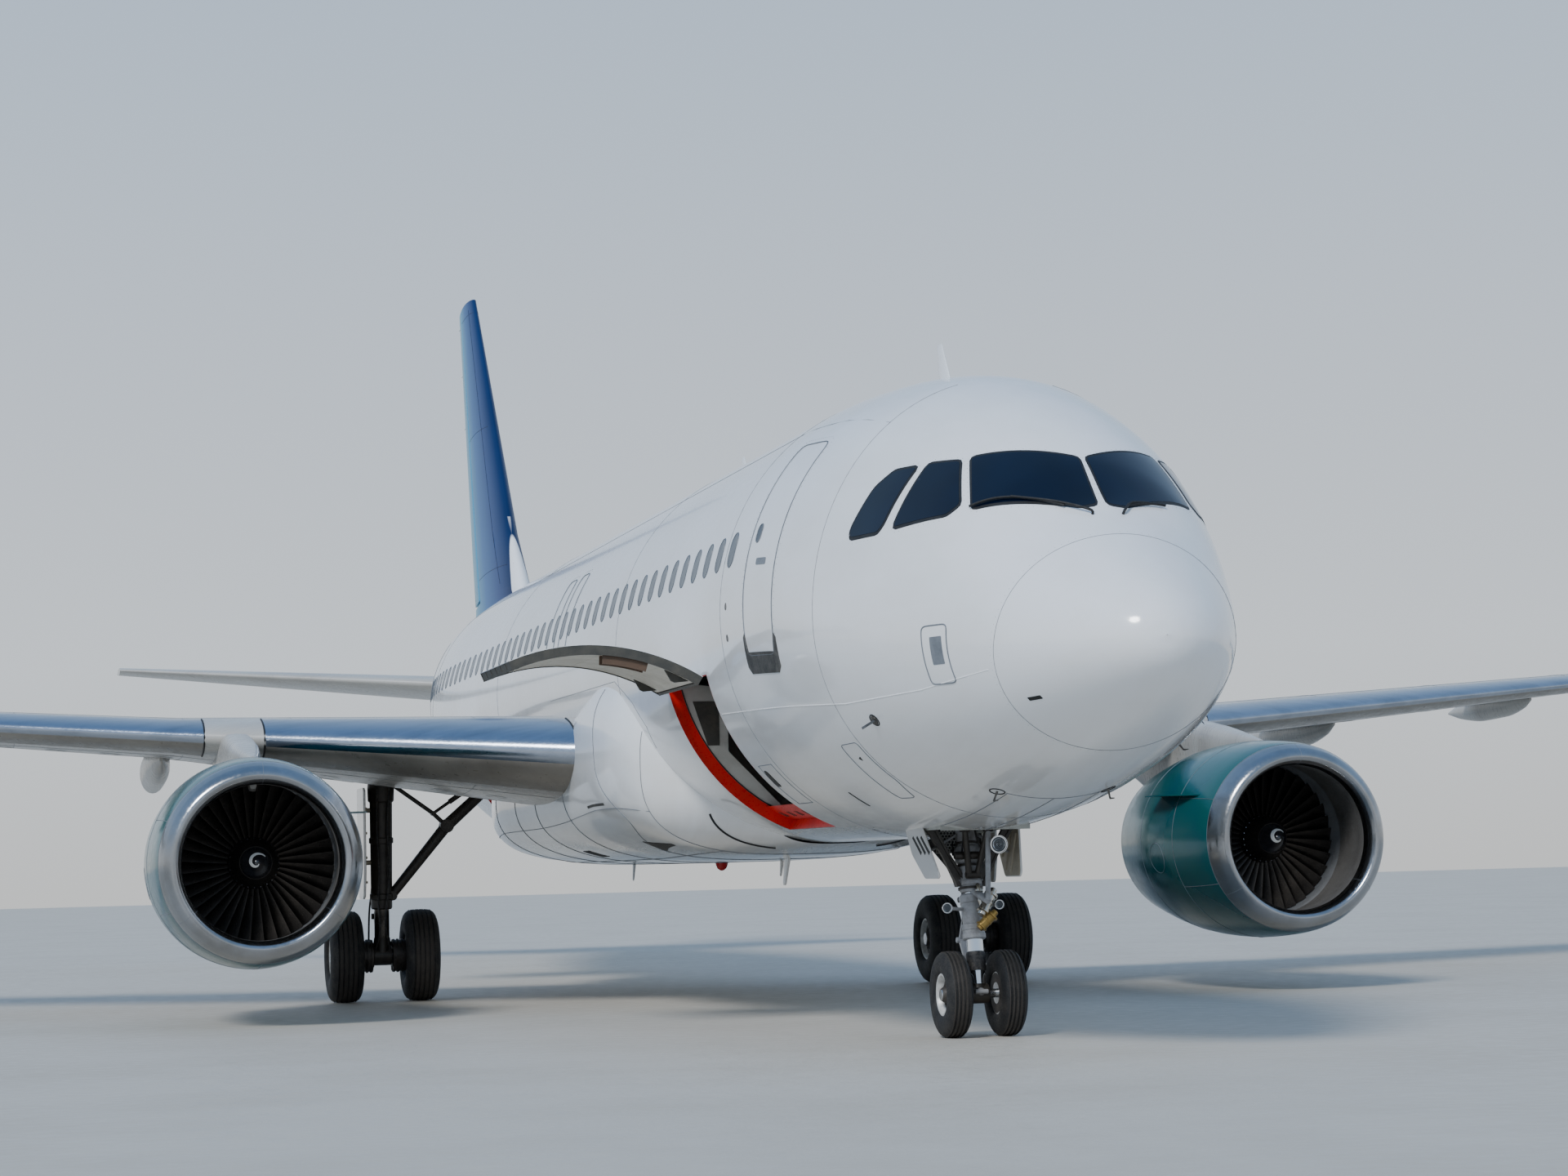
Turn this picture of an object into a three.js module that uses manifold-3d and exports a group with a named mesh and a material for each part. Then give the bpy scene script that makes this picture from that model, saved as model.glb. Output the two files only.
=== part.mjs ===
// A single-aisle, twin-engined airliner, parked on its gear with both hold doors open.
// Millimetres, +Z up, nose towards -Y, port side towards +X.
// The origin is on the ground under the middle of the length, and a station counts aft from the nose tip.
import * as THREE from "three";
import { mergeVertices } from "three/addons/utils/BufferGeometryUtils.js";
import Module from "manifold-3d";

const wasm = await Module();
wasm.setup();

// Driving dimensions
const LENGTH = 37570;
const SPAN = 34100;
const TAILPLANE_SPAN = 12450;
const NOSE_GEAR_STATION = 5070;
const WHEELBASE = 12640;
const MAIN_GEAR_X = 3795;
const ENGINE_X = 5750;
const ENGINE_Z = 1715;
const INLET_STATION = 11360;
const SEAM = 0.4; // gap where fixed pieces meet
const RUNNING = 12; // gap round pieces that move
const PIN = 14; // radius of a control surface's hinge pins
const TURNS = 1.045; // a small bore's radius over its pin's, so that their facets clear
const DOOR_TURNS = 1.095; // the same for the doors' pins, which have fewer facets
const RUNS = 1.0135; // the same for axles and pistons, which have more facets
const AROUND = 32; // points round the fuselage

const place = (x, station, z) => new THREE.Vector3(x, station - LENGTH / 2, z);
const radians = THREE.MathUtils.degToRad;

// Colours as seen in the daylight of the photograph
const finish = (color, roughness, metalness = 0) =>
  new THREE.MeshStandardMaterial({ color, roughness, metalness });
const WHITE = finish(0xe8ecf0, 0.25);
const TEAL = finish(0x0b6a6c, 0.2);
const FIN_BLUE = finish(0x1d7aa6, 0.25);
const BELLY_GREY = finish(0xc9ccd0, 0.3);
const WING_GREY = finish(0xa9adb3, 0.4, 0.2);
const POLISHED = finish(0xb9bdc4, 0.25, 0.9);
const TITANIUM = finish(0x6f6a66, 0.4, 0.8);
const BLADE = finish(0x3a3b3f, 0.4, 0.7);
const GLASS = finish(0x0a1018, 0.08);
const TYRE = finish(0x17171a, 0.85);
const GEAR_GREY = finish(0xb4b8bd, 0.4, 0.5);
const RIM = finish(0xd5d8da, 0.35, 0.4);

const root = new THREE.Group();

// Solids: closed meshes joined and cut

// A closed solid from a mesh, turned to face out whichever way its faces were listed
function solidOf(geometry) {
  const loose = geometry.index ? geometry.toNonIndexed() : geometry;
  const bare = new THREE.BufferGeometry().setAttribute("position", loose.getAttribute("position"));
  const merged = mergeVertices(bare, 1e-3);
  const positions = merged.attributes.position;
  const corner = [0, 1, 2].map(() => new THREE.Vector3());
  const faces = [];
  let volume = 0;
  for (let i = 0; i < merged.index.count; i += 3) {
    const [a, b, c] = [0, 1, 2].map((k) => merged.index.array[i + k]);
    if (a === b || b === c || c === a) continue;
    [a, b, c].forEach((vertex, k) => corner[k].fromBufferAttribute(positions, vertex));
    volume += corner[0].dot(corner[1].clone().cross(corner[2]));
    faces.push([a, b, c]);
  }
  return new wasm.Manifold(
    new wasm.Mesh({
      numProp: 3,
      vertProperties: positions.array,
      triVerts: new Uint32Array(faces.flatMap(([a, b, c]) => (volume > 0 ? [a, b, c] : [a, c, b]))),
    }),
  );
}

function geometryOf(solid) {
  const mesh = solid.getMesh();
  const points = new Float32Array(mesh.numVert * 3);
  for (let i = 0; i < mesh.numVert; i++) {
    points.set(mesh.vertProperties.subarray(i * mesh.numProp, i * mesh.numProp + 3), i * 3);
  }
  return new THREE.BufferGeometry()
    .setAttribute("position", new THREE.BufferAttribute(points, 3))
    .setIndex(new THREE.BufferAttribute(mesh.triVerts, 1));
}

const join = (first, ...others) => others.reduce((made, other) => made.add(other), first);
const cut = (first, ...others) => others.reduce((made, other) => made.subtract(other), first);

function add(name, solid, material) {
  const mesh = new THREE.Mesh(geometryOf(solid), material);
  mesh.name = name;
  root.add(mesh);
  return mesh;
}

// The flat triangles that close a ring, turned the same way round as the ring
function capOf(ring) {
  const normal = new THREE.Vector3();
  ring.forEach((p, i) => {
    const q = ring[(i + 1) % ring.length];
    normal.x += (p.y - q.y) * (p.z + q.z);
    normal.y += (p.z - q.z) * (p.x + q.x);
    normal.z += (p.x - q.x) * (p.y + q.y);
  });
  const size = [Math.abs(normal.x), Math.abs(normal.y), Math.abs(normal.z)];
  const dropped = size.indexOf(Math.max(...size));
  const [a, b] = [0, 1, 2].filter((axis) => axis !== dropped);
  const flat = ring.map((p) => new THREE.Vector2(p.getComponent(a), p.getComponent(b)));
  const turn = Math.sign(THREE.ShapeUtils.area(flat));
  return THREE.ShapeUtils.triangulateShape(flat, []).map(([i, j, k]) => {
    const way = Math.sign(THREE.ShapeUtils.area([flat[i], flat[j], flat[k]])) || turn;
    return way === turn ? [i, j, k] : [i, k, j];
  });
}

// A solid skinned through rings of equal point count, closed at both ends
function loft(rings) {
  const count = rings[0].length;
  const points = rings.flat();
  const faces = [];
  for (let r = 0; r + 1 < rings.length; r++) {
    for (let i = 0; i < count; i++) {
      const j = (i + 1) % count;
      const [p, q, s, t] = [r * count + i, r * count + j, (r + 1) * count + i, (r + 1) * count + j];
      faces.push([p, q, t], [p, t, s]);
    }
  }
  const last = (rings.length - 1) * count;
  capOf(rings[0]).forEach(([i, j, k]) => faces.push([i, k, j]));
  capOf(rings.at(-1)).forEach(([i, j, k]) => faces.push([last + i, last + j, last + k]));
  return solidOf(new THREE.BufferGeometry().setFromPoints(points).setIndex(faces.flat()));
}

function box(low, high) {
  const size = new THREE.Vector3().subVectors(high, low);
  const middle = new THREE.Vector3().addVectors(low, high).multiplyScalar(0.5);
  const geometry = new THREE.BoxGeometry(Math.abs(size.x), Math.abs(size.y), Math.abs(size.z));
  return solidOf(geometry.translate(middle.x, middle.y, middle.z));
}

// A round bar between two points, tapered when the second radius is given
function rod(from, to, radius, endRadius = radius, sides = 10) {
  const along = new THREE.Vector3().subVectors(to, from);
  const geometry = new THREE.CylinderGeometry(endRadius, radius, along.length(), sides);
  const up = new THREE.Vector3(0, 1, 0);
  geometry.applyQuaternion(new THREE.Quaternion().setFromUnitVectors(up, along.clone().normalize()));
  const middle = new THREE.Vector3().addVectors(from, to).multiplyScalar(0.5);
  return solidOf(geometry.translate(middle.x, middle.y, middle.z));
}

// A plate of the given outline, in station and height, between two x values
function plate(outline, x0, x1) {
  return loft([x0, x1].map((x) => outline.map(([station, z]) => place(x, station, z))));
}

// A turned body: [distance along the axis, radius] pairs, the axis running aft or to port
function turned(profile, centre, sides, sideways = false) {
  const points = profile.map(([distance, radius]) => new THREE.Vector2(radius, distance));
  const geometry = new THREE.LatheGeometry(points, sides);
  if (sideways) geometry.rotateZ(-Math.PI / 2);
  return solidOf(geometry.translate(centre.x, centre.y, centre.z));
}

// A smooth value along a table's first column, by monotone cubic steps
function along(table, column, at) {
  const rows = table.length;
  if (at <= table[0][0]) return table[0][column];
  if (at >= table[rows - 1][0]) return table[rows - 1][column];
  const i = table.findIndex((row) => row[0] > at) - 1;
  const slope = (k) => (table[k + 1][column] - table[k][column]) / (table[k + 1][0] - table[k][0]);
  const tangent = (k) => {
    if (k === 0) return slope(0);
    if (k === rows - 1) return slope(rows - 2);
    const [before, after] = [slope(k - 1), slope(k)];
    return before * after <= 0 ? 0 : (2 * before * after) / (before + after);
  };
  const step = table[i + 1][0] - table[i][0];
  const t = (at - table[i][0]) / step;
  const [t2, t3] = [t * t, t * t * t];
  return (
    table[i][column] * (2 * t3 - 3 * t2 + 1) +
    tangent(i) * step * (t3 - 2 * t2 + t) +
    table[i + 1][column] * (3 * t2 - 2 * t3) +
    tangent(i + 1) * step * (t3 - t2)
  );
}

// Fuselage

// station, top, waist (height of the widest point), bottom, half width
const HULL = [
  [0, 3192, 3190, 3188, 6],
  [20, 3310, 3190, 3080, 131],
  [100, 3446, 3190, 2955, 294],
  [300, 3632, 3200, 2806, 509],
  [600, 3835, 3215, 2655, 720],
  [900, 4020, 3240, 2530, 882],
  [1310, 4290, 3280, 2390, 1064],
  [1800, 4740, 3330, 2255, 1245],
  [2300, 5090, 3400, 2140, 1410],
  [3000, 5430, 3510, 2010, 1602],
  [4000, 5730, 3670, 1880, 1805],
  [5000, 5860, 3780, 1805, 1925],
  [6200, 5910, 3840, 1770, 1975],
  [23500, 5910, 3840, 1770, 1975],
  [25200, 5908, 3870, 1870, 1955],
  [27000, 5895, 3960, 2130, 1860],
  [29000, 5860, 4150, 2580, 1650],
  [31000, 5790, 4350, 3080, 1370],
  [33000, 5680, 4550, 3600, 1050],
  [35000, 5530, 4720, 4090, 700],
  [36300, 5390, 4800, 4370, 450],
  [LENGTH, 5180, 4890, 4620, 270],
];
const hullRow = (station) => [1, 2, 3, 4].map((column) => along(HULL, column, station));

// A point of the skin: angle 0 is the crown, a quarter turn is the port waist
function skin(station, angle, grow = 0) {
  const [top, waist, bottom, halfWidth] = hullRow(station);
  const rise = Math.cos(angle);
  const reach = (rise > 0 ? top - waist : waist - bottom) + grow;
  return place((halfWidth + grow) * Math.sin(angle), station, waist + reach * rise);
}

function hullSection(stations, grow = 0) {
  return loft(
    stations.map((station) =>
      Array.from({ length: AROUND }, (_, i) => {
        const angle = (i * 2 * Math.PI) / AROUND;
        const aft = typeof station === "function" ? station(angle) : station;
        return skin(aft, angle, grow);
      }),
    ),
  );
}

// The radome's rear edge leans: further aft under the chin than over the nose
const RADOME_TOP = 930;
const RADOME_BOTTOM = 1330;
const radomeEdge = (angle) =>
  RADOME_TOP + ((RADOME_BOTTOM - RADOME_TOP) * (1 - Math.cos(angle))) / 2;
const radomeRing = (share) => (angle) => share * share * radomeEdge(angle);

// The frames where the fuselage barrels meet
const NOSE_FRAME = 3400;
const WING_FRONT_FRAME = 11500;
const WING_REAR_FRAME = 19900;
const TAIL_FRAME = 27500;

const between = (from, to, steps) =>
  Array.from({ length: steps + 1 }, (_, i) => from + SEAM / 2 + ((to - from - SEAM) * i) / steps);

const radome = hullSection([0, 0.14, 0.3, 0.5, 0.75, 1].map((share) => radomeRing(share)));
let noseBarrel = hullSection([
  (angle) => radomeEdge(angle) + SEAM,
  (angle) => radomeEdge(angle) + 190,
  ...[1610, 1800, 2050, 2300, 2650, 3000, NOSE_FRAME - SEAM / 2],
]);
const forwardStations = [...between(NOSE_FRAME, 6200, 4).slice(0, -1), 6200];
let forwardBarrel = hullSection([...forwardStations, WING_FRONT_FRAME - SEAM / 2]);
const centreBarrel = hullSection(between(WING_FRONT_FRAME, WING_REAR_FRAME, 1));
let aftBarrel = hullSection([
  WING_REAR_FRAME + SEAM / 2,
  ...[23500, 24350, 25200, 26350, TAIL_FRAME - SEAM / 2],
]);
const tailStations = [...between(TAIL_FRAME, 36300, 6), 37000, LENGTH];
const exhaust = rod(place(0, LENGTH - 600, 4870), place(0, LENGTH + 50, 4905), 170, 170, 20);
const tailBarrel = cut(hullSection(tailStations), exhaust);

// The skin as one body, a seam's gap larger, for trimming whatever meets the fuselage
const wholeHull = hullSection(
  [1400, 2300, ...forwardStations, 23500, 24350, 25200, 26350, ...tailStations.slice(0, -1)],
  SEAM,
);

// Cockpit glazing: one block behind the skin, seen through six openings
const GLASS_DEPTH = 32;
const glazingStations = [1340, 1560, 1800, 2050, 2400, 2850, 3320];
const glazingBody = (grow) =>
  hullSection(glazingStations, grow - GLASS_DEPTH).intersect(
    box(place(-2000, 1300, 4130 - grow), place(2000, 3380, 5100)),
  );
// The openings on one side: station and angle from the crown of each corner
const PANES = [
  [[1345, 2.6], [1335, 10], [1850, 46], [2266, 33.5], [1794, 1.6]],
  [[1994, 47.8], [2060, 53], [2630, 63.2], [2637, 43], [2340, 36.8]],
  [[2790, 63.2], [2835, 65.9], [3235, 69.2], [3262, 67.6], [3156, 55.4], [3015, 49.2], [2752, 45.4]],
];

// An opening through the skin, its edges following the surface
function opening(side, corners, depth, height = 300) {
  const ringAt = (grow) =>
    corners.map(([station, angle]) => skin(station, side * radians(angle), grow));
  return loft([ringAt(-depth), ringAt(height)]);
}
const glazing = glazingBody(0);
noseBarrel = cut(noseBarrel, glazingBody(SEAM));
for (const side of [-1, 1]) {
  for (const pane of PANES) {
    noseBarrel = cut(noseBarrel, opening(side, pane, 110));
  }
}

// Hold doors and the holds behind them, on the starboard side
const DOOR_WIDTH = 1820;
const DOOR_DEPTH = 150;
const DOOR_HINGE_Z = 3350;
const DOOR_SILL_Z = 1915;
const DOOR_OPENING_DEGREES = 135;
const HINGE_STAND_OFF = 14;
const HOLD_FLOOR_Z = 2080;
const HOLD_CEILING_Z = 3330;
// name, station of the door's middle, hold's front, hold's rear
const HOLDS = [
  ["forward_cargo_door", 8160, 7150, 11200],
  ["aft_cargo_door", 22690, 20400, 24100],
];

// A point of the starboard wall on the constant section, as [x, z], at a depth under the skin
function wallPoint(z, depth) {
  const [top, waist, bottom] = hullRow(8000);
  const rise = z > waist ? (z - waist) / (top - waist) : (z - waist) / (waist - bottom);
  const p = skin(8000, 2 * Math.PI - Math.acos(rise), -depth);
  return [p.x, p.z];
}

// A slice of the fuselage wall between two heights and two depths
function wallSlice(lowZ, highZ, inner, outer, steps = 8) {
  const heights = Array.from({ length: steps + 1 }, (_, i) => lowZ + ((highZ - lowZ) * i) / steps);
  return [
    ...heights.map((z) => wallPoint(z, outer)),
    ...heights.map((z) => wallPoint(z, inner)).reverse(),
  ];
}

const barOf = (outline, from, to) =>
  loft([from, to].map((station) => outline.map(([x, z]) => place(x, station, z))));

function holdSpace(doorStation, front, rear) {
  const [from, to] = [-1, 1].map((end) => doorStation + end * (DOOR_WIDTH / 2 + RUNNING));
  const outline = [
    [-710, HOLD_FLOOR_Z],
    [710, HOLD_FLOOR_Z],
    [1310, 2700],
    [1310, HOLD_CEILING_Z],
    [-1310, HOLD_CEILING_Z],
    [-1310, 2700],
  ];
  const doorway = wallSlice(DOOR_SILL_Z - RUNNING, DOOR_HINGE_Z + RUNNING, DOOR_DEPTH + RUNNING, -80);
  const mouth = [
    [-600, HOLD_FLOOR_Z],
    [-600, HOLD_CEILING_Z],
    [-1900, HOLD_CEILING_Z],
    [-1800, 2700],
    [-1400, HOLD_FLOOR_Z],
  ];
  return join(barOf(outline, front, rear), barOf(doorway, from, to), barOf(mouth, from, to));
}
const [forwardHold, aftHold] = HOLDS.map(([, door, front, rear]) => holdSpace(door, front, rear));
forwardBarrel = cut(forwardBarrel, forwardHold);
aftBarrel = cut(aftBarrel, aftHold);

// Each door is made closed, then swung open about the hinge line outside its top edge
const [hingeX, hingeZ] = wallPoint(DOOR_HINGE_Z, -HINGE_STAND_OFF);
const HINGE_OFFSETS = [-620, 620];
const hingeRod = (from, to, radius) =>
  rod(place(hingeX, from, hingeZ), place(hingeX, to, hingeZ), radius, radius, 8);
function hingeLugs(station) {
  const lugs = HINGE_OFFSETS.flatMap((offset) => [offset - 86, offset + 66]).map((offset) => {
    const [start, end] = [station + offset, station + offset + 20];
    const strap = barOf(wallSlice(DOOR_HINGE_Z - 6, DOOR_HINGE_Z + 50, 20, -23, 2), start, end);
    return cut(join(hingeRod(start, end, 9), strap), hingeRod(start - 5, end + 5, 5 * DOOR_TURNS));
  });
  return join(...lugs);
}
forwardBarrel = join(forwardBarrel, hingeLugs(HOLDS[0][1]));
aftBarrel = join(aftBarrel, hingeLugs(HOLDS[1][1]));
for (const [name, station] of HOLDS) {
  const [from, to] = [station - DOOR_WIDTH / 2, station + DOOR_WIDTH / 2];
  const panel = barOf(wallSlice(DOOR_SILL_Z, DOOR_HINGE_Z - RUNNING, DOOR_DEPTH, 0), from, to);
  const knuckles = HINGE_OFFSETS.map((offset) => {
    const [start, end] = [station + offset - 60, station + offset + 60];
    const strap = barOf(wallSlice(DOOR_HINGE_Z - 60, DOOR_HINGE_Z - 2, 20, -22, 2), start, end);
    return join(hingeRod(start, end, 9), hingeRod(start - 26, end + 26, 5), strap);
  });
  const mesh = add(name, join(panel, ...knuckles), WHITE);
  mesh.geometry.translate(-hingeX, 0, -hingeZ);
  mesh.geometry.rotateY(radians(DOOR_OPENING_DEGREES));
  mesh.geometry.translate(hingeX, 0, hingeZ);
}

// Lifting surfaces: lofts of aerofoil sections

// Chord fractions of a section's points, from the trailing edge to the leading edge
const FRACTIONS = [1, 0.9, 0.78, 0.64, 0.5, 0.36, 0.24, 0.14, 0.07, 0.025, 0.006, 0];
const halfThickness = (f, ratio) =>
  5 *
  ratio *
  (0.2969 * Math.sqrt(f) - 0.126 * f - 0.3516 * f ** 2 + 0.2843 * f ** 3 - 0.1015 * f ** 4);

// One section as [distance aft of the leading edge, height over the chord line]
function aerofoil(chord, ratio, camber, grow) {
  const point = (f, way) => [
    f * chord + (f === 1 ? grow : 0),
    4 * camber * f * (1 - f) * chord + way * (halfThickness(f, ratio) * chord + grow),
  ];
  const upper = FRACTIONS.slice(0, -1).map((f) => point(f, 1));
  const lower = FRACTIONS.slice(0, -1).map((f) => point(f, -1));
  return [...upper, [-grow, 0], ...lower.reverse()];
}

// The rows either side of a span, and how far along it is between them
function rowsRound(table, span) {
  const found = table.findIndex((row) => row[0] >= span);
  const i = Math.max(found < 0 ? table.length - 2 : found - 1, 0);
  return [table[i], table[i + 1], (span - table[i][0]) / (table[i + 1][0] - table[i][0])];
}

// A row of a table at any span, by straight lines between the rows
function rowAt(table, span) {
  const [before, after, share] = rowsRound(table, span);
  return before.map((value, column) => value + (after[column] - value) * share);
}

const spansBetween = (table, from, to) => [
  from,
  ...table.map((row) => row[0]).filter((span) => span > from + 1 && span < to - 1),
  to,
];

const [LEADING, CHORD, RATIO, HEIGHT, INCIDENCE, SPLIT, CAMBER] = [1, 2, 3, 4, 5, 6, 7];
// span, leading edge station, chord, thickness, leading edge height, incidence in degrees, flap front, camber
const WING = [
  [1000, 12400, 6580, 0.165, 2750, 3.4, 0.84, 0.012],
  [2200, 13020, 5960, 0.165, 2860, 3.2, 0.83, 0.014],
  [6400, 15210, 3840, 0.12, 3195, 1.6, 0.75, 0.018],
  [17000, 20740, 1500, 0.108, 4130, -0.8, 0.73, 0.018],
];
// The same columns for the tailplane, and for the fin with heights as its span
const TAILPLANE = [
  [300, 32700, 4100, 0.1, 4722, 0, 0.7, 0],
  [1000, 33080, 3790, 0.1, 4785, 0, 0.7, 0],
  [TAILPLANE_SPAN / 2, 35830, 1300, 0.09, 5245, 0, 0.7, 0],
];
const FIN = [
  [5250, 29200, 6150, 0.09, 0, 0, 0.72, 0],
  [6150, 29750, 5350, 0.1, 0, 0, 0.7, 0],
  [7150, 30900, 4500, 0.1, 0, 0, 0.6763, 0],
  [11760, 34740, 1840, 0.09, 0, 0, 0.6902, 0],
];

const flatPoint = (side, row) => (aft, up) => {
  const tilt = radians(row[INCIDENCE]);
  return place(
    side * row[0],
    row[LEADING] + aft * Math.cos(tilt) + up * Math.sin(tilt),
    row[HEIGHT] - aft * Math.sin(tilt) + up * Math.cos(tilt),
  );
};
const finPoint = (side, row) => (aft, up) => place(up, row[LEADING] + aft, row[0]);

const surface = (table, pointOf, side, from, to, grow = 0) =>
  loft(
    spansBetween(table, from, to).map((span) => {
      const row = rowAt(table, span);
      const section = aerofoil(row[CHORD], row[RATIO], row[CAMBER], grow);
      return section.map(([aft, up]) => pointOf(side, row)(aft, up));
    }),
  );

// A block over everything between two chord fractions, for cutting a movable piece out
function chordBlock(table, pointOf, side, from, to, front, rear, reach = 900) {
  return loft(
    spansBetween(table, from, to).map((span) => {
      const row = rowAt(table, span);
      const at = pointOf(side, row);
      const [a, b] = [front(row), rear(row)].map((fraction) => fraction * row[CHORD]);
      return [at(a, -reach), at(b, -reach), at(b, reach), at(a, reach)];
    }),
  );
}
const fraction = (value) => () => value;

// The hinge line's point and the half thickness there, on the same straight lines as the skin
function hingeAt(table, pointOf, side, span, hingeOf) {
  const [before, after, share] = rowsRound(table, span);
  const [from, to] = [before, after].map((row) => {
    const hinge = hingeOf(row);
    const mean = 4 * row[CAMBER] * hinge * (1 - hinge) * row[CHORD];
    const half = halfThickness(hinge, row[RATIO]) * row[CHORD];
    return { point: pointOf(side, row)(hinge * row[CHORD], mean), half };
  });
  return [from.point.lerp(to.point, share), from.half + (to.half - from.half) * share];
}

// A hinged surface with a round nose and a pin at its ends, and the hollow that it turns in
function hinged(table, pointOf, side, [from, to], hingeOf, whole, [innerGap, outerGap], tipPin = true) {
  const lineAt = (span) => hingeAt(table, pointOf, side, span, hingeOf);
  const [inner] = lineAt(from);
  const [outer] = lineAt(to);
  const [farInner, farInnerRadius] = lineAt(from - 100);
  const [farOuter, farOuterRadius] = lineAt(to + 100);
  const axis = outer.clone().sub(inner).normalize();
  const onAxis = (start, distance) => start.clone().addScaledVector(axis, distance);
  const [pinInner, pinOuter] = [-innerGap - 30, tipPin ? outerGap + 30 : -RUNNING];
  const pin = rod(onAxis(inner, pinInner), onAxis(outer, pinOuter), PIN, PIN, 16);
  const bore = rod(
    onAxis(inner, pinInner - 3),
    onAxis(outer, pinOuter + 3),
    PIN * TURNS,
    PIN * TURNS,
    16,
  );
  const slab = (start, end, front) =>
    chordBlock(table, pointOf, side, start, end, front, fraction(1.1));
  const nose = rod(farInner, farOuter, farInnerRadius - 2, farOuterRadius - 2, 16);
  const cove = rod(farInner, farOuter, farInnerRadius + RUNNING, farOuterRadius + RUNNING, 16);
  const [hollowFrom, hollowTo] = [from - innerGap, to + outerGap];
  return {
    piece: join(
      nose.intersect(slab(from, to, fraction(0.3))),
      whole.intersect(slab(from, to, hingeOf)),
      pin,
    ),
    hollow: join(
      cove.intersect(slab(hollowFrom, hollowTo, fraction(0.3))),
      slab(hollowFrom, hollowTo, (row) => hingeOf(row) - 4 / row[CHORD]),
      bore,
    ),
  };
}

// Belly fairing: station, half width, top, bottom
const FAIRING = [
  [9900, 700, 2600, 1760],
  [10200, 1050, 2800, 1730],
  [10600, 1450, 3080, 1695],
  [11300, 1900, 3420, 1645],
  [12200, 2070, 3540, 1615],
  [13600, 2130, 3540, 1600],
  [15000, 2180, 3480, 1600],
  [18500, 2180, 3400, 1600],
  [20000, 2060, 3150, 1630],
  [21000, 1650, 2750, 1680],
  [21720, 700, 2200, 1755],
];
const fairingRing = ([station, halfWidth, top, bottom], grow) =>
  Array.from({ length: 24 }, (_, i) => {
    const angle = (i * Math.PI) / 12;
    const soften = (v) => Math.sign(v) * Math.abs(v) ** 0.68;
    return place(
      (halfWidth + grow) * soften(Math.sin(angle)),
      station,
      (top + bottom) / 2 + ((top - bottom) / 2 + grow) * soften(Math.cos(angle)),
    );
  });
const fairingBody = (grow) => loft(FAIRING.map((row) => fairingRing(row, grow)));
const aroundFairing = fairingBody(SEAM);

// The fairings that cover the flap tracks: x, front station, length, half width, depth
const TRACKS = [
  [6500, 16700, 3500, 165, 430],
  [8800, 17500, 3300, 150, 380],
  [12400, 19000, 2650, 130, 320],
];
function trackFairing(side, [x, front, length, halfWidth, depth]) {
  const row = rowAt(WING, x);
  // share of the length, fullness
  const shape = [[0, 0.12], [0.1, 0.6], [0.3, 0.95], [0.55, 0.98], [0.8, 0.65], [1, 0.08]];
  return loft(
    shape.map(([share, full]) => {
      const down = -depth * 0.42 - 60 * share;
      const keel = flatPoint(side, row)(front + share * length - row[LEADING], down);
      return Array.from({ length: 8 }, (_, k) => {
        const angle = (k * Math.PI) / 4;
        const out = new THREE.Vector3(halfWidth * Math.sin(angle), 0, depth * 0.62 * Math.cos(angle));
        return keel.clone().addScaledVector(out, full);
      });
    }),
  );
}

const WING_PIECES = {
  slatRear: 0.13,
  flapStart: 2200,
  flapEnd: 13250,
  aileronStart: 13330,
  aileronEnd: 16100,
};
// name, inner end, outer end
const SLATS = [
  ["inner_slat", 2140, 5430],
  ["outer_slat", 6100, 16450],
];
const MAIN_GEAR_STATION = NOSE_GEAR_STATION + WHEELBASE;
const WELL = { front: 17290, rear: 17900, halfWidth: 300, top: 2980, trunnionZ: 2850 };

function tipFence(side) {
  const tip = rowAt(WING, 17000);
  // distance aft of the tip's leading edge, height over it
  const outline = [[150, 0], [1250, 860], [1560, 900], [1440, -20], [1560, -760], [1320, -760]];
  return loft(
    [SPAN / 2 - 90, SPAN / 2].map((x) =>
      outline.map(([aft, up]) => place(side * x, tip[LEADING] + aft, tip[HEIGHT] + up)),
    ),
  );
}

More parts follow.
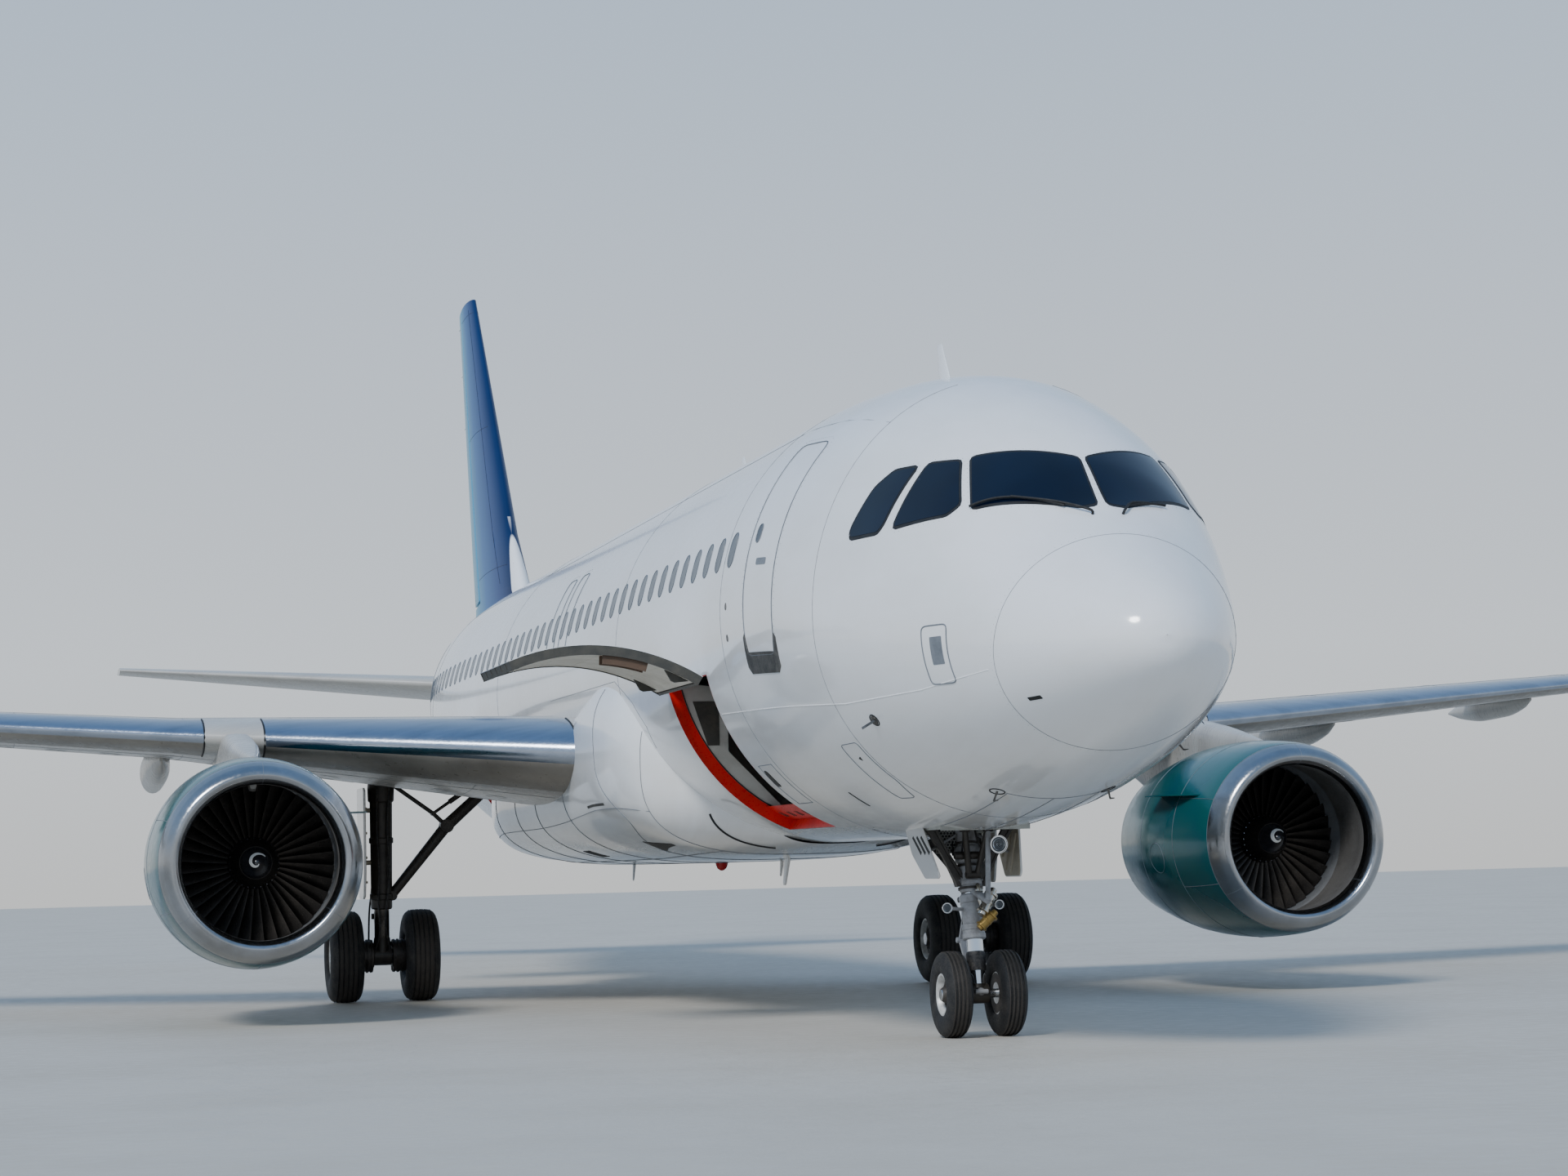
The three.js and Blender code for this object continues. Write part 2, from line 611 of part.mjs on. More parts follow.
const aroundWing = {};
for (const [sideName, side] of [["right", -1], ["left", 1]]) {
  const whole = surface(WING, flatPoint, side, 1000, 17000);
  aroundWing[side] = surface(WING, flatPoint, side, 1000, 17000, SEAM);
  const frontBlock = (from, to, rear) =>
    chordBlock(WING, flatPoint, side, from, to, fraction(-0.1), fraction(rear));
  let wing = whole;
  for (const [name, from, to] of SLATS) {
    add(`${sideName}_${name}`, whole.intersect(frontBlock(from, to, WING_PIECES.slatRear)), POLISHED);
    wing = cut(wing, frontBlock(from - SEAM, to + SEAM, WING_PIECES.slatRear + 0.0003));
  }
  const { flapStart, flapEnd, aileronStart, aileronEnd } = WING_PIECES;
  const flapFront = (gap) => (row) => row[SPLIT] - gap / row[CHORD];
  const flapBlock = (gap) =>
    chordBlock(WING, flatPoint, side, 1900, flapEnd + RUNNING, flapFront(gap), fraction(1.1));
  const flapReach = box(place(side * flapStart, 17000, 1500), place(side * flapEnd, 23000, 6000));
  const flap = whole.intersect(flapBlock(0)).intersect(flapReach);
  wing = cut(wing, flapBlock(SEAM));
  const aileronSpan = [aileronStart, aileronEnd];
  const aileron = hinged(WING, flatPoint, side, aileronSpan, fraction(0.76), whole, [20, 40]);
  const well = box(
    place(side * MAIN_GEAR_X - WELL.halfWidth, WELL.front, 1800),
    place(side * MAIN_GEAR_X + WELL.halfWidth, WELL.rear, WELL.top),
  );
  wing = join(cut(wing, aileron.hollow, wholeHull, aroundFairing, well), tipFence(side));
  const aroundFlap = aroundWing[side].intersect(flapBlock(SEAM));
  for (const track of TRACKS) {
    wing = join(wing, cut(trackFairing(side, track), aroundFlap));
  }
  // A flat pad for the jack, under the front spar outboard of the engine
  const jackRow = rowAt(WING, 7300);
  const jack = flatPoint(side, jackRow)(0.3 * jackRow[CHORD], 0);
  wing = join(wing, rod(jack.clone().setZ(2920), jack, 75, 75, 14));
  add(`${sideName}_wing`, wing, WING_GREY);
  add(`${sideName}_flap`, flap, WING_GREY);
  add(`${sideName}_aileron`, aileron.piece, WING_GREY);

  const plane = surface(TAILPLANE, flatPoint, side, 300, TAILPLANE_SPAN / 2);
  const elevatorSpan = [1250, TAILPLANE_SPAN / 2 - 120];
  const elevator = hinged(TAILPLANE, flatPoint, side, elevatorSpan, fraction(0.7), plane, [32, 40]);
  add(`${sideName}_stabiliser`, cut(plane, elevator.hollow, wholeHull), WING_GREY);
  add(`${sideName}_elevator`, elevator.piece, WING_GREY);
}

const finWhole = surface(FIN, finPoint, 1, 5250, 11760);
const rudderHinge = (row) => row[SPLIT];
const rudder = hinged(FIN, finPoint, 1, [6260, 11750], rudderHinge, finWhole, [60, 90], false);
add("fin", cut(finWhole, rudder.hollow, wholeHull), FIN_BLUE);
add("rudder", rudder.piece, FIN_BLUE);

// Engines

// Distance aft of the inlet lip, radius; the outside and then the duct, both from the front
const COWL_OUTSIDE = [
  [0, 905], [20, 950], [80, 1000], [200, 1045], [450, 1085], [900, 1115], [1400, 1130],
  [1900, 1118], [2400, 1080], [3000, 1000], [3450, 925],
];
const DUCT = [[0, 895], [20, 855], [90, 825], [250, 810], [600, 840], [1000, 870], [1500, 870]];
const REAR_DUCT = [[1500, 870], [1700, 850], [2600, 810], [3000, 850], [3450, 905]];
const COWL_SPLIT = 1150;
const CORE = [
  [1390, 0], [1390, 60], [1440, 60], [1440, 300], [1700, 500], [2400, 600], [3000, 585], [3600, 490],
  [4200, 395], [4200, 370], [3950, 360], [3950, 270], [4350, 200], [4750, 20], [4750, 0],
];
const SPINNER = [
  [690, 0], [720, 50], [850, 150], [1130, 270], [1425, 290], [1425, 61.3], [1380, 61.3], [1380, 0],
];
const BLADES = 36;
// Radius, half chord, angle from the axis in degrees, half thickness
const BLADE_SECTIONS = [
  [262, 95, 28, 9],
  [862, 124, 60, 4],
];

function fanBlade(centre, turn) {
  const sections = BLADE_SECTIONS.map(([radius, halfChord, angle, half]) => {
    const [c, s] = [Math.cos(radians(angle)), Math.sin(radians(angle))];
    return [[-halfChord, 0], [0, half], [halfChord, 0], [0, -half]].map(([a, t]) => {
      const across = a * s + t * c;
      const aft = a * c - t * s;
      return new THREE.Vector3(across, aft, Math.sqrt(radius ** 2 - across ** 2));
    });
  });
  const axis = new THREE.Vector3(0, 1, 0);
  return loft(sections.map((ring) => ring.map((p) => p.applyAxisAngle(axis, turn).add(centre))));
}

for (const [sideName, side] of [["right", -1], ["left", 1]]) {
  const lip = place(side * ENGINE_X, INLET_STATION, ENGINE_Z);
  const aft = (distance) => lip.clone().add(new THREE.Vector3(0, distance, 0));
  const ductLine = [...DUCT.slice(0, -1), ...REAR_DUCT];
  const shell = turned([...COWL_OUTSIDE, ...ductLine.toReversed(), COWL_OUTSIDE[0]], lip, 28);
  const cowlLine = COWL_OUTSIDE.map(([d, r]) => [d, r + SEAM]);
  const whole = turned([[0, 0], ...cowlLine, [3450 + SEAM, 0]], lip, 28);
  const reach = new THREE.Vector3(1300, 0, 1300);
  const front = box(aft(-100).sub(reach), aft(COWL_SPLIT - SEAM / 2).add(reach));
  const rear = box(aft(COWL_SPLIT + SEAM / 2).sub(reach), aft(3600).add(reach));
  add(`${sideName}_inlet_cowl`, shell.intersect(front), POLISHED);
  add(`${sideName}_fan_cowl`, shell.intersect(rear), TEAL);

  const insideDuct = turned([[0, 0], ...ductLine.map(([d, r]) => [d, r - SEAM]), [3450, 0]], lip, 28);
  const vane = (turn) => {
    const made = new THREE.BoxGeometry(36, 260, 480).translate(0, 1760, 690);
    return solidOf(made.rotateY(turn).translate(lip.x, lip.y, lip.z));
  };
  const turns = Array.from({ length: 8 }, (_, i) => ((i + 0.5) * Math.PI) / 4);
  const vanes = turns.map((turn) => vane(turn).intersect(insideDuct));
  const core = join(turned(CORE, lip, 20), ...vanes);
  add(`${sideName}_engine_core`, core, TITANIUM);

  const axis = aft(1290);
  const blades = Array.from({ length: BLADES }, (_, i) => fanBlade(axis, (i * 2 * Math.PI) / BLADES));
  add(`${sideName}_fan`, join(turned(SPINNER, lip, 18), ...blades), BLADE);

  // Pylon rings: station, half width, low, high
  const rings = [
    [12500, 40, 2500, 2850], [13100, 130, 2400, 2960], [13900, 195, 2250, 3090],
    [14900, 200, 2180, 3200], [15600, 200, 2250, 3200], [16400, 170, 2480, 3150],
    [17100, 110, 2720, 3120], [17700, 30, 2920, 3100],
  ];
  const pylon = loft(
    rings.map(([station, half, low, high]) => {
      const shoulder = high - half * 0.5;
      const ring = [[-1, low], [1, low], [1, shoulder], [0.5, high], [-0.5, high], [-1, shoulder]];
      return ring.map(([across, z]) => place(side * ENGINE_X + across * half, station, z));
    }),
  );
  const coreOutside = CORE.slice(3, 9).map(([distance, radius]) => [distance, radius + SEAM]);
  const coreClear = turned([[1440, 0], ...coreOutside, [4200, 0]], lip, 20);
  add(`${sideName}_pylon`, cut(pylon, whole, coreClear, aroundWing[side]), WING_GREY);
}

// Landing gear

// Tyres: distance from the wheel's middle as a share of half the width, radius as a share between rim and tread
const TYRE_SHAPE = [
  [0.8, 0], [1, 0.45], [0.88, 0.85], [0.4, 1],
];
function tyre(centre, radius, rimRadius, width) {
  const half = TYRE_SHAPE.map(([w, r]) => [(w * width) / 2, rimRadius + r * (radius - rimRadius)]);
  const profile = [...half, ...half.map(([w, r]) => [-w, r]).reverse()];
  return turned([...profile, profile[0]], centre, 20, true);
}

// Two rims on one axle: the axle turns in the leg's foot
function wheelPair(centre, spacing, rimRadius, tyreWidth, axleRadius) {
  const half = tyreWidth * 0.39;
  const rims = [-1, 1].map((side) => {
    // Distance out from the wheel's middle, radius
    const profile = [
      [-half, 0], [-half, rimRadius - SEAM], [half, rimRadius - SEAM], [half, rimRadius - 36],
      [half - 60, rimRadius - 60], [half - 60, axleRadius * 1.7], [half + 10, axleRadius * 1.5],
      [half + 10, 0],
    ];
    const middle = new THREE.Vector3(centre.x + side * spacing, centre.y, centre.z);
    return turned(profile.map(([d, r]) => [side * d, r]), middle, 20, true);
  });
  const reach = new THREE.Vector3(spacing, 0, 0);
  const [near, far] = [centre.clone().sub(reach), centre.clone().add(reach)];
  return join(rims[0], rims[1], rod(near, far, axleRadius, axleRadius, 24));
}

// A point on the line from one end to the other
const onLine = (from, to, share) => from.clone().lerp(to, share);
const flatBar = (from, to, half) => rod(from, to, half, half, 6);

// Nose gear
const NOSE_TYRE = { radius: 380, rim: 190, width: 224, offset: 250 };
const BAY = { front: 4720, rear: 5760, halfWidth: 400, top: 2450 };
const bay = box(place(-BAY.halfWidth, BAY.front, 1500), place(BAY.halfWidth, BAY.rear, BAY.top));
forwardBarrel = cut(forwardBarrel, bay);
const RAKE = radians(9);
const noseAxle = place(0, NOSE_GEAR_STATION, NOSE_TYRE.radius);
const strutUp = new THREE.Vector3(0, Math.sin(RAKE), Math.cos(RAKE));
const strut = (distance) => noseAxle.clone().addScaledVector(strutUp, distance);

const bore = rod(strut(700), strut(1240), 62 * RUNS, 62 * RUNS, 24);
const acrossBay = BAY.halfWidth - SEAM;
const trunnion = rod(strut(1930).setX(-acrossBay), strut(1930).setX(acrossBay), 48, 48, 12);
const noseLeg = cut(
  join(
    rod(strut(900), strut(1980), 98, 98, 12),
    rod(strut(1180), strut(1300), 122, 122, 12),
    rod(strut(1010).setX(-230), strut(1010).setX(230), 42, 42, 12),
    trunnion,
    ...[-1, 1].map((side) => flatBar(strut(1420), strut(1930).setX(side * 330), 38)),
  ),
  bore,
);
add("nose_gear_leg", noseLeg, GEAR_GREY);

const braceTop = place(0, BAY.front + 130, 2290);
const braceKnee = strut(1060).add(new THREE.Vector3(0, -118, 0));
const brace = join(
  rod(braceTop.clone().setX(-acrossBay), braceTop.clone().setX(acrossBay), 34),
  ...[-180, 180].map((x) => flatBar(braceTop.clone().setX(x), braceKnee.clone().setX(x * 0.22), 28)),
  rod(braceKnee.clone().setX(-70), braceKnee.clone().setX(70), 34),
);
add("nose_drag_brace", cut(brace, rod(strut(880), strut(1700), 98 + SEAM, 98 + SEAM, 12)), GEAR_GREY);

// The piston, its collar, torque links and foot turn together for steering
const foot = rod(noseAxle.clone().setX(-85), noseAxle.clone().setX(85), 88, 88, 12);
const boreEnds = [-120, 120].map((x) => noseAxle.clone().setX(x));
const axleBore = rod(...boreEnds, 40 * RUNS, 40 * RUNS, 24);
const linkKnee = strut(470).add(new THREE.Vector3(0, 330, 0));
const steering = cut(
  join(
    rod(strut(0), strut(1200), 62, 62, 24),
    rod(strut(800), strut(880), 104, 104, 12),
    foot,
    flatBar(strut(840), linkKnee, 34),
    flatBar(strut(60), linkKnee, 34),
    rod(linkKnee.clone().setX(-70), linkKnee.clone().setX(70), 30),
  ),
  axleBore,
);
add("nose_gear_piston", steering, GEAR_GREY);
add("nose_wheel_hubs", wheelPair(noseAxle, NOSE_TYRE.offset, NOSE_TYRE.rim, NOSE_TYRE.width, 40), RIM);
for (const [sideName, side] of [["right", -1], ["left", 1]]) {
  const centre = noseAxle.clone().setX(side * NOSE_TYRE.offset);
  add(`nose_${sideName}_tyre`, tyre(centre, NOSE_TYRE.radius, NOSE_TYRE.rim, NOSE_TYRE.width), TYRE);
  // The narrow aft bay doors hang beside the leg, drawn in at their lower edge
  const outline = [[4800, 1900], [5700, 1900], [5560, 1640], [5230, 1400], [4800, 1400]];
  const panel = loft(
    [360, 382].map((x) =>
      outline.map(([station, z]) => place(side * (x + 0.17 * (z - 1400)), station, z)),
    ),
  );
  add(`nose_gear_${sideName}_door`, cut(panel, wholeHull), WHITE);
}

// Main gear
const MAIN_TYRE = { radius: 560, rim: 262, width: 415, offset: 463.5 };
for (const [sideName, side] of [["right", -1], ["left", 1]]) {
  const x = side * MAIN_GEAR_X;
  const axle = place(x, MAIN_GEAR_STATION, MAIN_TYRE.radius);
  const top = place(x, (WELL.front + WELL.rear) / 2, WELL.trunnionZ);
  const at = (share) => onLine(axle, top, share);
  const [wellFront, wellRear] = [WELL.front + SEAM, WELL.rear - SEAM].map((s) => place(x, s, WELL.trunnionZ));
  const knee = at(0.21).add(new THREE.Vector3(0, 340, 0));
  const leg = cut(
    join(
      rod(at(0.25), top, 130, 142, 12),
      rod(axle, at(0.32), 92, 92, 12),
      rod(axle.clone().setX(x - 110), axle.clone().setX(x + 110), 118, 118, 12),
      rod(wellFront, wellRear, 85, 85, 12),
      flatBar(at(0.3), knee, 42),
      flatBar(at(0.02), knee, 42),
      rod(knee.clone().setX(x - 90), knee.clone().setX(x + 90), 38),
    ),
    rod(axle.clone().setX(x - 150), axle.clone().setX(x + 150), 60 * RUNS, 60 * RUNS, 24),
  );
  add(`${sideName}_main_gear_leg`, leg, GEAR_GREY);
  const { radius, rim, width, offset } = MAIN_TYRE;
  add(`${sideName}_main_wheel_hubs`, wheelPair(axle, offset, rim, width, 60), RIM);
  for (const [position, way] of [["inner", -side], ["outer", side]]) {
    const made = tyre(axle.clone().setX(x + way * offset), radius, rim, width);
    add(`${sideName}_main_${position}_tyre`, made, TYRE);
  }
  // Folding side stay with its lock links, up to the wing's rear spar beside the fairing
  const low = at(0.29);
  const high = place(side * 2480, 17600, 2640);
  const elbow = onLine(low, high, 0.5);
  const stay = join(
    flatBar(low, elbow, 52),
    flatBar(elbow, high, 46),
    rod(elbow.clone().setY(elbow.y - 90), elbow.clone().setY(elbow.y + 90), 58),
    flatBar(elbow, at(0.84), 26),
  );
  const legClear = rod(at(0.25), top, 130 + SEAM, 142 + SEAM, 12);
  add(`${sideName}_side_stay`, cut(stay, legClear, aroundWing[side], aroundFairing), GEAR_GREY);
  // The door that the leg carries on its outboard side
  const doorX = x + side * 215;
  const outline = [[17330, 2560], [18020, 2560], [18020, 1750], [17900, 1260], [17440, 1260], [17330, 1600]];
  const panel = plate(outline, doorX, doorX + side * 34);
  const arms = [0.5, 0.78].map((share) => rod(at(share), at(share).setX(doorX + side * 10), 34));
  add(`${sideName}_main_gear_door`, cut(join(panel, ...arms), legClear, aroundWing[side]), WHITE);
}

add("radome", radome, WHITE);
add("nose_fuselage", noseBarrel, WHITE);
add("cockpit_glazing", glazing, GLASS);
add("forward_fuselage", forwardBarrel, WHITE);
add("centre_fuselage", centreBarrel, WHITE);
add("aft_fuselage", aftBarrel, WHITE);
add("tail_fuselage", tailBarrel, WHITE);
add("belly_fairing", cut(fairingBody(0), wholeHull), BELLY_GREY);

export default root;
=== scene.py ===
# The looks of a parked single-aisle airliner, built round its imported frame.
# Metres, +Z up, nose towards -Y, port towards +X. A station counts metres aft from the nose tip.
import math
from math import cos, pi, radians, sin

import bmesh
import bpy
import numpy as np
from mathutils import Matrix, Vector
from mathutils.geometry import delaunay_2d_cdt


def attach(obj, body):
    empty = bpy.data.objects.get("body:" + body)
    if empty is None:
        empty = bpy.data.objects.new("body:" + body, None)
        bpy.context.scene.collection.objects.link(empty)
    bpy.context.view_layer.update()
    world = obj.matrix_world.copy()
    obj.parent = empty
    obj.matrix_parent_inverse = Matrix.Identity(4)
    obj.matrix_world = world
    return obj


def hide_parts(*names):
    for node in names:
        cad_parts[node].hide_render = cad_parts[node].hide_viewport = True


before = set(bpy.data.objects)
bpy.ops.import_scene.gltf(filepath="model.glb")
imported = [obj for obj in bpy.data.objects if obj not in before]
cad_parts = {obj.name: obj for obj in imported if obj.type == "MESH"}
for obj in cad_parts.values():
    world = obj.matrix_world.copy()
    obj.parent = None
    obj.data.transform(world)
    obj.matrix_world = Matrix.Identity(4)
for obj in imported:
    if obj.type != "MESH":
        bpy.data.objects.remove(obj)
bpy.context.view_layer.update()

# Fuselage skin: aluminium panels riveted over frames, from the radome back to the tail cone.
# It is one smooth shell, open at the two hold doorways and at the nose gear bay.
# The paint is gloss white, washed often on the flanks; under the belly it turns a warm grey in streaks,
# partly oil and rain stains and partly painted shade and painted warm ground reflection.
LENGTH = 37.57
MID = LENGTH / 2
# station, crown, waist, keel, half width
HULL = [
    [0, 3.192, 3.19, 3.188, 0.006],
    [0.02, 3.31, 3.19, 3.08, 0.131],
    [0.1, 3.446, 3.19, 2.955, 0.294],
    [0.3, 3.632, 3.2, 2.806, 0.509],
    [0.6, 3.835, 3.215, 2.655, 0.72],
    [0.9, 4.02, 3.24, 2.53, 0.882],
    [1.31, 4.29, 3.28, 2.39, 1.064],
    [1.8, 4.74, 3.33, 2.255, 1.245],
    [2.3, 5.09, 3.4, 2.14, 1.41],
    [3, 5.43, 3.51, 2.01, 1.602],
    [4, 5.73, 3.67, 1.88, 1.805],
    [5, 5.86, 3.78, 1.805, 1.925],
    [6.2, 5.91, 3.84, 1.77, 1.975],
    [23.5, 5.91, 3.84, 1.77, 1.975],
    [25.2, 5.908, 3.87, 1.87, 1.955],
    [27, 5.895, 3.96, 2.13, 1.86],
    [29, 5.86, 4.15, 2.58, 1.65],
    [31, 5.79, 4.35, 3.08, 1.37],
    [33, 5.68, 4.55, 3.6, 1.05],
    [35, 5.53, 4.72, 4.09, 0.7],
    [36.3, 5.39, 4.8, 4.37, 0.45],
    [LENGTH, 5.18, 4.89, 4.62, 0.27],
]


def along(table, at):
    """Every column of a table at a value of its first column, by monotone cubic steps."""
    rows = np.asarray(table, float)
    x = rows[:, 0]
    step = np.diff(x)
    slope = np.diff(rows, axis=0) / step[:, None]
    total = np.where(slope[:-1] * slope[1:] > 0, slope[:-1] + slope[1:], 1)
    middle = np.where(slope[:-1] * slope[1:] > 0, 2 * slope[:-1] * slope[1:] / total, 0)
    tangent = np.vstack([slope[:1], middle, slope[-1:]])
    at = np.clip(np.asarray(at, float), x[0], x[-1])
    i = np.clip(np.searchsorted(x, at, side="right") - 1, 0, len(x) - 2)
    h = step[i][..., None]
    t = (at - x[i])[..., None] / h
    return (
        rows[i] * (2 * t**3 - 3 * t**2 + 1)
        + tangent[i] * h * (t**3 - 2 * t**2 + t)
        + rows[i + 1] * (3 * t**2 - 2 * t**3)
        + tangent[i + 1] * h * (t**3 - t**2)
    )


def skin(station, angle, grow=0.0):
    """A point of the skin: angle 0 is the crown and a quarter turn the port waist."""
    station, angle = np.broadcast_arrays(np.asarray(station, float), angle)
    top, waist, bottom, half = np.moveaxis(along(HULL, station), -1, 0)[1:]
    rise = np.cos(angle)
    reach = np.where(rise > 0, top - waist, waist - bottom) + grow
    y = station - MID
    return np.stack([(half + grow) * np.sin(angle), y, waist + reach * rise], -1)


def linear(text):
    """An sRGB hex colour as Blender's linear one."""
    parts = [int(text[i : i + 2], 16) / 255 for i in (1, 3, 5)]
    return (*[c / 12.92 if c < 0.04045 else ((c + 0.055) / 1.055) ** 2.4 for c in parts], 1)


def add_node(tree, kind, inputs=None, **settings):
    """Adds a node with its settings; an input is a value or another node's output socket."""
    made = tree.nodes.new(kind)
    for key, value in settings.items():
        setattr(made, key, value)
    for key, value in (inputs or {}).items():
        if isinstance(value, bpy.types.NodeSocket):
            tree.links.new(value, made.inputs[key])
        else:
            made.inputs[key].default_value = value
    return made


def found(tree, kind):
    """The first node of a kind in a tree."""
    return next(n for n in tree.nodes if n.bl_idname == kind)


def new_finish(name, colour, roughness, metallic=0.0, **sockets):
    """A material with its shader's own sockets set; returns the material, its tree and its shader."""
    material = bpy.data.materials.new(name)
    material.use_nodes = True
    shader = material.node_tree.nodes["Principled BSDF"]
    shader.inputs["Base Color"].default_value = linear(colour)
    shader.inputs["Roughness"].default_value = roughness
    shader.inputs["Metallic"].default_value = metallic
    for key, value in sockets.items():
        shader.inputs[key.replace("_", " ")].default_value = value
    return material, material.node_tree, shader


def weathered(name, colour, soiled, roughness, metallic=0.0, grain=2.0, amount=0.5, bump=0.001,
              stretch=(1, 1, 1), **sockets):
    """A finish whose colour drifts towards a soiled one, with uneven gloss and a slight waviness."""
    material, tree, shader = new_finish(name, colour, roughness, metallic, **sockets)
    where = add_node(tree, "ShaderNodeTexCoord").outputs["Object"]
    drawn = add_node(tree, "ShaderNodeMapping", {"Vector": where, "Scale": stretch})
    broad = add_node(tree, "ShaderNodeTexNoise",
                     {"Vector": drawn.outputs[0], "Scale": grain, "Detail": 6.0, "Roughness": 0.62})
    fine = add_node(tree, "ShaderNodeTexNoise",
                    {"Vector": drawn.outputs[0], "Scale": grain * 14, "Detail": 4.0})
    share = add_node(tree, "ShaderNodeMapRange",
                     {"Value": broad.outputs[0], "From Min": 0.42, "From Max": 0.74,
                      "To Min": 0.0, "To Max": amount})
    tint = add_node(tree, "ShaderNodeMix",
                    {"Factor": share.outputs[0], 6: linear(colour), 7: linear(soiled)},
                    data_type="RGBA")
    tree.links.new(tint.outputs[2], shader.inputs["Base Color"])
    gloss = add_node(tree, "ShaderNodeMapRange",
                     {"Value": fine.outputs[0], "From Min": 0.3, "From Max": 0.7,
                      "To Min": roughness * 0.75, "To Max": min(roughness * 1.35, 1)})
    tree.links.new(gloss.outputs[0], shader.inputs["Roughness"])
    wave = add_node(tree, "ShaderNodeBump",
                    {"Height": broad.outputs[0], "Strength": 0.35, "Distance": bump})
    tree.links.new(wave.outputs[0], shader.inputs["Normal"])
    return material


def shape_mesh(name, shapes, closed=True):
    """One merged mesh out of [(points, faces, material index)]; closed shapes are turned outwards."""
    points, faces, indices, start = [], [], [], 0
    for shape in shapes:
        p, f, index = (*shape, 0)[:3]
        p = np.asarray(p, float).reshape(-1, 3)
        points.append(p)
        faces += [[i + start for i in face] for face in f]
        indices += [index] * len(f)
        start += len(p)
    mesh = bpy.data.meshes.new(name)
    mesh.from_pydata(np.concatenate(points).tolist(), [], faces)
    mesh.polygons.foreach_set("material_index", indices)
    return merged(mesh, closed)


def merged(mesh, closed=True):
    """Merges a mesh's doubles and, on closed shapes, makes every face point outwards."""
    work = bmesh.new()
    work.from_mesh(mesh)
    bmesh.ops.remove_doubles(work, verts=work.verts, dist=2e-5)
    bmesh.ops.dissolve_degenerate(work, edges=work.edges, dist=1e-6)
    if closed:
        bmesh.ops.recalc_face_normals(work, faces=work.faces)
    work.to_mesh(mesh)
    work.free()
    return mesh


def linked(name, data):
    """An object of its data in the scene."""
    made = bpy.data.objects.new(name, data)
    bpy.context.scene.collection.objects.link(made)
    return made


def settle(made, body, nodes, angle):
    """Smooths a piece but for its sharp edges and says what it rides on and stands for."""
    made.data.shade_smooth()
    made.data.set_sharp_from_angle(angle=radians(angle))
    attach(made, body)
    if nodes:
        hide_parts(*nodes)


def add_piece(name, shapes, finishes, body="airframe", nodes=(), closed=True, angle=32):
    """One object out of [(points, faces, material index)] on its body."""
    mesh = shape_mesh(name, shapes, closed)
    for finish in finishes if isinstance(finishes, list) else [finishes]:
        mesh.materials.append(finish)
    settle(linked(name, mesh), body, nodes, angle)


def grid_faces(rows, columns, wrap=True, skip=lambda i, j: False):
    """Quads over a grid of points listed row by row; wrap closes each row."""
    last = columns if wrap else columns - 1
    return [
        [i * columns + j, i * columns + (j + 1) % columns,
         (i + 1) * columns + (j + 1) % columns, (i + 1) * columns + j]
        for i in range(rows - 1) for j in range(last) if not skip(i, j)
    ]


# forward and aft hold doors: station of the middle
HOLD_DOORS = {"forward_cargo_door": 8.16, "aft_cargo_door": 22.69}
DOORWAY_HALF = 0.922
DOORWAY_ANGLES = [radians(200.66), radians(256.65)]
BAY = [4.72, 5.76, radians(168.07), radians(191.93)]
edges = [s + way * DOORWAY_HALF for s in HOLD_DOORS.values() for way in (-1, 1)]
stations = np.unique(np.round(np.concatenate([
    3.4 * np.linspace(0, 1, 62) ** 1.9, np.arange(3.5, 6.2, 0.13), BAY[:2], [6.2], edges,
    np.arange(6.6, 23.4, 0.6), np.arange(23.7, LENGTH, 0.3), [23.5, LENGTH]]), 4))
turns = np.unique(np.round(np.concatenate(
    [np.radians(np.arange(0, 360, 2.5)), DOORWAY_ANGLES, BAY[2:]]), 5))


def in_opening(i, j):
    """Whether a quad of the skin lies in a hold doorway or over the nose gear bay."""
    s, a = (stations[i] + stations[i + 1]) / 2, turns[j] + 0.001
    at_door = any(abs(s - d) < DOORWAY_HALF for d in HOLD_DOORS.values())
    doorway = at_door and DOORWAY_ANGLES[0] - 1e-4 < a < DOORWAY_ANGLES[1]
    return doorway or (BAY[0] < s < BAY[1] and BAY[2] - 1e-4 < a < BAY[3])


white_paint_and_belly_shade = weathered("gloss_white_paint_with_painted_belly_shade", "#EEF0F2", "#D6D5CF", 0.16,
                        grain=0.8, amount=0.5, stretch=(1, 0.35, 1), Coat_Weight=0.6,
                        Coat_Roughness=0.06)
# Under the belly the white turns warm and dull in streaks: partly rain and fluid stains, partly painted
# shade and painted warm reflection from the ground
tree = white_paint_and_belly_shade.node_tree
mixed = found(tree, "ShaderNodeMix")
where = found(tree, "ShaderNodeTexCoord").outputs["Object"]
height = add_node(tree, "ShaderNodeSeparateXYZ", {0: where})
low = add_node(tree, "ShaderNodeMapRange", {"Value": height.outputs[2], "From Min": 2.9,
                                            "From Max": 1.8, "To Max": 0.5})
streaks = add_node(tree, "ShaderNodeMapping", {"Vector": where, "Scale": (7, 0.7, 1.2)})
streak = add_node(tree, "ShaderNodeTexNoise", {"Vector": streaks.outputs[0], "Scale": 1.0, "Detail": 5.0})
stain_and_shade_share = add_node(tree, "ShaderNodeMath", {0: low.outputs[0], 1: streak.outputs[0]}, operation="MULTIPLY")
belly = add_node(tree, "ShaderNodeMix", {"Factor": stain_and_shade_share.outputs[0], 6: mixed.outputs[2],
                                         7: linear("#A99F90")}, data_type="RGBA")
tree.links.new(belly.outputs[2], tree.nodes["Principled BSDF"].inputs["Base Color"])

points = skin(stations[:, None], turns[None, :])
add_piece("fuselage_skin", [(points, grid_faces(len(stations), len(turns), True, in_opening))], white_paint_and_belly_shade,
          nodes=("radome", "nose_fuselage", "forward_fuselage", "centre_fuselage", "aft_fuselage",
                 "tail_fuselage"), closed=False, angle=60)

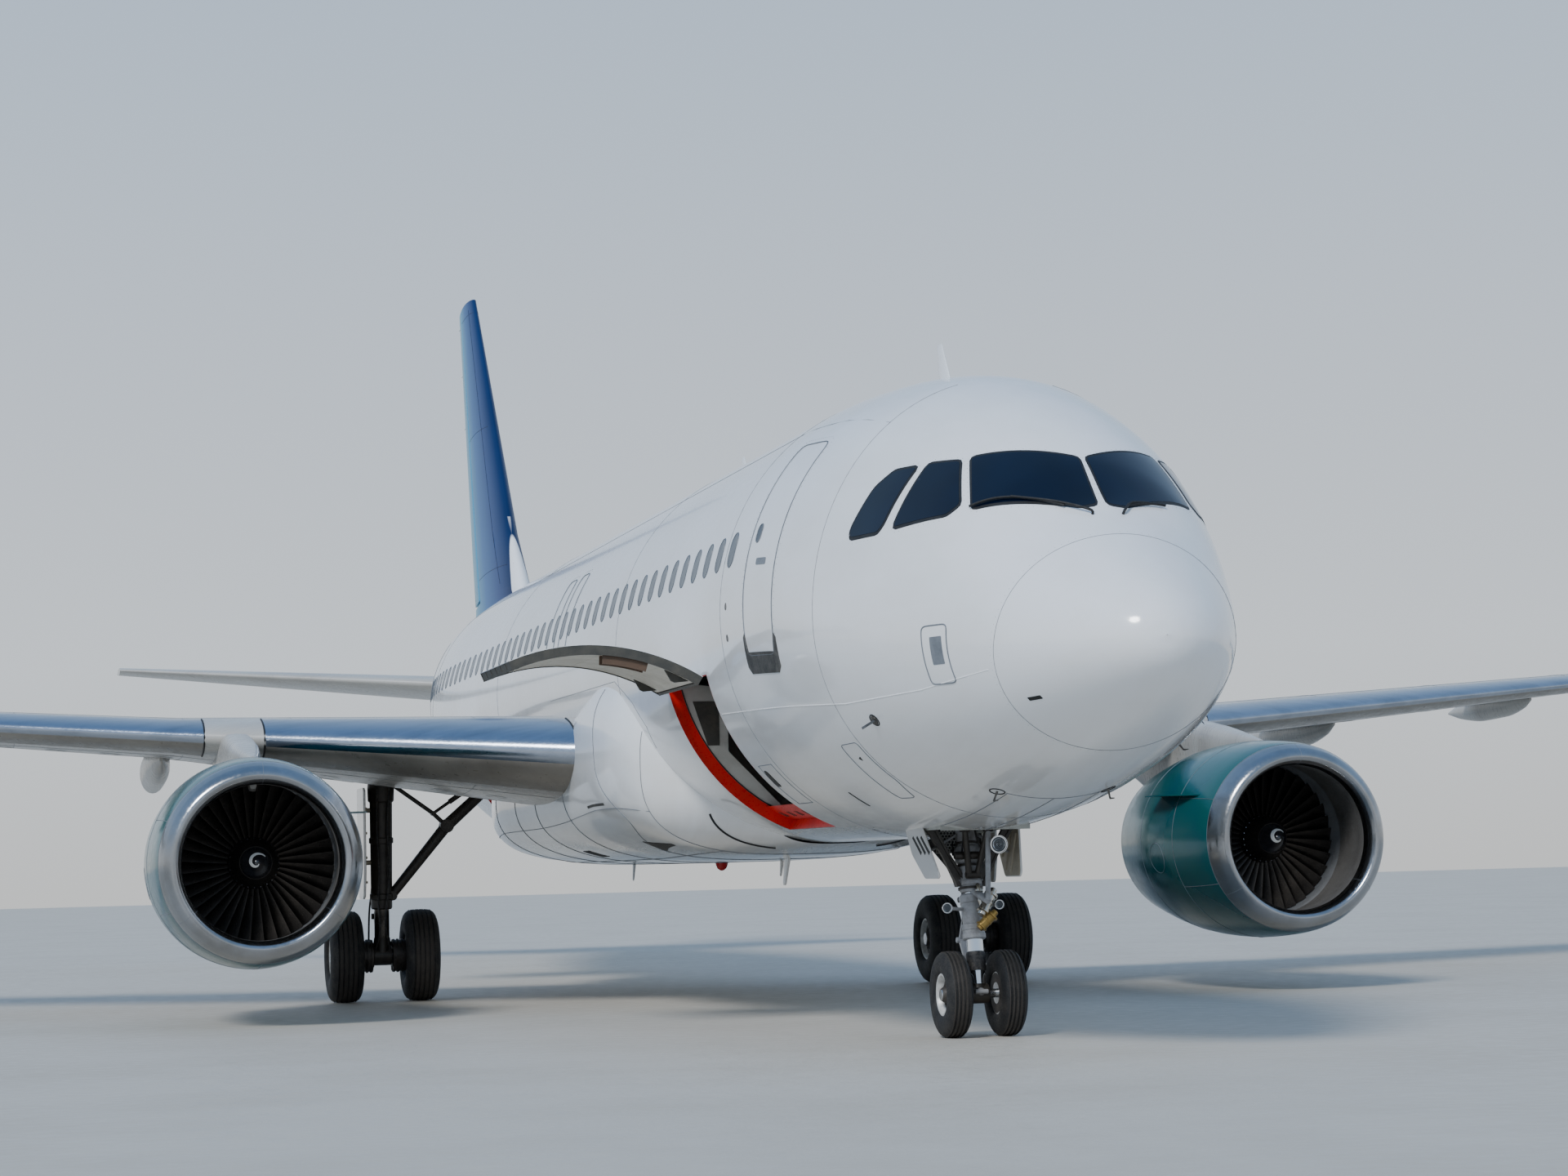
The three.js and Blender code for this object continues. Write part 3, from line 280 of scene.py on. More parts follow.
# Tail cone outlet: the auxiliary turbine's exhaust, a heat-darkened steel pipe in the cone's end.
# Its rolled lip is riveted to the last frame, and the pipe runs forward to a closed bulkhead.
dark_steel = weathered("heat_stained_steel", "#4A4643", "#6E5B49", 0.45, 0.9, grain=6, amount=0.8)


def rings(loops, cap_start=False, cap_end=False):
    """A skin through loops of equal count, with flat ends where asked."""
    count = len(loops[0])
    faces = grid_faces(len(loops), count)
    if cap_start:
        faces.append(list(range(count))[::-1])
    if cap_end:
        faces.append([(len(loops) - 1) * count + k for k in range(count)])
    return np.concatenate([np.asarray(loop, float) for loop in loops]), faces


def circle(centre, axis, radius, sides=48):
    """A circle's points round an axis."""
    axis = Vector(axis).normalized()
    side = axis.orthogonal().normalized()
    side, other = np.array(side), np.array(axis.cross(side))
    a = np.arange(sides) * 2 * pi / sides
    return np.array(centre) + radius * (np.cos(a)[:, None] * side + np.sin(a)[:, None] * other)


around = np.arange(48) * 2 * pi / 48
tip = LENGTH - MID
pipe = [[(r * sin(a), tip + back, 4.905 + r * cos(a)) for a in around]
        for r, back in ((0.2, 0.0), (0.185, 0.012), (0.17, 0.0), (0.165, -0.25), (0.16, -0.55))]
add_piece("tail_cone_outlet", [rings([skin(LENGTH, around), pipe[0]]), rings(pipe, cap_end=True)],
          dark_steel, closed=False)

# Cockpit glazing: six laminated glass panes, each clamped in a black rubber seal that stands a few
# millimetres off the skin. Nothing shows behind the glass: its near-black colour, drifting towards a dark
# blue, is painted shade for the cockpit behind it.
glass, tree, shader = new_finish("cockpit_glass_dark_as_painted_shade", "#03060C", 0.04, IOR=1.45,
                                 Specular_IOR_Level=0.35)
where = add_node(tree, "ShaderNodeTexCoord").outputs["Object"]
film = add_node(tree, "ShaderNodeTexNoise", {"Vector": where, "Scale": 1.4, "Detail": 2.0})
tint = add_node(tree, "ShaderNodeMix", {"Factor": film.outputs[0], 6: linear("#02040A"),
                                        7: linear("#081830")}, data_type="RGBA")
tree.links.new(tint.outputs[2], shader.inputs["Base Color"])
rubber = weathered("black_seal_rubber", "#101113", "#2A2A2A", 0.6, grain=8)


def rounded(corners, radius, steps=5):
    """A closed outline in two dimensions with each corner turned on a curve."""
    made = []
    for i, corner in enumerate(corners):
        b = np.array(corner, float)
        a, c = np.array(corners[i - 1], float), np.array(corners[(i + 1) % len(corners)], float)
        before, after = np.linalg.norm(a - b), np.linalg.norm(c - b)
        p = b + (a - b) * min(radius, before * 0.45) / before
        q = b + (c - b) * min(radius, after * 0.45) / after
        for t in np.linspace(0, 1, steps):
            made.append((1 - t) ** 2 * p + 2 * t * (1 - t) * b + t * t * q)
    return np.array(made)


def patch(outline, place, top, bottom, step=0.05):
    """A thin plate over a curved surface: place(a, b, grow) maps the flat outline to it."""
    outline = np.array(outline, float)
    fine = []
    for p, q in zip(outline, np.roll(outline, -1, 0)):
        n = max(int(np.linalg.norm(q - p) / step), 1)
        fine += [p + (q - p) * k / n for k in range(n)]
    count = len(fine)
    low, high = outline.min(0), outline.max(0)
    inner = [Vector((a, b)) for a in np.arange(low[0] + step / 2, high[0], step)
             for b in np.arange(low[1] + step / 2, high[1], step)]
    flat = [Vector(p) for p in fine] + inner
    made = delaunay_2d_cdt(flat, [], [list(range(count))], 1, step / 50)
    a, b = np.array([tuple(v) for v in made[0]]).T
    upper = place(a, b, top)
    lower = place(a, b, bottom)
    n = len(a)
    faces = [list(f) for f in made[2]]
    border = {}
    for f in faces:
        for i, j in zip(f, f[1:] + f[:1]):
            border[(i, j)] = border.get((i, j), 0) + 1
    rim = [(i, j) for i, j in border if (j, i) not in border]
    return (np.concatenate([upper, lower]),
            faces + [[k + n for k in f[::-1]] for f in faces] + [[j, i, i + n, j + n] for i, j in rim])


def section_shares(points, margin=0.0):
    """How far across and up in their station's section points lie, as shares of its reach."""
    x, y, z = np.moveaxis(np.asarray(points, float), -1, 0)
    top, waist, bottom, half = np.moveaxis(along(HULL, y + MID), -1, 0)[1:]
    reach = np.where(z > waist, top - waist, waist - bottom) - margin
    return x / (half - margin), (z - waist) / reach


def inside_hull(points, margin=0.0):
    """Whether points lie inside the skin by a margin."""
    across, up = section_shares(points, margin)
    return across**2 + up**2 < 1


def near_skin(points):
    """The station and angle of points near the skin."""
    return np.asarray(points, float)[..., 1] + MID, np.arctan2(*section_shares(points))


def onto_skin(points, direction):
    """Points moved along a direction until they lie on the skin."""
    near, far = np.full(len(points), -0.3), np.full(len(points), 0.5)
    for _ in range(26):
        middle = (near + far) / 2
        inside = inside_hull(points + middle[:, None] * direction)
        near, far = np.where(inside, middle, near), np.where(inside, far, middle)
    return points + near[:, None] * direction


PANE_CORNER = 0.035  # metres cut off each side of a pane's corner
PANE_GIRTH = 1.45  # metres of girth to a radian of turn at the panes


def pane_outline(corners):
    """A flat pane's outline on the skin, as station and girth, with small round corners."""
    spots = np.array([skin(s, radians(a)) for s, a in corners])
    spread = spots - spots.mean(0)
    normal = np.linalg.svd(spread)[2][2]
    normal *= np.sign(normal @ (spots.mean(0) - np.array([0, spots[:, 1].mean() + 1.5, 3.4])))
    edge = []
    def cut(start, end):
        """A point a corner's cut away from the start."""
        return start + (end - start) * PANE_CORNER / np.linalg.norm(end - start)
    for before, corner, after in zip(np.roll(spots, 1, 0), spots, np.roll(spots, -1, 0)):
        p, q, far = cut(corner, before), cut(corner, after), cut(after, corner)
        edge += [p, (p + q + 2 * corner) / 4, q]
        edge += [q + (far - q) * t for t in np.linspace(0, 1, 12)[1:-1]]
    s, a = near_skin(onto_skin(np.array(edge), normal))
    return np.stack([s, a * PANE_GIRTH], 1)


GIRTH = 1.9  # metres of girth to a radian of turn over most of the skin


def skin_place(side=1, radius=GIRTH):
    """Maps station and girth, metres round the skin from the crown, to the skin."""
    return lambda a, b, grow: skin(a, side * b / radius, grow)


# The corners of the panes on one side: station, degrees from the crown
PANES = [
    [[1.345, 2.6], [1.335, 10], [1.85, 46], [2.266, 33.5], [1.794, 1.6]],
    [[1.994, 47.8], [2.06, 53], [2.63, 63.2], [2.637, 43], [2.34, 36.8]],
    [[2.79, 63.2], [2.835, 65.9], [3.235, 69.2], [3.262, 67.6], [3.156, 55.4], [3.015, 49.2],
     [2.752, 45.4]],
]


def offset(outline, distance):
    """A closed outline moved outwards by a distance."""
    before, after = np.roll(outline, 1, 0), np.roll(outline, -1, 0)
    run = after - before
    run /= np.linalg.norm(run, axis=1)[:, None]
    turn = np.sign(np.sum(outline[:, 0] * after[:, 1] - after[:, 0] * outline[:, 1]))
    return outline + distance * turn * np.stack([run[:, 1], -run[:, 0]], 1)


panes, seals = [], []
for side in (-1, 1):
    for corners in PANES:
        pane = pane_outline(corners)
        place = skin_place(side, PANE_GIRTH)
        seals.append(patch(offset(pane, 0.024), place, 0.0035, -0.01))
        panes.append(patch(pane, place, 0.006, 0.001))
add_piece("cockpit_panes", panes, glass, nodes=["cockpit_glazing"])
add_piece("cockpit_pane_seals", seals, rubber)

# Panel joints: butt joints between skin panels, the edges of doors and hatches, and the radome's rim.
# They are hair-wide gaps filled with grey sealant; drawn here as a bead a few millimetres across.
sealant = weathered("grey_joint_sealant", "#757B82", "#4B5056", 0.6, grain=3, amount=0.9)


def new_tree(name, **sockets):
    """A geometry tree with named inputs: numbers, vectors and, for None, a material."""
    made = bpy.data.node_groups.new(name, "GeometryNodeTree")
    kinds = {float: "Float", int: "Int", tuple: "Vector", type(None): "Material"}
    made.interface.new_socket("Geometry", in_out="INPUT", socket_type="NodeSocketGeometry")
    for label, value in sockets.items():
        socket = made.interface.new_socket(label, in_out="INPUT",
                                           socket_type="NodeSocket" + kinds[type(value)])
        if value is not None:
            socket.default_value = value
    made.interface.new_socket("Geometry", in_out="OUTPUT", socket_type="NodeSocketGeometry")
    return made, add_node(made, "NodeGroupInput")


def end_tree(tree, shape, finish):
    """Realises a tree's result, gives it its finish and hands it out."""
    real = add_node(tree, "GeometryNodeRealizeInstances", {0: shape.outputs[0]})
    painted = add_node(tree, "GeometryNodeSetMaterial", {"Geometry": real.outputs[0], "Material": finish})
    add_node(tree, "NodeGroupOutput", {0: painted.outputs[0]})


lines, given = new_tree("bead along a line", Width=0.006, Finish=None)
curve = add_node(lines, "GeometryNodeMeshToCurve", {0: given.outputs["Geometry"]})
half = add_node(lines, "ShaderNodeMath", {0: given.outputs["Width"], 1: 0.5}, operation="MULTIPLY")
section = add_node(lines, "GeometryNodeCurvePrimitiveCircle", {"Resolution": 6, "Radius": half.outputs[0]})
tube = add_node(lines, "GeometryNodeCurveToMesh",
                {"Curve": curve.outputs[0], "Profile Curve": section.outputs[0], "Fill Caps": True})
end_tree(lines, tube, given.outputs["Finish"])


def run_tree(name, tree, source, values, body="airframe", nodes=(), slot=None, angle=40):
    """Runs a geometry tree on a mesh and keeps the result as a plain piece on a body."""
    made = linked(name, source)
    modifier = made.modifiers.new("made", "NODES")
    modifier.node_group = tree
    for item in tree.interface.items_tree:
        if item.in_out == "INPUT" and item.name in values:
            modifier[item.identifier] = values[item.name]
    graph = bpy.context.evaluated_depsgraph_get()
    mesh = bpy.data.meshes.new_from_object(made.evaluated_get(graph), depsgraph=graph)
    made.modifiers.clear()
    made.data = mesh
    mesh.name = name
    settle(made, body, nodes, angle)


def drawn(name, tree, paths, finish, **sizes):
    """Runs a tree of beads, hoses or rivets along open lines, each a list of points."""
    points, pairs = [], []
    for path in paths:
        start = len(points)
        points += [tuple(p) for p in path]
        pairs += [(start + k, start + k + 1) for k in range(len(path) - 1)]
    mesh = bpy.data.meshes.new("lines")
    mesh.from_pydata(points, pairs, [])
    run_tree(name, tree, mesh, {**sizes, "Finish": finish})


def on_skin(corners, step=0.12, closed=False):
    """A line over the skin through (station, degrees) points; degrees go to port."""
    corners = [np.array(c, float) for c in corners] + ([np.array(corners[0], float)] if closed else [])
    made = []
    for p, q in zip(corners, corners[1:]):
        length = math.hypot(q[0] - p[0], radians(q[1] - p[1]) * GIRTH)
        n = max(int(length / step), 1)
        made += [p + (q - p) * k / n for k in range(n)]
    made = np.array(made + [corners[-1]])
    return skin(made[:, 0], np.radians(made[:, 1]), 0.0005)


HOLD_STATION = 8.0  # the section that both holds are measured on


def frame_angle(z, station=HOLD_STATION):
    """Degrees from the crown at a height on a station's section."""
    top, waist, bottom = along(HULL, station)[1:4]
    rise = (z - waist) / ((top - waist) if z > waist else (waist - bottom))
    return math.degrees(math.acos(max(-1, min(1, rise))))


def girth(z, station):
    """Metres round the skin from the crown at a height."""
    return radians(frame_angle(z, station)) * GIRTH


radome_rim = [(0.93 + 0.4 * (1 - cos(radians(a))) / 2, a) for a in range(0, 361, 5)]
joints, laps = [on_skin(radome_rim)], []
for s in (3.745, 6.35, 11.5, 19.9, 27.5, 31.9, 36.3):
    joints.append(on_skin([(s, 14), (s, 346)]))
for way in (-1, 1):
    joints.append(on_skin([(3.745, way * 36), (30.5, way * 40)], 0.5))
    for lap in ([(1.27, 3.02), (2.2, 2.92), (3.53, 2.883), (6.0, 2.957), (7.15, 2.98)],
                [(23.75, 3.15), (27.0, 3.4), (30.5, 3.9)]):
        laps.append(on_skin([(s, way * frame_angle(z, s)) for s, z in lap], 0.3))
    # The fairing's upper edge where it is screwed to the flank
    edge = [(10.72, 2.8), (10.7, 3.03), (10.83, 3.15), (11.0, 3.3), (11.3, 3.42), (11.7, 3.56),
            (15.8, 3.57)]
    joints.append(on_skin([(s, way * frame_angle(z, s)) for s, z in edge], 0.1))
drawn("skin_joints", lines, joints, sealant, Width=0.005)
# The long laps are drawn as white beads: a painted highlight where light catches each lap's edge
lap_painted_highlight = weathered("white_lap_painted_highlight", "#FFFFFF", "#E6E6E2", 0.3, grain=3)
drawn("skin_lap_painted_highlights", lines, laps, lap_painted_highlight, Width=0.008)

# Cabin doors, overwing exits and the bulk hatch: plug doors with an outline gap, a small round or
# oval window, a flush handle in a dark recess and, at the front, a grey scuff plate over the sill.
# name, station, width, sill, top; each is on both sides but the bulk hatch
CABIN_DOORS = [[5.08, 0.84, 3.4, 5.28], [30.1, 0.8, 3.42, 5.25]]
OVERWING = [[15.02, 0.52, 4.02, 5.02], [15.87, 0.52, 4.02, 5.02]]


def door_outline(station, width, low, high, side, radius=0.13):
    """A door's outline on a side of the skin, as station and degrees."""
    flat = [(station + way * width / 2, girth(z, station))
            for way, z in ((-1, low), (-1, high), (1, high), (1, low))]
    return [(s, side * math.degrees(g / GIRTH)) for s, g in rounded(flat, radius)]


outlines = [on_skin(door_outline(*row, side), 0.1, True)
            for row in CABIN_DOORS + OVERWING for side in (-1, 1)]
outlines.append(on_skin(door_outline(26.1, 0.8, 2.62, 3.4, -1), 0.1, True))
drawn("cabin_door_gaps", lines, outlines, sealant, Width=0.013)
scuff_steel = weathered("scuffed_stainless_sill_plate", "#54524F", "#86837D", 0.4, 0.85, grain=9,
                        amount=0.9)
sills, handles = [], []
for station, width, low, high in CABIN_DOORS:
    for side in (-1, 1):
        place = skin_place(side)
        half = width / 2 + 0.05
        flat = [(station + way * half - way * inset, girth(low + rise, station)) for way, inset, rise in
                ((-1, 0, -0.1), (-1, 0, 0.16), (-1, 0.05, 0.2), (-1, 0.1, 0.03), (1, 0.1, 0.03),
                 (1, 0.05, 0.2), (1, 0, 0.16), (1, 0, -0.1), (1, 0.08, -0.16), (-1, 0.08, -0.16))]
        sills.append(patch(flat, place, 0.006, -0.004, 0.04))
        flat = [(station + s, girth(z, station))
                for s, z in ((-0.16, 4.26), (0.12, 4.26), (0.12, 4.2), (-0.16, 4.2))]
        handles.append(patch(rounded(flat, 0.02), place, 0.004, -0.004, 0.04))
add_piece("door_sill_plates", sills, scuff_steel)
add_piece("door_handles", handles, sealant)

# Cabin windows: stretched acrylic panes behind oval openings, each in a thin dark seal; the panes are
# coloured dark as painted shade for the cabin behind them.
# They follow the frame pitch of 533 mm and leave out the door zones.
acrylic = weathered("acrylic_window_dark_as_painted_shade", "#1E2B38", "#33434F", 0.12, grain=2, amount=0.8,
                    bump=0.0001, Specular_IOR_Level=0.25)
alloy_ring = weathered("dark_window_seal", "#4A525B", "#6A7178", 0.4, grain=6)
# Each window is bent to the skin's radius before it is set on its point.
ovals, given = new_tree("window on each point", Width=0.225, Height=0.33, Rim=0.006, Radius=1.975,
                        Glass=None, Ring=None)
oblong = add_node(ovals, "GeometryNodeCurvePrimitiveQuadrilateral",
                  {"Width": given.outputs["Width"], "Height": given.outputs["Height"]})
corner = add_node(ovals, "ShaderNodeMath", {0: given.outputs["Width"], 1: 0.49}, operation="MULTIPLY")
oval = add_node(ovals, "GeometryNodeFilletCurve",
                {"Curve": oblong.outputs[0], "Count": 6, "Radius": corner.outputs[0],
                 "Limit Radius": True}, mode="POLY")
rim = add_node(ovals, "GeometryNodeCurvePrimitiveCircle",
               {"Resolution": 6, "Radius": given.outputs["Rim"]})
ring = add_node(ovals, "GeometryNodeCurveToMesh",
                {"Curve": oval.outputs[0], "Profile Curve": rim.outputs[0]})
ring = add_node(ovals, "GeometryNodeSetMaterial",
                {"Geometry": ring.outputs[0], "Material": given.outputs["Ring"]})
pane = add_node(ovals, "GeometryNodeFillCurve", {"Curve": oval.outputs[0]}, mode="NGONS")
pane = add_node(ovals, "GeometryNodeSubdivideMesh", {"Mesh": pane.outputs[0], "Level": 1})
pane = add_node(ovals, "GeometryNodeTransform",
                {"Geometry": pane.outputs[0], "Translation": (0, 0, 0.003)})
pane = add_node(ovals, "GeometryNodeSetMaterial",
                {"Geometry": pane.outputs[0], "Material": given.outputs["Glass"]})
both = add_node(ovals, "GeometryNodeJoinGeometry")
ovals.links.new(ring.outputs[0], both.inputs[0])
ovals.links.new(pane.outputs[0], both.inputs[0])
place = add_node(ovals, "GeometryNodeInputPosition")
spot = add_node(ovals, "ShaderNodeSeparateXYZ", {0: place.outputs[0]})
square = add_node(ovals, "ShaderNodeMath", {0: spot.outputs[1], 1: spot.outputs[1]}, operation="MULTIPLY")
sag = add_node(ovals, "ShaderNodeMath", {0: square.outputs[0], 1: given.outputs["Radius"]},
               operation="DIVIDE")
fall = add_node(ovals, "ShaderNodeMath", {0: sag.outputs[0], 1: -0.5}, operation="MULTIPLY")
drop = add_node(ovals, "ShaderNodeCombineXYZ", {2: fall.outputs[0]})
both = add_node(ovals, "GeometryNodeSetPosition", {"Geometry": both.outputs[0], "Offset": drop.outputs[0]})
outward = add_node(ovals, "GeometryNodeInputNamedAttribute", {"Name": "outward"},
                   data_type="FLOAT_VECTOR")
facing = add_node(ovals, "FunctionNodeAlignRotationToVector", {"Vector": outward.outputs[0]}, axis="Z")
level = add_node(ovals, "FunctionNodeAlignRotationToVector",
                 {"Rotation": facing.outputs[0], "Vector": (0, 1, 0)}, axis="X", pivot_axis="Z")
placed = add_node(ovals, "GeometryNodeInstanceOnPoints",
                  {"Points": given.outputs["Geometry"], "Instance": both.outputs[0],
                   "Rotation": level.outputs[0]})
real = add_node(ovals, "GeometryNodeRealizeInstances", {0: placed.outputs[0]})
add_node(ovals, "NodeGroupOutput", {0: real.outputs[0]})


def point_mesh(points, outward):
    """Loose points that carry the direction each one faces."""
    mesh = bpy.data.meshes.new("points")
    mesh.from_pydata([tuple(p) for p in points], [], [])
    layer = mesh.attributes.new("outward", "FLOAT_VECTOR", "POINT")
    layer.data.foreach_set("vector", np.asarray(outward, float).ravel())
    return mesh


def facing_out(station, degrees):
    """The skin's outward direction at a point."""
    s, a, e = station, radians(degrees), 1e-3
    across = skin(s, a + e) - skin(s, a - e)
    aft = skin(min(s + e, LENGTH), a) - skin(s - e, a)
    out = np.cross(across, aft)
    return out / np.linalg.norm(out)


WINDOW_PITCH, WINDOW_Z = 0.533, 4.43
door_sizes = {"Width": 0.13, "Height": 0.17, "Rim": 0.008}
for name, places, z, ring_finish, sizes in (
        ("cabin_windows", np.arange(6.12, 29.4, WINDOW_PITCH), WINDOW_Z, alloy_ring, {}),
        ("door_windows", (5.3, 30.1), 4.5, sealant, door_sizes)):
    spots = [(s, side * frame_angle(z, s)) for s in places for side in (-1, 1)]
    mesh = point_mesh([skin(s, radians(a)) for s, a in spots], [facing_out(s, a) for s, a in spots])
    run_tree(name, ovals, mesh, {"Glass": acrylic, "Ring": ring_finish, **sizes})

# Holds: grey glass-fibre liners inside the two open doorways, an alloy floor with ball mats and
# roller tracks, and a jamb painted signal red all round the opening, where the door's edge lands.
liner = weathered("glass_fibre_hold_liner", "#B9BAB4", "#8C8A82", 0.55, grain=3, amount=0.7)
hold_floor = weathered("scuffed_alloy_floor", "#8E9297", "#5E6165", 0.38, 0.8, grain=5, amount=0.9)
red_paint = weathered("signal_red_primer", "#D4180F", "#A31409", 0.32, grain=4, amount=0.5)
frame_grey = weathered("dark_grey_primer", "#3A3A36", "#565248", 0.5, grain=7, amount=0.8)
HINGE_X, HINGE_Z = -1.93247, 3.34669
HOLD_HALF, CEILING_Z = 1.31, 3.33  # the liner's half width and roof
FLOOR_HALF, FLOOR_Z = 0.71, 2.08  # the same of the floor between the liner's sloping sides
SHEET = 0.02  # the liner's thickness


def wall(z, depth):
    """x and z of the starboard wall at a height and a depth under the skin."""
    p = skin(HOLD_STATION, radians(-frame_angle(z)), -depth)
    return float(p[0]), float(p[2])


def band(heights, near, far):
    """The (x, z) outline of a band of the wall between two depths."""
    return [wall(z, near) for z in heights] + [wall(z, far) for z in heights[::-1]]


def slab(outline, y0, y1):
    """A prism of an (x, z) outline between two y values."""
    return rings([[(x, y, z) for x, z in outline] for y in (y0, y1)], True, True)


def box(low, high):
    """A plain block between two corners."""
    (x0, y0, z0), (x1, y1, z1) = low, high
    return slab([(x0, z0), (x1, z0), (x1, z1), (x0, z1)], y0, y1)


for (name, station), front, rear in zip(HOLD_DOORS.items(), (7.15, 20.4), (11.2, 24.1)):
    side_name = name.split("_")[0]
    y0, y1 = front - MID, rear - MID
    d0, d1 = (station + way * DOORWAY_HALF - MID for way in (-1, 1))
    port = [(FLOOR_HALF, FLOOR_Z), (HOLD_HALF, 2.7), (HOLD_HALF, CEILING_Z),
            (HOLD_HALF + SHEET, CEILING_Z), (HOLD_HALF + SHEET, 2.69), (0.72, FLOOR_Z - SHEET)]
    walls = [slab(port, y0, y1),
             box((-HOLD_HALF, y0, CEILING_Z), (HOLD_HALF, y1, CEILING_Z + SHEET))]
    end = [(-0.72, 2.06), (0.72, 2.06), (HOLD_HALF, 2.69), (HOLD_HALF, 3.35), (-HOLD_HALF, 3.35),
           (-HOLD_HALF, 2.69)]
    walls += [slab(end, y, y + SHEET) for y in (y0 - SHEET, y1)]
    starboard = [(-x, z) for x, z in port]
    walls += [slab(starboard, a, b) for a, b in ((y0, d0), (d1, y1)) if b - a > 0.02]
    # Upright ribs stiffen the liner every 0.53 m
    walls += [box((1.28, y, 2.7), (HOLD_HALF, y + 0.05, CEILING_Z))
              for y in np.arange(y0 + 0.25, y1, 0.533)]
    add_piece(f"{side_name}_hold_liner", walls, liner)
    floor = [box((-FLOOR_HALF, y0, 2.06), (FLOOR_HALF, y1, FLOOR_Z))]
    floor += [box((x - 0.03, y0 + 0.05, FLOOR_Z), (x + 0.03, y1 - 0.05, FLOOR_Z + 0.008))
              for x in (-0.5, 0, 0.5)]
    sill = [(-FLOOR_HALF, 2.075), wall(2.05, 0.104), wall(1.98, 0.104), wall(1.91, 0.104),
            wall(1.91, 0.112), wall(1.98, 0.112), (-FLOOR_HALF, 2.05)]
    add_piece(f"{side_name}_hold_floor", floor, hold_floor)
    # The jamb: a broad red flange round the opening and its sill, with a rubber seal behind it
    low, high = 1.905, 3.36
    heights = np.linspace(low, high, 16)
    jamb, seal, frames, panels = [slab(sill, d0, d1)], [], [], []
    for at, way in ((d0, -1), (d1, 1)):
        jamb.append(slab(band(heights, 0.0, 0.13), at, at - way * 0.004))
        seal.append([(x, at - way * 0.008, z) for x, z in (wall(z, 0.132) for z in heights)])
        edge = [wall(z, 0.13) for z in heights if z > 2.06]
        edge += [(-HOLD_HALF, CEILING_Z), (-HOLD_HALF, 2.7), (-FLOOR_HALF, FLOOR_Z)]
        frames.append(slab(edge, at, at - way * 0.003))
        panel = [(-1.665, 3.2), (-1.4, 3.2), (-1.4, 2.76), (-1.52, 2.76)]
        panels.append(slab(panel, at - way * 0.003, at - way * 0.009))
    for z, step in ((low, 0.004), (high, -0.004)):
        (near_x, near_z), (far_x, far_z) = wall(z, 0.0), wall(z, 0.22)
        edge = [(near_x, near_z), (far_x, far_z), (far_x, far_z + step), (near_x, near_z + step)]
        jamb.append(slab(edge, d0, d1))
    add_piece(f"{side_name}_hold_jamb_frames", frames, liner)
    add_piece(f"{side_name}_hold_jamb_panels", panels, frame_grey, angle=50)
    drawn(f"{side_name}_hold_door_seals", lines, seal, rubber, Width=0.014)
    # Latch fittings along the sill, where the door's hooks take hold
    cheek = [wall(1.94, 0.1), wall(1.985, 0.1), wall(1.985, 0.135), wall(1.94, 0.135)]
    fittings = [slab(cheek, y + e, y + e + 0.012)
                for y in np.linspace(d0 + 0.132, d1 - 0.132, 6) for e in (-0.042, 0.03)]
    add_piece(f"{side_name}_hold_latch_fittings", fittings, frame_grey)
    add_piece(f"{side_name}_hold_jamb", jamb, red_paint)

# Hold doors: pressed alloy panels hung on a piano of knuckles at the top edge and swung up 135
# degrees. Outside they are painted as the skin; the edge frame is dark grey with the latch hooks,
# and the inside is an off-white liner over pressed ribs.
door_liner = weathered("off_white_door_liner", "#DAD5C8", "#B0A996", 0.5, grain=3, amount=0.6)
box_brown = weathered("brown_phenolic_board", "#5A4636", "#43352A", 0.55, grain=6, amount=0.6)
swing = Matrix.Rotation(radians(135), 4, "Y")
hinge = Vector((HINGE_X, 0, HINGE_Z))


def swung(shape):
    """A shape made on the closed door, moved to where the open door is."""
    p, f, *index = shape
    return (np.array([hinge + swing @ (Vector(v) - hinge) for v in p]), f, *index)


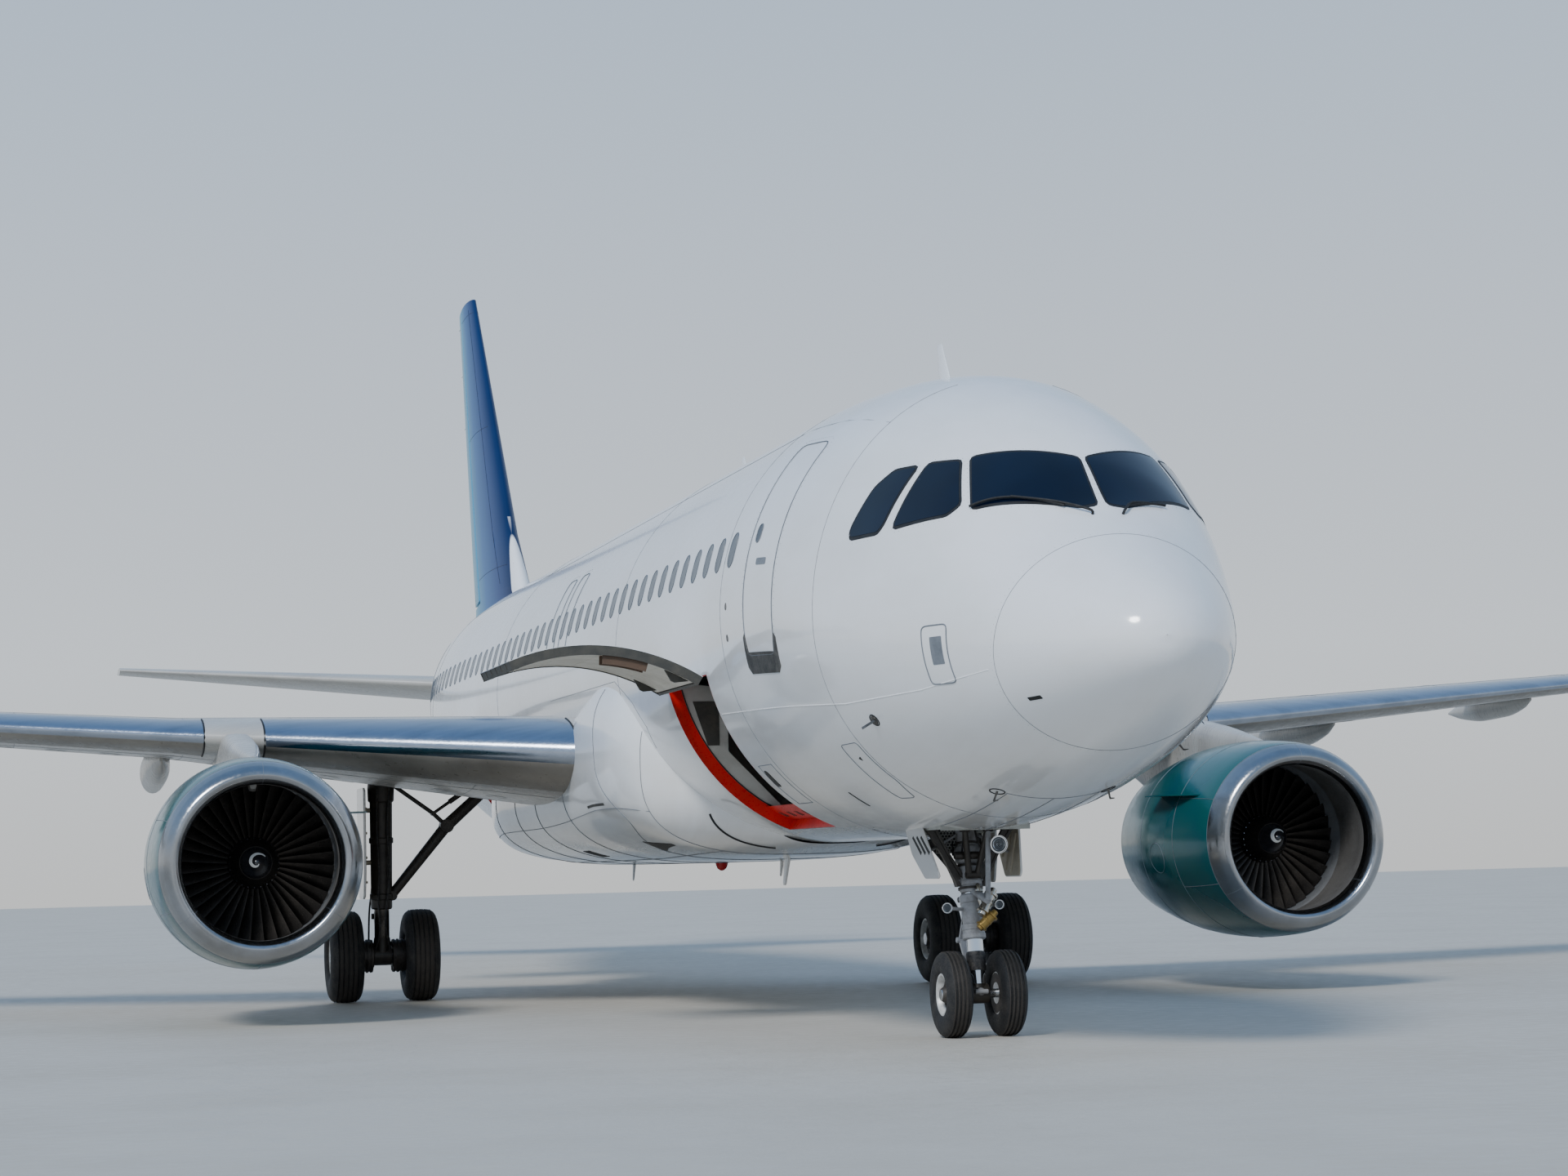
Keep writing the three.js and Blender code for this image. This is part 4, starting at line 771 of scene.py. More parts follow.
DOOR_HALF = 0.91  # half a door's width, a gap less than its doorway's
for name, station in HOLD_DOORS.items():
    y0, y1 = station - DOOR_HALF - MID, station + DOOR_HALF - MID
    heights = np.linspace(1.915, 3.336, 24)
    parts = [(*slab(band(heights, 0.0, 0.006), y0, y1), 0)]
    # Edge frame: four channels round the panel
    for a, b in ((y0, y0 + 0.03), (y1 - 0.03, y1)):
        parts.append((*slab(band(heights, 0.004, 0.095), a, b), 1))
    for z in (1.917, 3.3):
        edge = [wall(z, 0.004), wall(z, 0.095), wall(z + 0.034, 0.095), wall(z + 0.034, 0.004)]
        parts.append((*slab(edge, y0 + 0.002, y1 - 0.002), 1))
    # Cross ribs between the frame's sides, with the liner panels between them
    for y in np.linspace(y0 + 0.3, y1 - 0.3, 5):
        parts.append((*slab(band(heights, 0.006, 0.07), y - 0.012, y + 0.012), 1))
    panel = band(np.linspace(1.97, 3.29, 18), 0.078, 0.086)
    parts.append((*slab(panel, y0 + 0.03, y1 - 0.03), 2))
    for z in (2.2, 2.45, 2.7, 2.95, 3.2):
        bead = [wall(z + rise, depth) for rise, depth in
                ((-0.006, 0.084), (-0.004, 0.089), (0.004, 0.089), (0.006, 0.084))]
        parts.append((*slab(bead, y0 + 0.05, y1 - 0.05), 2))
    # A brown handle box on the forward edge, and the arms of the two lifting jacks near the hinges
    plate = band(np.linspace(2.45, 2.83, 6), 0.084, 0.175)
    parts += [(*slab(plate, y0 + a, y0 + b), 3) for a, b in ((0.034, 0.05), (0.2, 0.212))]
    arm = [wall(3.26, 0.084), wall(3.14, 0.16), wall(3.1, 0.16), wall(3.0, 0.084)]
    parts += [(*slab(arm, y, y + 0.03), 1) for y in (y0 + 0.12, y1 - 0.18)]
    # Latch hooks along the bottom edge and the knuckles at the top
    hook = [wall(1.93, 0.05), wall(1.917, 0.07), wall(1.92, 0.094), wall(1.95, 0.098), wall(1.97, 0.05)]
    parts += [(*slab(hook, y - 0.02, y + 0.02), 1) for y in np.linspace(y0 + 0.12, y1 - 0.12, 6)]
    parts = [swung(part) for part in parts]
    lugs = []
    for knuckle in (-0.62, 0.62):
        y = station + knuckle - MID
        pin = [circle((HINGE_X, y + e, HINGE_Z), (0, 1, 0), 0.0089, 12) for e in (-0.06, 0.06)]
        parts.append((*rings(pin, True, True), 1))
        strap = band((3.29, 3.32, 3.348), 0.02, -0.022)
        parts.append(swung((*slab(strap, y - 0.06, y + 0.06), 1)))
        # The lugs on the fuselage that carry the pin
        for e in (-0.086, 0.066):
            y = station + knuckle + e - MID
            lug = [circle((HINGE_X, y + k, HINGE_Z), (0, 1, 0), 0.0095, 12) for k in (0, 0.02)]
            lugs.append(rings(lug, True, True))
    add_piece(name + "_panel", parts, [white_paint_and_belly_shade, frame_grey, door_liner, box_brown], name, [name])
    add_piece(name.replace("_door", "_hinge_lugs"), lugs, frame_grey)

# Wings: machined alloy skins over two spars and ribs, painted light grey, with the slats, flap,
# aileron and track fairings as pieces of their own. Each section is a cambered aerofoil, and the
# skin runs straight between the rows, as the real skin panels do.
# span, leading edge station, chord, thickness, leading edge height, incidence, flap front, camber
WING = np.array([
    [1.0, 12.4, 6.58, 0.165, 2.75, 3.4, 0.84, 0.012],
    [2.2, 13.02, 5.96, 0.165, 2.86, 3.2, 0.83, 0.014],
    [6.4, 15.21, 3.84, 0.12, 3.195, 1.6, 0.75, 0.018],
    [17.0, 20.74, 1.5, 0.108, 4.13, -0.8, 0.73, 0.018],
])


def thickness(f, row):
    """The mean line's height and the half thickness at a share of the chord."""
    f, chord, ratio = np.asarray(f, float), row[2], row[3]
    curve = 0.2969 * np.sqrt(f) - 0.126 * f - 0.3516 * f**2 + 0.2843 * f**3 - 0.1015 * f**4
    return 4 * row[7] * f * (1 - f) * chord, 5 * ratio * curve * chord


def row_place(row, aft, up):
    """A point of a row's section in space, on the port side or on the fin."""
    aft, up = np.broadcast_arrays(np.asarray(aft, float), np.asarray(up, float))
    if row[0] > 5 and row[4] == 0:
        return np.stack([up, row[1] + aft - MID, np.full_like(up, row[0])], -1)
    tilt = radians(row[5])
    y = row[1] + aft * cos(tilt) + up * sin(tilt) - MID
    return np.stack([np.full_like(up, row[0]), y, row[4] - aft * sin(tilt) + up * cos(tilt)], -1)


def ruled(table, span, shape):
    """A shape of a row's section at any span, on straight lines between the rows."""
    i = min(max(int(np.searchsorted(table[:, 0], span)) - 1, 0), len(table) - 2)
    before, after = table[i], table[i + 1]
    share = (span - before[0]) / (after[0] - before[0])
    return shape(before) * (1 - share) + shape(after) * share


def section_loop(row, front, rear, cove=None, count=26, grow=0.0):
    """A closed outline between two shares of the chord; a cove is hollowed for a hinged surface."""
    front, rear = (v(row) if callable(v) else v for v in (front, rear))
    centre, radius = None, 0
    if cove is not None:
        hinge = cove(row) if callable(cove) else cove
        mean, half = thickness(hinge, row)
        centre, radius = np.array([hinge * row[2], mean]), half + 0.012
        rear = hinge - math.sqrt(radius**2 - half**2) / row[2]
    u = np.linspace(0, 1, count)
    f = rear * (1 - np.cos(u * pi / 2)) if front == 0 else front + (rear - front) * u
    mean, half = thickness(f, row)
    upper = np.stack([f * row[2], mean + half + grow], 1)[::-1]
    lower = np.stack([f * row[2], mean - half - grow], 1)
    loop = [upper[:-1], lower] if front == 0 else [upper, lower]
    if centre is not None:
        start = math.atan2(lower[-1][1] - centre[1], centre[0] - lower[-1][0])
        end = math.atan2(upper[0][1] - centre[1], centre[0] - upper[0][0])
        t = np.linspace(start, end, 12)[1:-1]
        loop.append(centre + radius * np.stack([-np.cos(t), np.sin(t)], 1))
    loop = np.concatenate(loop)
    return row_place(row, loop[:, 0], loop[:, 1])


def strip(table, low, high, front, rear, side=1, **more):
    """A closed solid of a lifting surface between two spans and two shares of the chord."""
    spans = [low] + [r for r in table[:, 0] if low + 1e-3 < r < high - 1e-3] + [high]
    loops = [ruled(table, s, lambda row: section_loop(row, front, rear, **more)) for s in spans]
    return rings([loop * (side, 1, 1) for loop in loops], True, True)


wing_paint = weathered("light_grey_wing_paint", "#B4B2AC", "#96908A", 0.3, grain=0.7, amount=0.7,
                       stretch=(0.6, 2.5, 1), Coat_Weight=0.25, Coat_Roughness=0.15)
bare_alloy = weathered("polished_leading_edge_alloy", "#A5ADB9", "#8A929D", 0.19, 1.0, grain=1.6,
                       amount=0.8, stretch=(0.5, 3, 3), bump=0.0012)
under_slat_paint_and_painted_shade = weathered("shaded_under_slat_grey", "#8B867E", "#5D5851", 0.34, grain=0.8, amount=0.9)
split = lambda row: row[6]
SLAT_LOOP = 59  # points round a slat's section, of which those past 35 lie below its nose
SLAT_REAR = 0.1303  # share of the chord where the wing box starts behind a slat
WELL_FRONT = 40  # the lower skin's first point of a section with a slat ahead of it
SLATS = {"inner_slat": (2.14, 5.43), "outer_slat": (6.1, 16.45)}
WELL_SPANS, WELL_SHARES = (3.495, 4.095), (0.672, 0.785)
AILERON_SPANS = (13.31, 16.14)
TIP_STATION, TIP_Z = WING[-1, 1], WING[-1, 4]
# span, front station, length, half width, depth; then how full a fairing is along its length
TRACKS = [[6.5, 16.7, 3.5, 0.165, 0.43], [8.8, 17.5, 3.3, 0.15, 0.38], [12.4, 19.0, 2.65, 0.13, 0.32]]
TRACK_SHAPE = [[0, 0.12], [0.1, 0.6], [0.3, 0.95], [0.55, 0.98], [0.8, 0.65], [1, 0.08]]


def wing_point(span, f, way, side, grow=0.0, table=WING):
    """A point of the upper (1) or lower (-1) skin of a lifting surface."""
    def shape(row):
        """The point on one row's own section."""
        mean, half = thickness(f, row)
        return row_place(row, f * row[2], mean + way * (half + grow))
    return ruled(table, span, shape) * (side, 1, 1)


SIDES = (("right", -1), ("left", 1))
for side_name, side in SIDES:
    parts = []
    spans = [1.0, 1.9, 2.14, 2.2, *WELL_SPANS, 5.43, 6.1, 13.262, *AILERON_SPANS, 16.45, 17.0]
    for low, high in zip(spans, spans[1:]):
        middle = (low + high) / 2
        front = SLAT_REAR if any(a - 1e-3 < middle < b for a, b in SLATS.values()) else 0
        if AILERON_SPANS[0] < middle < AILERON_SPANS[1]:
            parts.append(strip(WING, low, high, front, None, side, cove=0.76))
        elif 1.9 < middle < 13.262:
            points, faces = strip(WING, low, high, front, lambda row: row[6] - 0.0004 / row[2], side,
                                  count=WELL_FRONT)
            if WELL_SPANS[0] < middle < WELL_SPANS[1]:
                # The gear well is open below: the lower skin's faces there are left out
                loop = len(points) // 2
                def in_well(face):
                    """Whether a face lies in the lower skin over the gear well."""
                    if len(face) > 4 or min(face) < WELL_FRONT:
                        return False
                    k = np.array([i % loop for i in face])
                    run = (k - WELL_FRONT) / (WELL_FRONT - 1)
                    f = SLAT_REAR + (WELL_SHARES[1] - SLAT_REAR) * run if front else 0
                    fore = k.min() >= WELL_FRONT and f.min() > WELL_SHARES[0] - 0.011
                    return fore and f.max() < WELL_SHARES[1]
                faces = [f for f in faces if not in_well(f)]
            parts.append((points, faces))
        else:
            parts.append(strip(WING, low, high, front, 1, side))
    add_piece(f"{side_name}_wing_box", parts, wing_paint, nodes=[f"{side_name}_wing"])
    fence = np.array([[0.15, 0], [0.75, 0.42], [1.2, 0.8], [1.3, 0.88], [1.52, 0.89], [1.56, 0.86],
                      [1.5, 0.5], [1.44, -0.02], [1.5, -0.4], [1.56, -0.73], [1.52, -0.76],
                      [1.4, -0.76], [1.32, -0.74], [0.9, -0.4]])
    middle = fence.mean(0)
    loops = []
    for x, size in ((16.96, 0.93), (16.975, 0.985), (16.99, 1), (17.02, 1), (17.035, 0.985),
                    (17.05, 0.93)):
        flat = middle + (fence - middle) * size
        loops.append([(side * x, TIP_STATION + a - MID, TIP_Z + u) for a, u in flat])
    add_piece(f"{side_name}_tip_fence", [rings(loops, True, True)], wing_paint, angle=50)
    for name, (low, high) in SLATS.items():
        # Only the nose and the upper face are bare: the skin below them is painted grey, darkened as
        # painted shade
        points, faces = strip(WING, low, high, 0, 0.13, side, count=30)
        painted = [len(f) < 5 and min(k % SLAT_LOOP for k in f) > 35 for f in faces]
        shapes = [(points, [f for f, p in zip(faces, painted) if p == bool(k)], k) for k in (0, 1)]
        add_piece(f"{side_name}_{name}_skin", shapes, [bare_alloy, under_slat_paint_and_painted_shade],
                  nodes=[f"{side_name}_{name}"], angle=40)
    add_piece(f"{side_name}_flap_skin", [strip(WING, 2.2, 13.25, split, 1, side)], wing_paint,
              nodes=[f"{side_name}_flap"])
    # Track fairings: moulded shells under the wing that cover the flaps' jacks and rails.
    # They are glass fibre, painted as the wing and screwed to brackets under its skin.
    covers = []
    for x, front, length, half, depth in TRACKS:
        loops = []
        for share in np.linspace(0, 1, 26):
            full = float(along(TRACK_SHAPE, share)[1])
            row = ruled(WING, x, lambda r: r)
            keel = row_place(row, front + share * length - row[1], -depth * 0.42 - 0.06 * share)
            a = np.arange(24) * 2 * pi / 24
            out = np.stack([half * np.sin(a), 0 * a, depth * 0.62 * np.cos(a)], 1) * full
            loops.append((keel + out) * (side, 1, 1))
        covers.append(rings(loops, True, True))
    add_piece(f"{side_name}_track_fairings", covers, wing_paint, angle=60)

# Belly fairing: sandwich panels of glass fibre that blend the wing roots into the fuselage.
# White like the flanks, with a fillet that swells round the root of each leading edge.
# station, half width, top, bottom
FAIRING = [
    [9.9, 0.7, 2.6, 1.76], [10.2, 1.08, 2.86, 1.73], [10.6, 1.52, 3.3, 1.695], [11.1, 1.93, 3.74, 1.655],
    [11.7, 2.09, 3.96, 1.63], [12.4, 2.15, 4.0, 1.612], [13.2, 2.175, 3.86, 1.6], [14.4, 2.18, 3.6, 1.6],
    [16, 2.18, 3.45, 1.6], [18.5, 2.18, 3.4, 1.6], [20, 2.06, 3.15, 1.63], [21, 1.65, 2.75, 1.68],
    [21.72, 0.7, 2.2, 1.755],
]
stations = np.unique(np.concatenate([np.linspace(FAIRING[0][0], 12.2, 30), np.linspace(12.2, 18.5, 40),
                                     np.linspace(18.5, FAIRING[-1][0], 36)]))
turns = np.linspace(0, 2 * pi, 120, endpoint=False)
soften = lambda v: np.sign(v) * np.abs(v) ** 0.68


def on_fairing(station, angle, grow=0.002):
    """A point of the fairing: angle 0 is its top and a quarter turn the port side."""
    half, top, bottom = along(FAIRING, station)[1:]
    x = (half + grow) * soften(np.sin(angle))
    z = (top + bottom) / 2 + ((top - bottom) / 2 + grow) * soften(np.cos(angle))
    return np.stack([x, np.full_like(x, station - MID), z], -1)


loops = np.array([on_fairing(s, turns, 0) for s in stations])
# A quad is left out where all four of its corners are well inside the fuselage
hidden = inside_hull(loops, 0.02)
hidden &= np.roll(hidden, -1, 1)
count = len(turns)
panels = grid_faces(len(loops), count, True, lambda i, j: hidden[i, j] and hidden[i + 1, j])
add_piece("belly_fairing_panels", [(loops, panels)], white_paint_and_belly_shade, nodes=["belly_fairing"],
          closed=False, angle=60)

# Tailplane and fin: one-piece carbon boxes painted grey and, for the fin, teal-blue. Across the fin's chord
# the colour runs from a teal strip at the leading edge through deep blue to pale blue at the rudder:
# painted light, painted shade and painted sky reflection; the fillet ahead of it is white.
# The columns are the wing's; a row of the fin lies flat at the height in its first column
TAILPLANE = np.array([
    [0.3, 32.7, 4.1, 0.1, 4.722, 0, 0.7, 0],
    [1.0, 33.08, 3.79, 0.1, 4.785, 0, 0.7, 0],
    [6.225, 35.83, 1.3, 0.09, 5.245, 0, 0.7, 0],
])
FIN = np.array([
    [5.25, 29.2, 6.15, 0.09, 0, 0, 0.72, 0],
    [6.15, 29.75, 5.35, 0.1, 0, 0, 0.7, 0],
    [7.15, 30.9, 4.5, 0.1, 0, 0, 0.6763, 0],
    [11.76, 34.74, 1.84, 0.09, 0, 0, 0.6902, 0],
])
fin_paint_with_painted_light, tree, shader = new_finish("teal_fin_paint_with_painted_light_and_shade", "#1F86B8", 0.42, Specular_IOR_Level=0.22)
where = add_node(tree, "ShaderNodeTexCoord").outputs["Object"]
parts_of = add_node(tree, "ShaderNodeSeparateXYZ", {0: where})
# How far a point lies behind the sloping leading edge, as a share of the chord at its height
slope = add_node(tree, "ShaderNodeMath", {0: parts_of.outputs[2], 1: -0.868, 2: parts_of.outputs[1]},
                 operation="MULTIPLY_ADD")
behind = add_node(tree, "ShaderNodeMath", {0: slope.outputs[0], 1: -5.534}, operation="ADD")
chord = add_node(tree, "ShaderNodeMath", {0: parts_of.outputs[2], 1: -0.625, 2: 9.284},
                 operation="MULTIPLY_ADD")
share = add_node(tree, "ShaderNodeMath", {0: behind.outputs[0], 1: chord.outputs[0]}, operation="DIVIDE")
cloud = add_node(tree, "ShaderNodeTexNoise", {"Vector": where, "Scale": 0.9, "Detail": 3.0})
drift = add_node(tree, "ShaderNodeMath", {0: cloud.outputs[0], 1: 0.06, 2: share.outputs[0]},
                 operation="MULTIPLY_ADD")
# The ramp paints light and shade on the fin: a sunlit teal strip, a shaded navy band, then sky reflection
# paling towards the rudder
painted_light_ramp = add_node(tree, "ShaderNodeValToRGB", {0: drift.outputs[0]})
painted_light_ramp.color_ramp.elements[0].color = linear("#4BB9C8")
painted_light_ramp.color_ramp.elements[1].color = linear("#86B4C4")
for at, colour in ((0.05, "#2890A6"), (0.09, "#05204A"), (0.24, "#0B3C76"), (0.5, "#1C65A0"),
                   (0.75, "#4F93B6")):
    painted_light_ramp.color_ramp.elements.new(at).color = linear(colour)
# The fillet is white up to 7.46 m, but for what lies behind the leading edge's own slope
ahead = add_node(tree, "ShaderNodeMapRange",
                 {"Value": slope.outputs[0], "From Min": 5.89, "From Max": 5.91})
above = add_node(tree, "ShaderNodeMapRange",
                 {"Value": parts_of.outputs[2], "From Min": 7.45, "From Max": 7.47})
base = add_node(tree, "ShaderNodeMath", {0: ahead.outputs[0], 1: above.outputs[0]}, operation="MAXIMUM")
mixed = add_node(tree, "ShaderNodeMix", {"Factor": base.outputs[0], 6: linear("#EEF0F2"),
                                         7: painted_light_ramp.outputs[0]}, data_type="RGBA")
tree.links.new(mixed.outputs[2], shader.inputs["Base Color"])


ELEVATOR_SPANS = (1.218, 6.145)
RUDDER_LOW = 6.2


def smooth_copy(node, finish):
    """A merged, smooth-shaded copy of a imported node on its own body, which it then stands for."""
    source = bpy.data.objects[node] if node in bpy.data.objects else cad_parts[node]
    mesh = merged(source.data.copy())
    mesh.materials.clear()
    mesh.materials.append(finish)
    settle(linked(node + "_skin", mesh), node, [node], 30)


for side_name, side in SIDES:
    smooth_copy(f"{side_name}_aileron", wing_paint)
    smooth_copy(f"{side_name}_elevator", wing_paint)
    parts = [strip(TAILPLANE, 0.3, ELEVATOR_SPANS[0], 0, 1, side),
             strip(TAILPLANE, *ELEVATOR_SPANS, 0, None, side, cove=0.7),
             strip(TAILPLANE, ELEVATOR_SPANS[1], 6.225, 0, 1, side)]
    add_piece(f"{side_name}_stabiliser_skin", parts, wing_paint, nodes=[f"{side_name}_stabiliser"])
smooth_copy("rudder", fin_paint_with_painted_light)
parts = [strip(FIN, 5.25, RUDDER_LOW, 0, 1), strip(FIN, RUDDER_LOW, 11.76, 0, None, cove=split)]
add_piece("fin_skin", parts, fin_paint_with_painted_light, nodes=["fin"])

# Engine nacelles: a spun alloy lip, left bare and polished, then painted composite cowls that hinge
# at the pylon, a perforated duct lining, and a reverser sleeve behind the joint at 2.3 m.
ENGINE_X, ENGINE_Z, LIP_STATION = 5.75, 1.715, 11.36
COWL = [[0.08, 1.0], [0.2, 1.045], [0.45, 1.085], [0.9, 1.115], [1.4, 1.13], [1.9, 1.118],
        [2.4, 1.08], [3.0, 1.0], [3.45, 0.925]]
DUCT = [[0.09, 0.822], [0.25, 0.81], [0.6, 0.84], [1.0, 0.87], [1.5, 0.87], [1.7, 0.85],
        [2.6, 0.81], [3.0, 0.85], [3.45, 0.905]]
cowl_paint = weathered("deep_teal_cowl_paint", "#025353", "#03425A", 0.16, grain=0.9, amount=0.6,
                       Specular_IOR_Level=0.34)
lip_alloy = weathered("spun_polished_lip_alloy", "#A3A5A8", "#86847F", 0.2, 1.0, grain=2.2,
                      amount=0.7, bump=0.001)
fan_metal = weathered("dark_titanium_fan_blade", "#4B4743", "#2E2B29", 0.34, 0.85, grain=5, amount=0.7)
spinner_black = weathered("black_spinner_enamel", "#15161A", "#2C2B2B", 0.2, grain=6, amount=0.4,
                          Coat_Weight=0.8)
spiral_white = weathered("white_spiral_enamel", "#E9E9E4", "#C9C7BE", 0.35, grain=9)
bypass_grey = weathered("satin_grey_composite", "#8D9093", "#66676A", 0.4, 0.2, grain=3, amount=0.7)
hot_metal = weathered("heat_tinted_nickel_alloy", "#8A7B6C", "#4C4B55", 0.3, 1.0, grain=2.5,
                      amount=1.0, stretch=(1, 0.4, 1))
# The lining's holes are 1.5 mm across in the real duct; drawn as a coarser dimpled pattern
lining = weathered("perforated_duct_lining", "#7C7A77", "#5A5754", 0.5, 0.5, grain=3, amount=0.6)
tree = lining.node_tree
where = found(tree, "ShaderNodeTexCoord").outputs["Object"]
cells = add_node(tree, "ShaderNodeTexVoronoi", {"Vector": where, "Scale": 70.0}, feature="DISTANCE_TO_EDGE")
dimple = add_node(tree, "ShaderNodeBump", {"Height": cells.outputs[0], "Strength": 0.5, "Distance": 0.004})
tree.links.new(dimple.outputs[0], tree.nodes["Principled BSDF"].inputs["Normal"])


def lathe(profile, start, axis, sides=64, closed=False):
    """A turned shape from (distance along the axis, radius) pairs."""
    axis = Vector(axis).normalized()
    loops = [circle(Vector(start) + axis * d, axis, max(r, 1e-6), sides) for d, r in profile]
    return rings(loops + loops[:1] if closed else loops)


def rod(a, b, radius, end=None, sides=20, soft=0.005):
    """A round bar with softened ends."""
    a, b = Vector(a), Vector(b)
    length = (b - a).length
    end = radius if end is None else end
    soft = min(soft, length / 4, radius / 3)
    return lathe([(0, 0), (0, radius - soft), (soft, radius), (length - soft, end), (length, end - soft),
                  (length, 0)], a, b - a, sides)


def pin(centre, half, radius, sides=20):
    """A round bar that reaches the vector half either way from its middle."""
    centre, half = Vector(centre), Vector(half)
    return rod(centre - half, centre + half, radius, sides=sides)


copies, given = new_tree("copies round an axis", Count=12, Centre=(0, 0, 0), Axis=(0, 0, 1), Finish=None)
spots = add_node(copies, "GeometryNodePoints",
                 {"Count": given.outputs["Count"], "Position": given.outputs["Centre"]})
number = add_node(copies, "GeometryNodeInputIndex")
share = add_node(copies, "ShaderNodeMath", {0: number.outputs[0], 1: given.outputs["Count"]},
                 operation="DIVIDE")
turn = add_node(copies, "ShaderNodeMath", {0: share.outputs[0], 1: 2 * pi}, operation="MULTIPLY")
twist = add_node(copies, "FunctionNodeAxisAngleToRotation",
                 {"Axis": given.outputs["Axis"], "Angle": turn.outputs[0]})
placed = add_node(copies, "GeometryNodeInstanceOnPoints",
                  {"Points": spots.outputs[0], "Instance": given.outputs["Geometry"],
                   "Rotation": twist.outputs[0]})
end_tree(copies, placed, given.outputs["Finish"])


def copied(name, shape, count, centre, axis, finish, body="airframe", **more):
    """Copies of one closed shape, turned round an axis through a centre."""
    values = {"Count": count, "Centre": centre, "Axis": axis, "Finish": finish}
    run_tree(name, copies, shape_mesh("source", [shape]), values, body, **more)


BLADE_ROOT, BLADE_TIP = 0.258, 0.8615


def fan_blade():
    """One twisted, cambered blade about the fan's centre, standing along +Z."""
    loops = []
    a, b = np.cos(np.linspace(0, 2 * pi, 15)[:-1]), np.sin(np.linspace(0, 2 * pi, 15)[:-1])
    for t in np.linspace(0, 1, 10):
        radius, half = BLADE_ROOT + t * (BLADE_TIP - BLADE_ROOT), 0.095 + t * 0.029
        angle, thick = radians(28 + 32 * t**0.85), 0.009 - 0.0055 * t
        along_chord, off = half * a, thick * b + 0.02 * (1 - t * 0.6) * (1 - a * a)
        x = along_chord * sin(angle) + off * cos(angle)
        y = along_chord * cos(angle) - off * sin(angle)
        loops.append(np.stack([x, y, np.sqrt(radius**2 - x * x)], 1))
    return rings(loops, True, True)


def radius_at(table, a):
    """The second column of a table at a value of its first."""
    return float(along(table, a)[1])


def traced(table, at):
    """(distance, radius) pairs of a table at many distances."""
    return [(a, radius_at(table, a)) for a in at]


def vane(wide, deep, low, high):
    """A flat blade with round edges that stands along +Z between two radii."""
    turn = np.linspace(0, 2 * pi, 11)[:-1]
    return rings([np.stack([wide * np.sin(turn), deep * np.cos(turn), np.full(10, r)], 1)
                  for r in (low, high)], True, True)


FAN_AXIS = (0, 1, 0)
FAN_BLADES, SPINNER_BOLTS, GUIDE_VANES, FRAME_STRUTS = 36, 24, 60, 8
COWL_FRONT, COWL_REAR, DUCT_MOUTH = 0.236, 3.45, 1.0
SPINNER = [[0.69, 0.0], [0.7, 0.028], [0.73, 0.062], [0.8, 0.115], [0.9, 0.172], [1.0, 0.217],
           [1.13, 0.262], [1.28, 0.284], [1.425, 0.29]]
CORE = [(1.43, 0.0), (1.43, 0.06), (1.44, 0.06), (1.44, 0.3), (1.56, 0.43), (1.7, 0.5), (2.05, 0.57),
        (2.4, 0.6), (3.0, 0.585), (3.3, 0.545), (3.6, 0.49)]
NOZZLE = [(3.6, 0.49), (3.9, 0.44), (4.2, 0.395), (4.2, 0.37), (3.95, 0.36), (3.95, 0.27),
          (4.15, 0.245), (4.35, 0.2), (4.6, 0.09), (4.75, 0.02), (4.75, 0)]
# station, half width, bottom, top
PYLON = [[12.5, 0.04, 2.5, 2.85], [13.1, 0.13, 2.4, 2.96], [13.9, 0.195, 2.25, 3.09],
         [14.9, 0.2, 2.18, 3.2], [15.6, 0.2, 2.25, 3.2], [16.4, 0.17, 2.48, 3.15],
         [17.1, 0.11, 2.72, 3.12], [17.7, 0.03, 2.92, 3.1]]
near = np.linspace(0, 1, 12)[:-1] ** 2
outer = [(a * 0.08, 0.9 + 0.1 * math.sqrt(a)) for a in near]
outer += traced(COWL, (0.08, 0.1, 0.13, 0.17, 0.2, 0.235))
inner = [(a * 0.09, 0.9 - 0.078 * a**0.42) for a in near[1:]] + traced(DUCT, (0.09, 0.13, 0.17, 0.2))
lip = inner[::-1] + outer
duct_rim = (3.452, 0.92)
nose = [(0.69, 0.0)] + traced(SPINNER, [0.69, 0.692, 0.696, *np.linspace(0.7, 0.895, 16)])
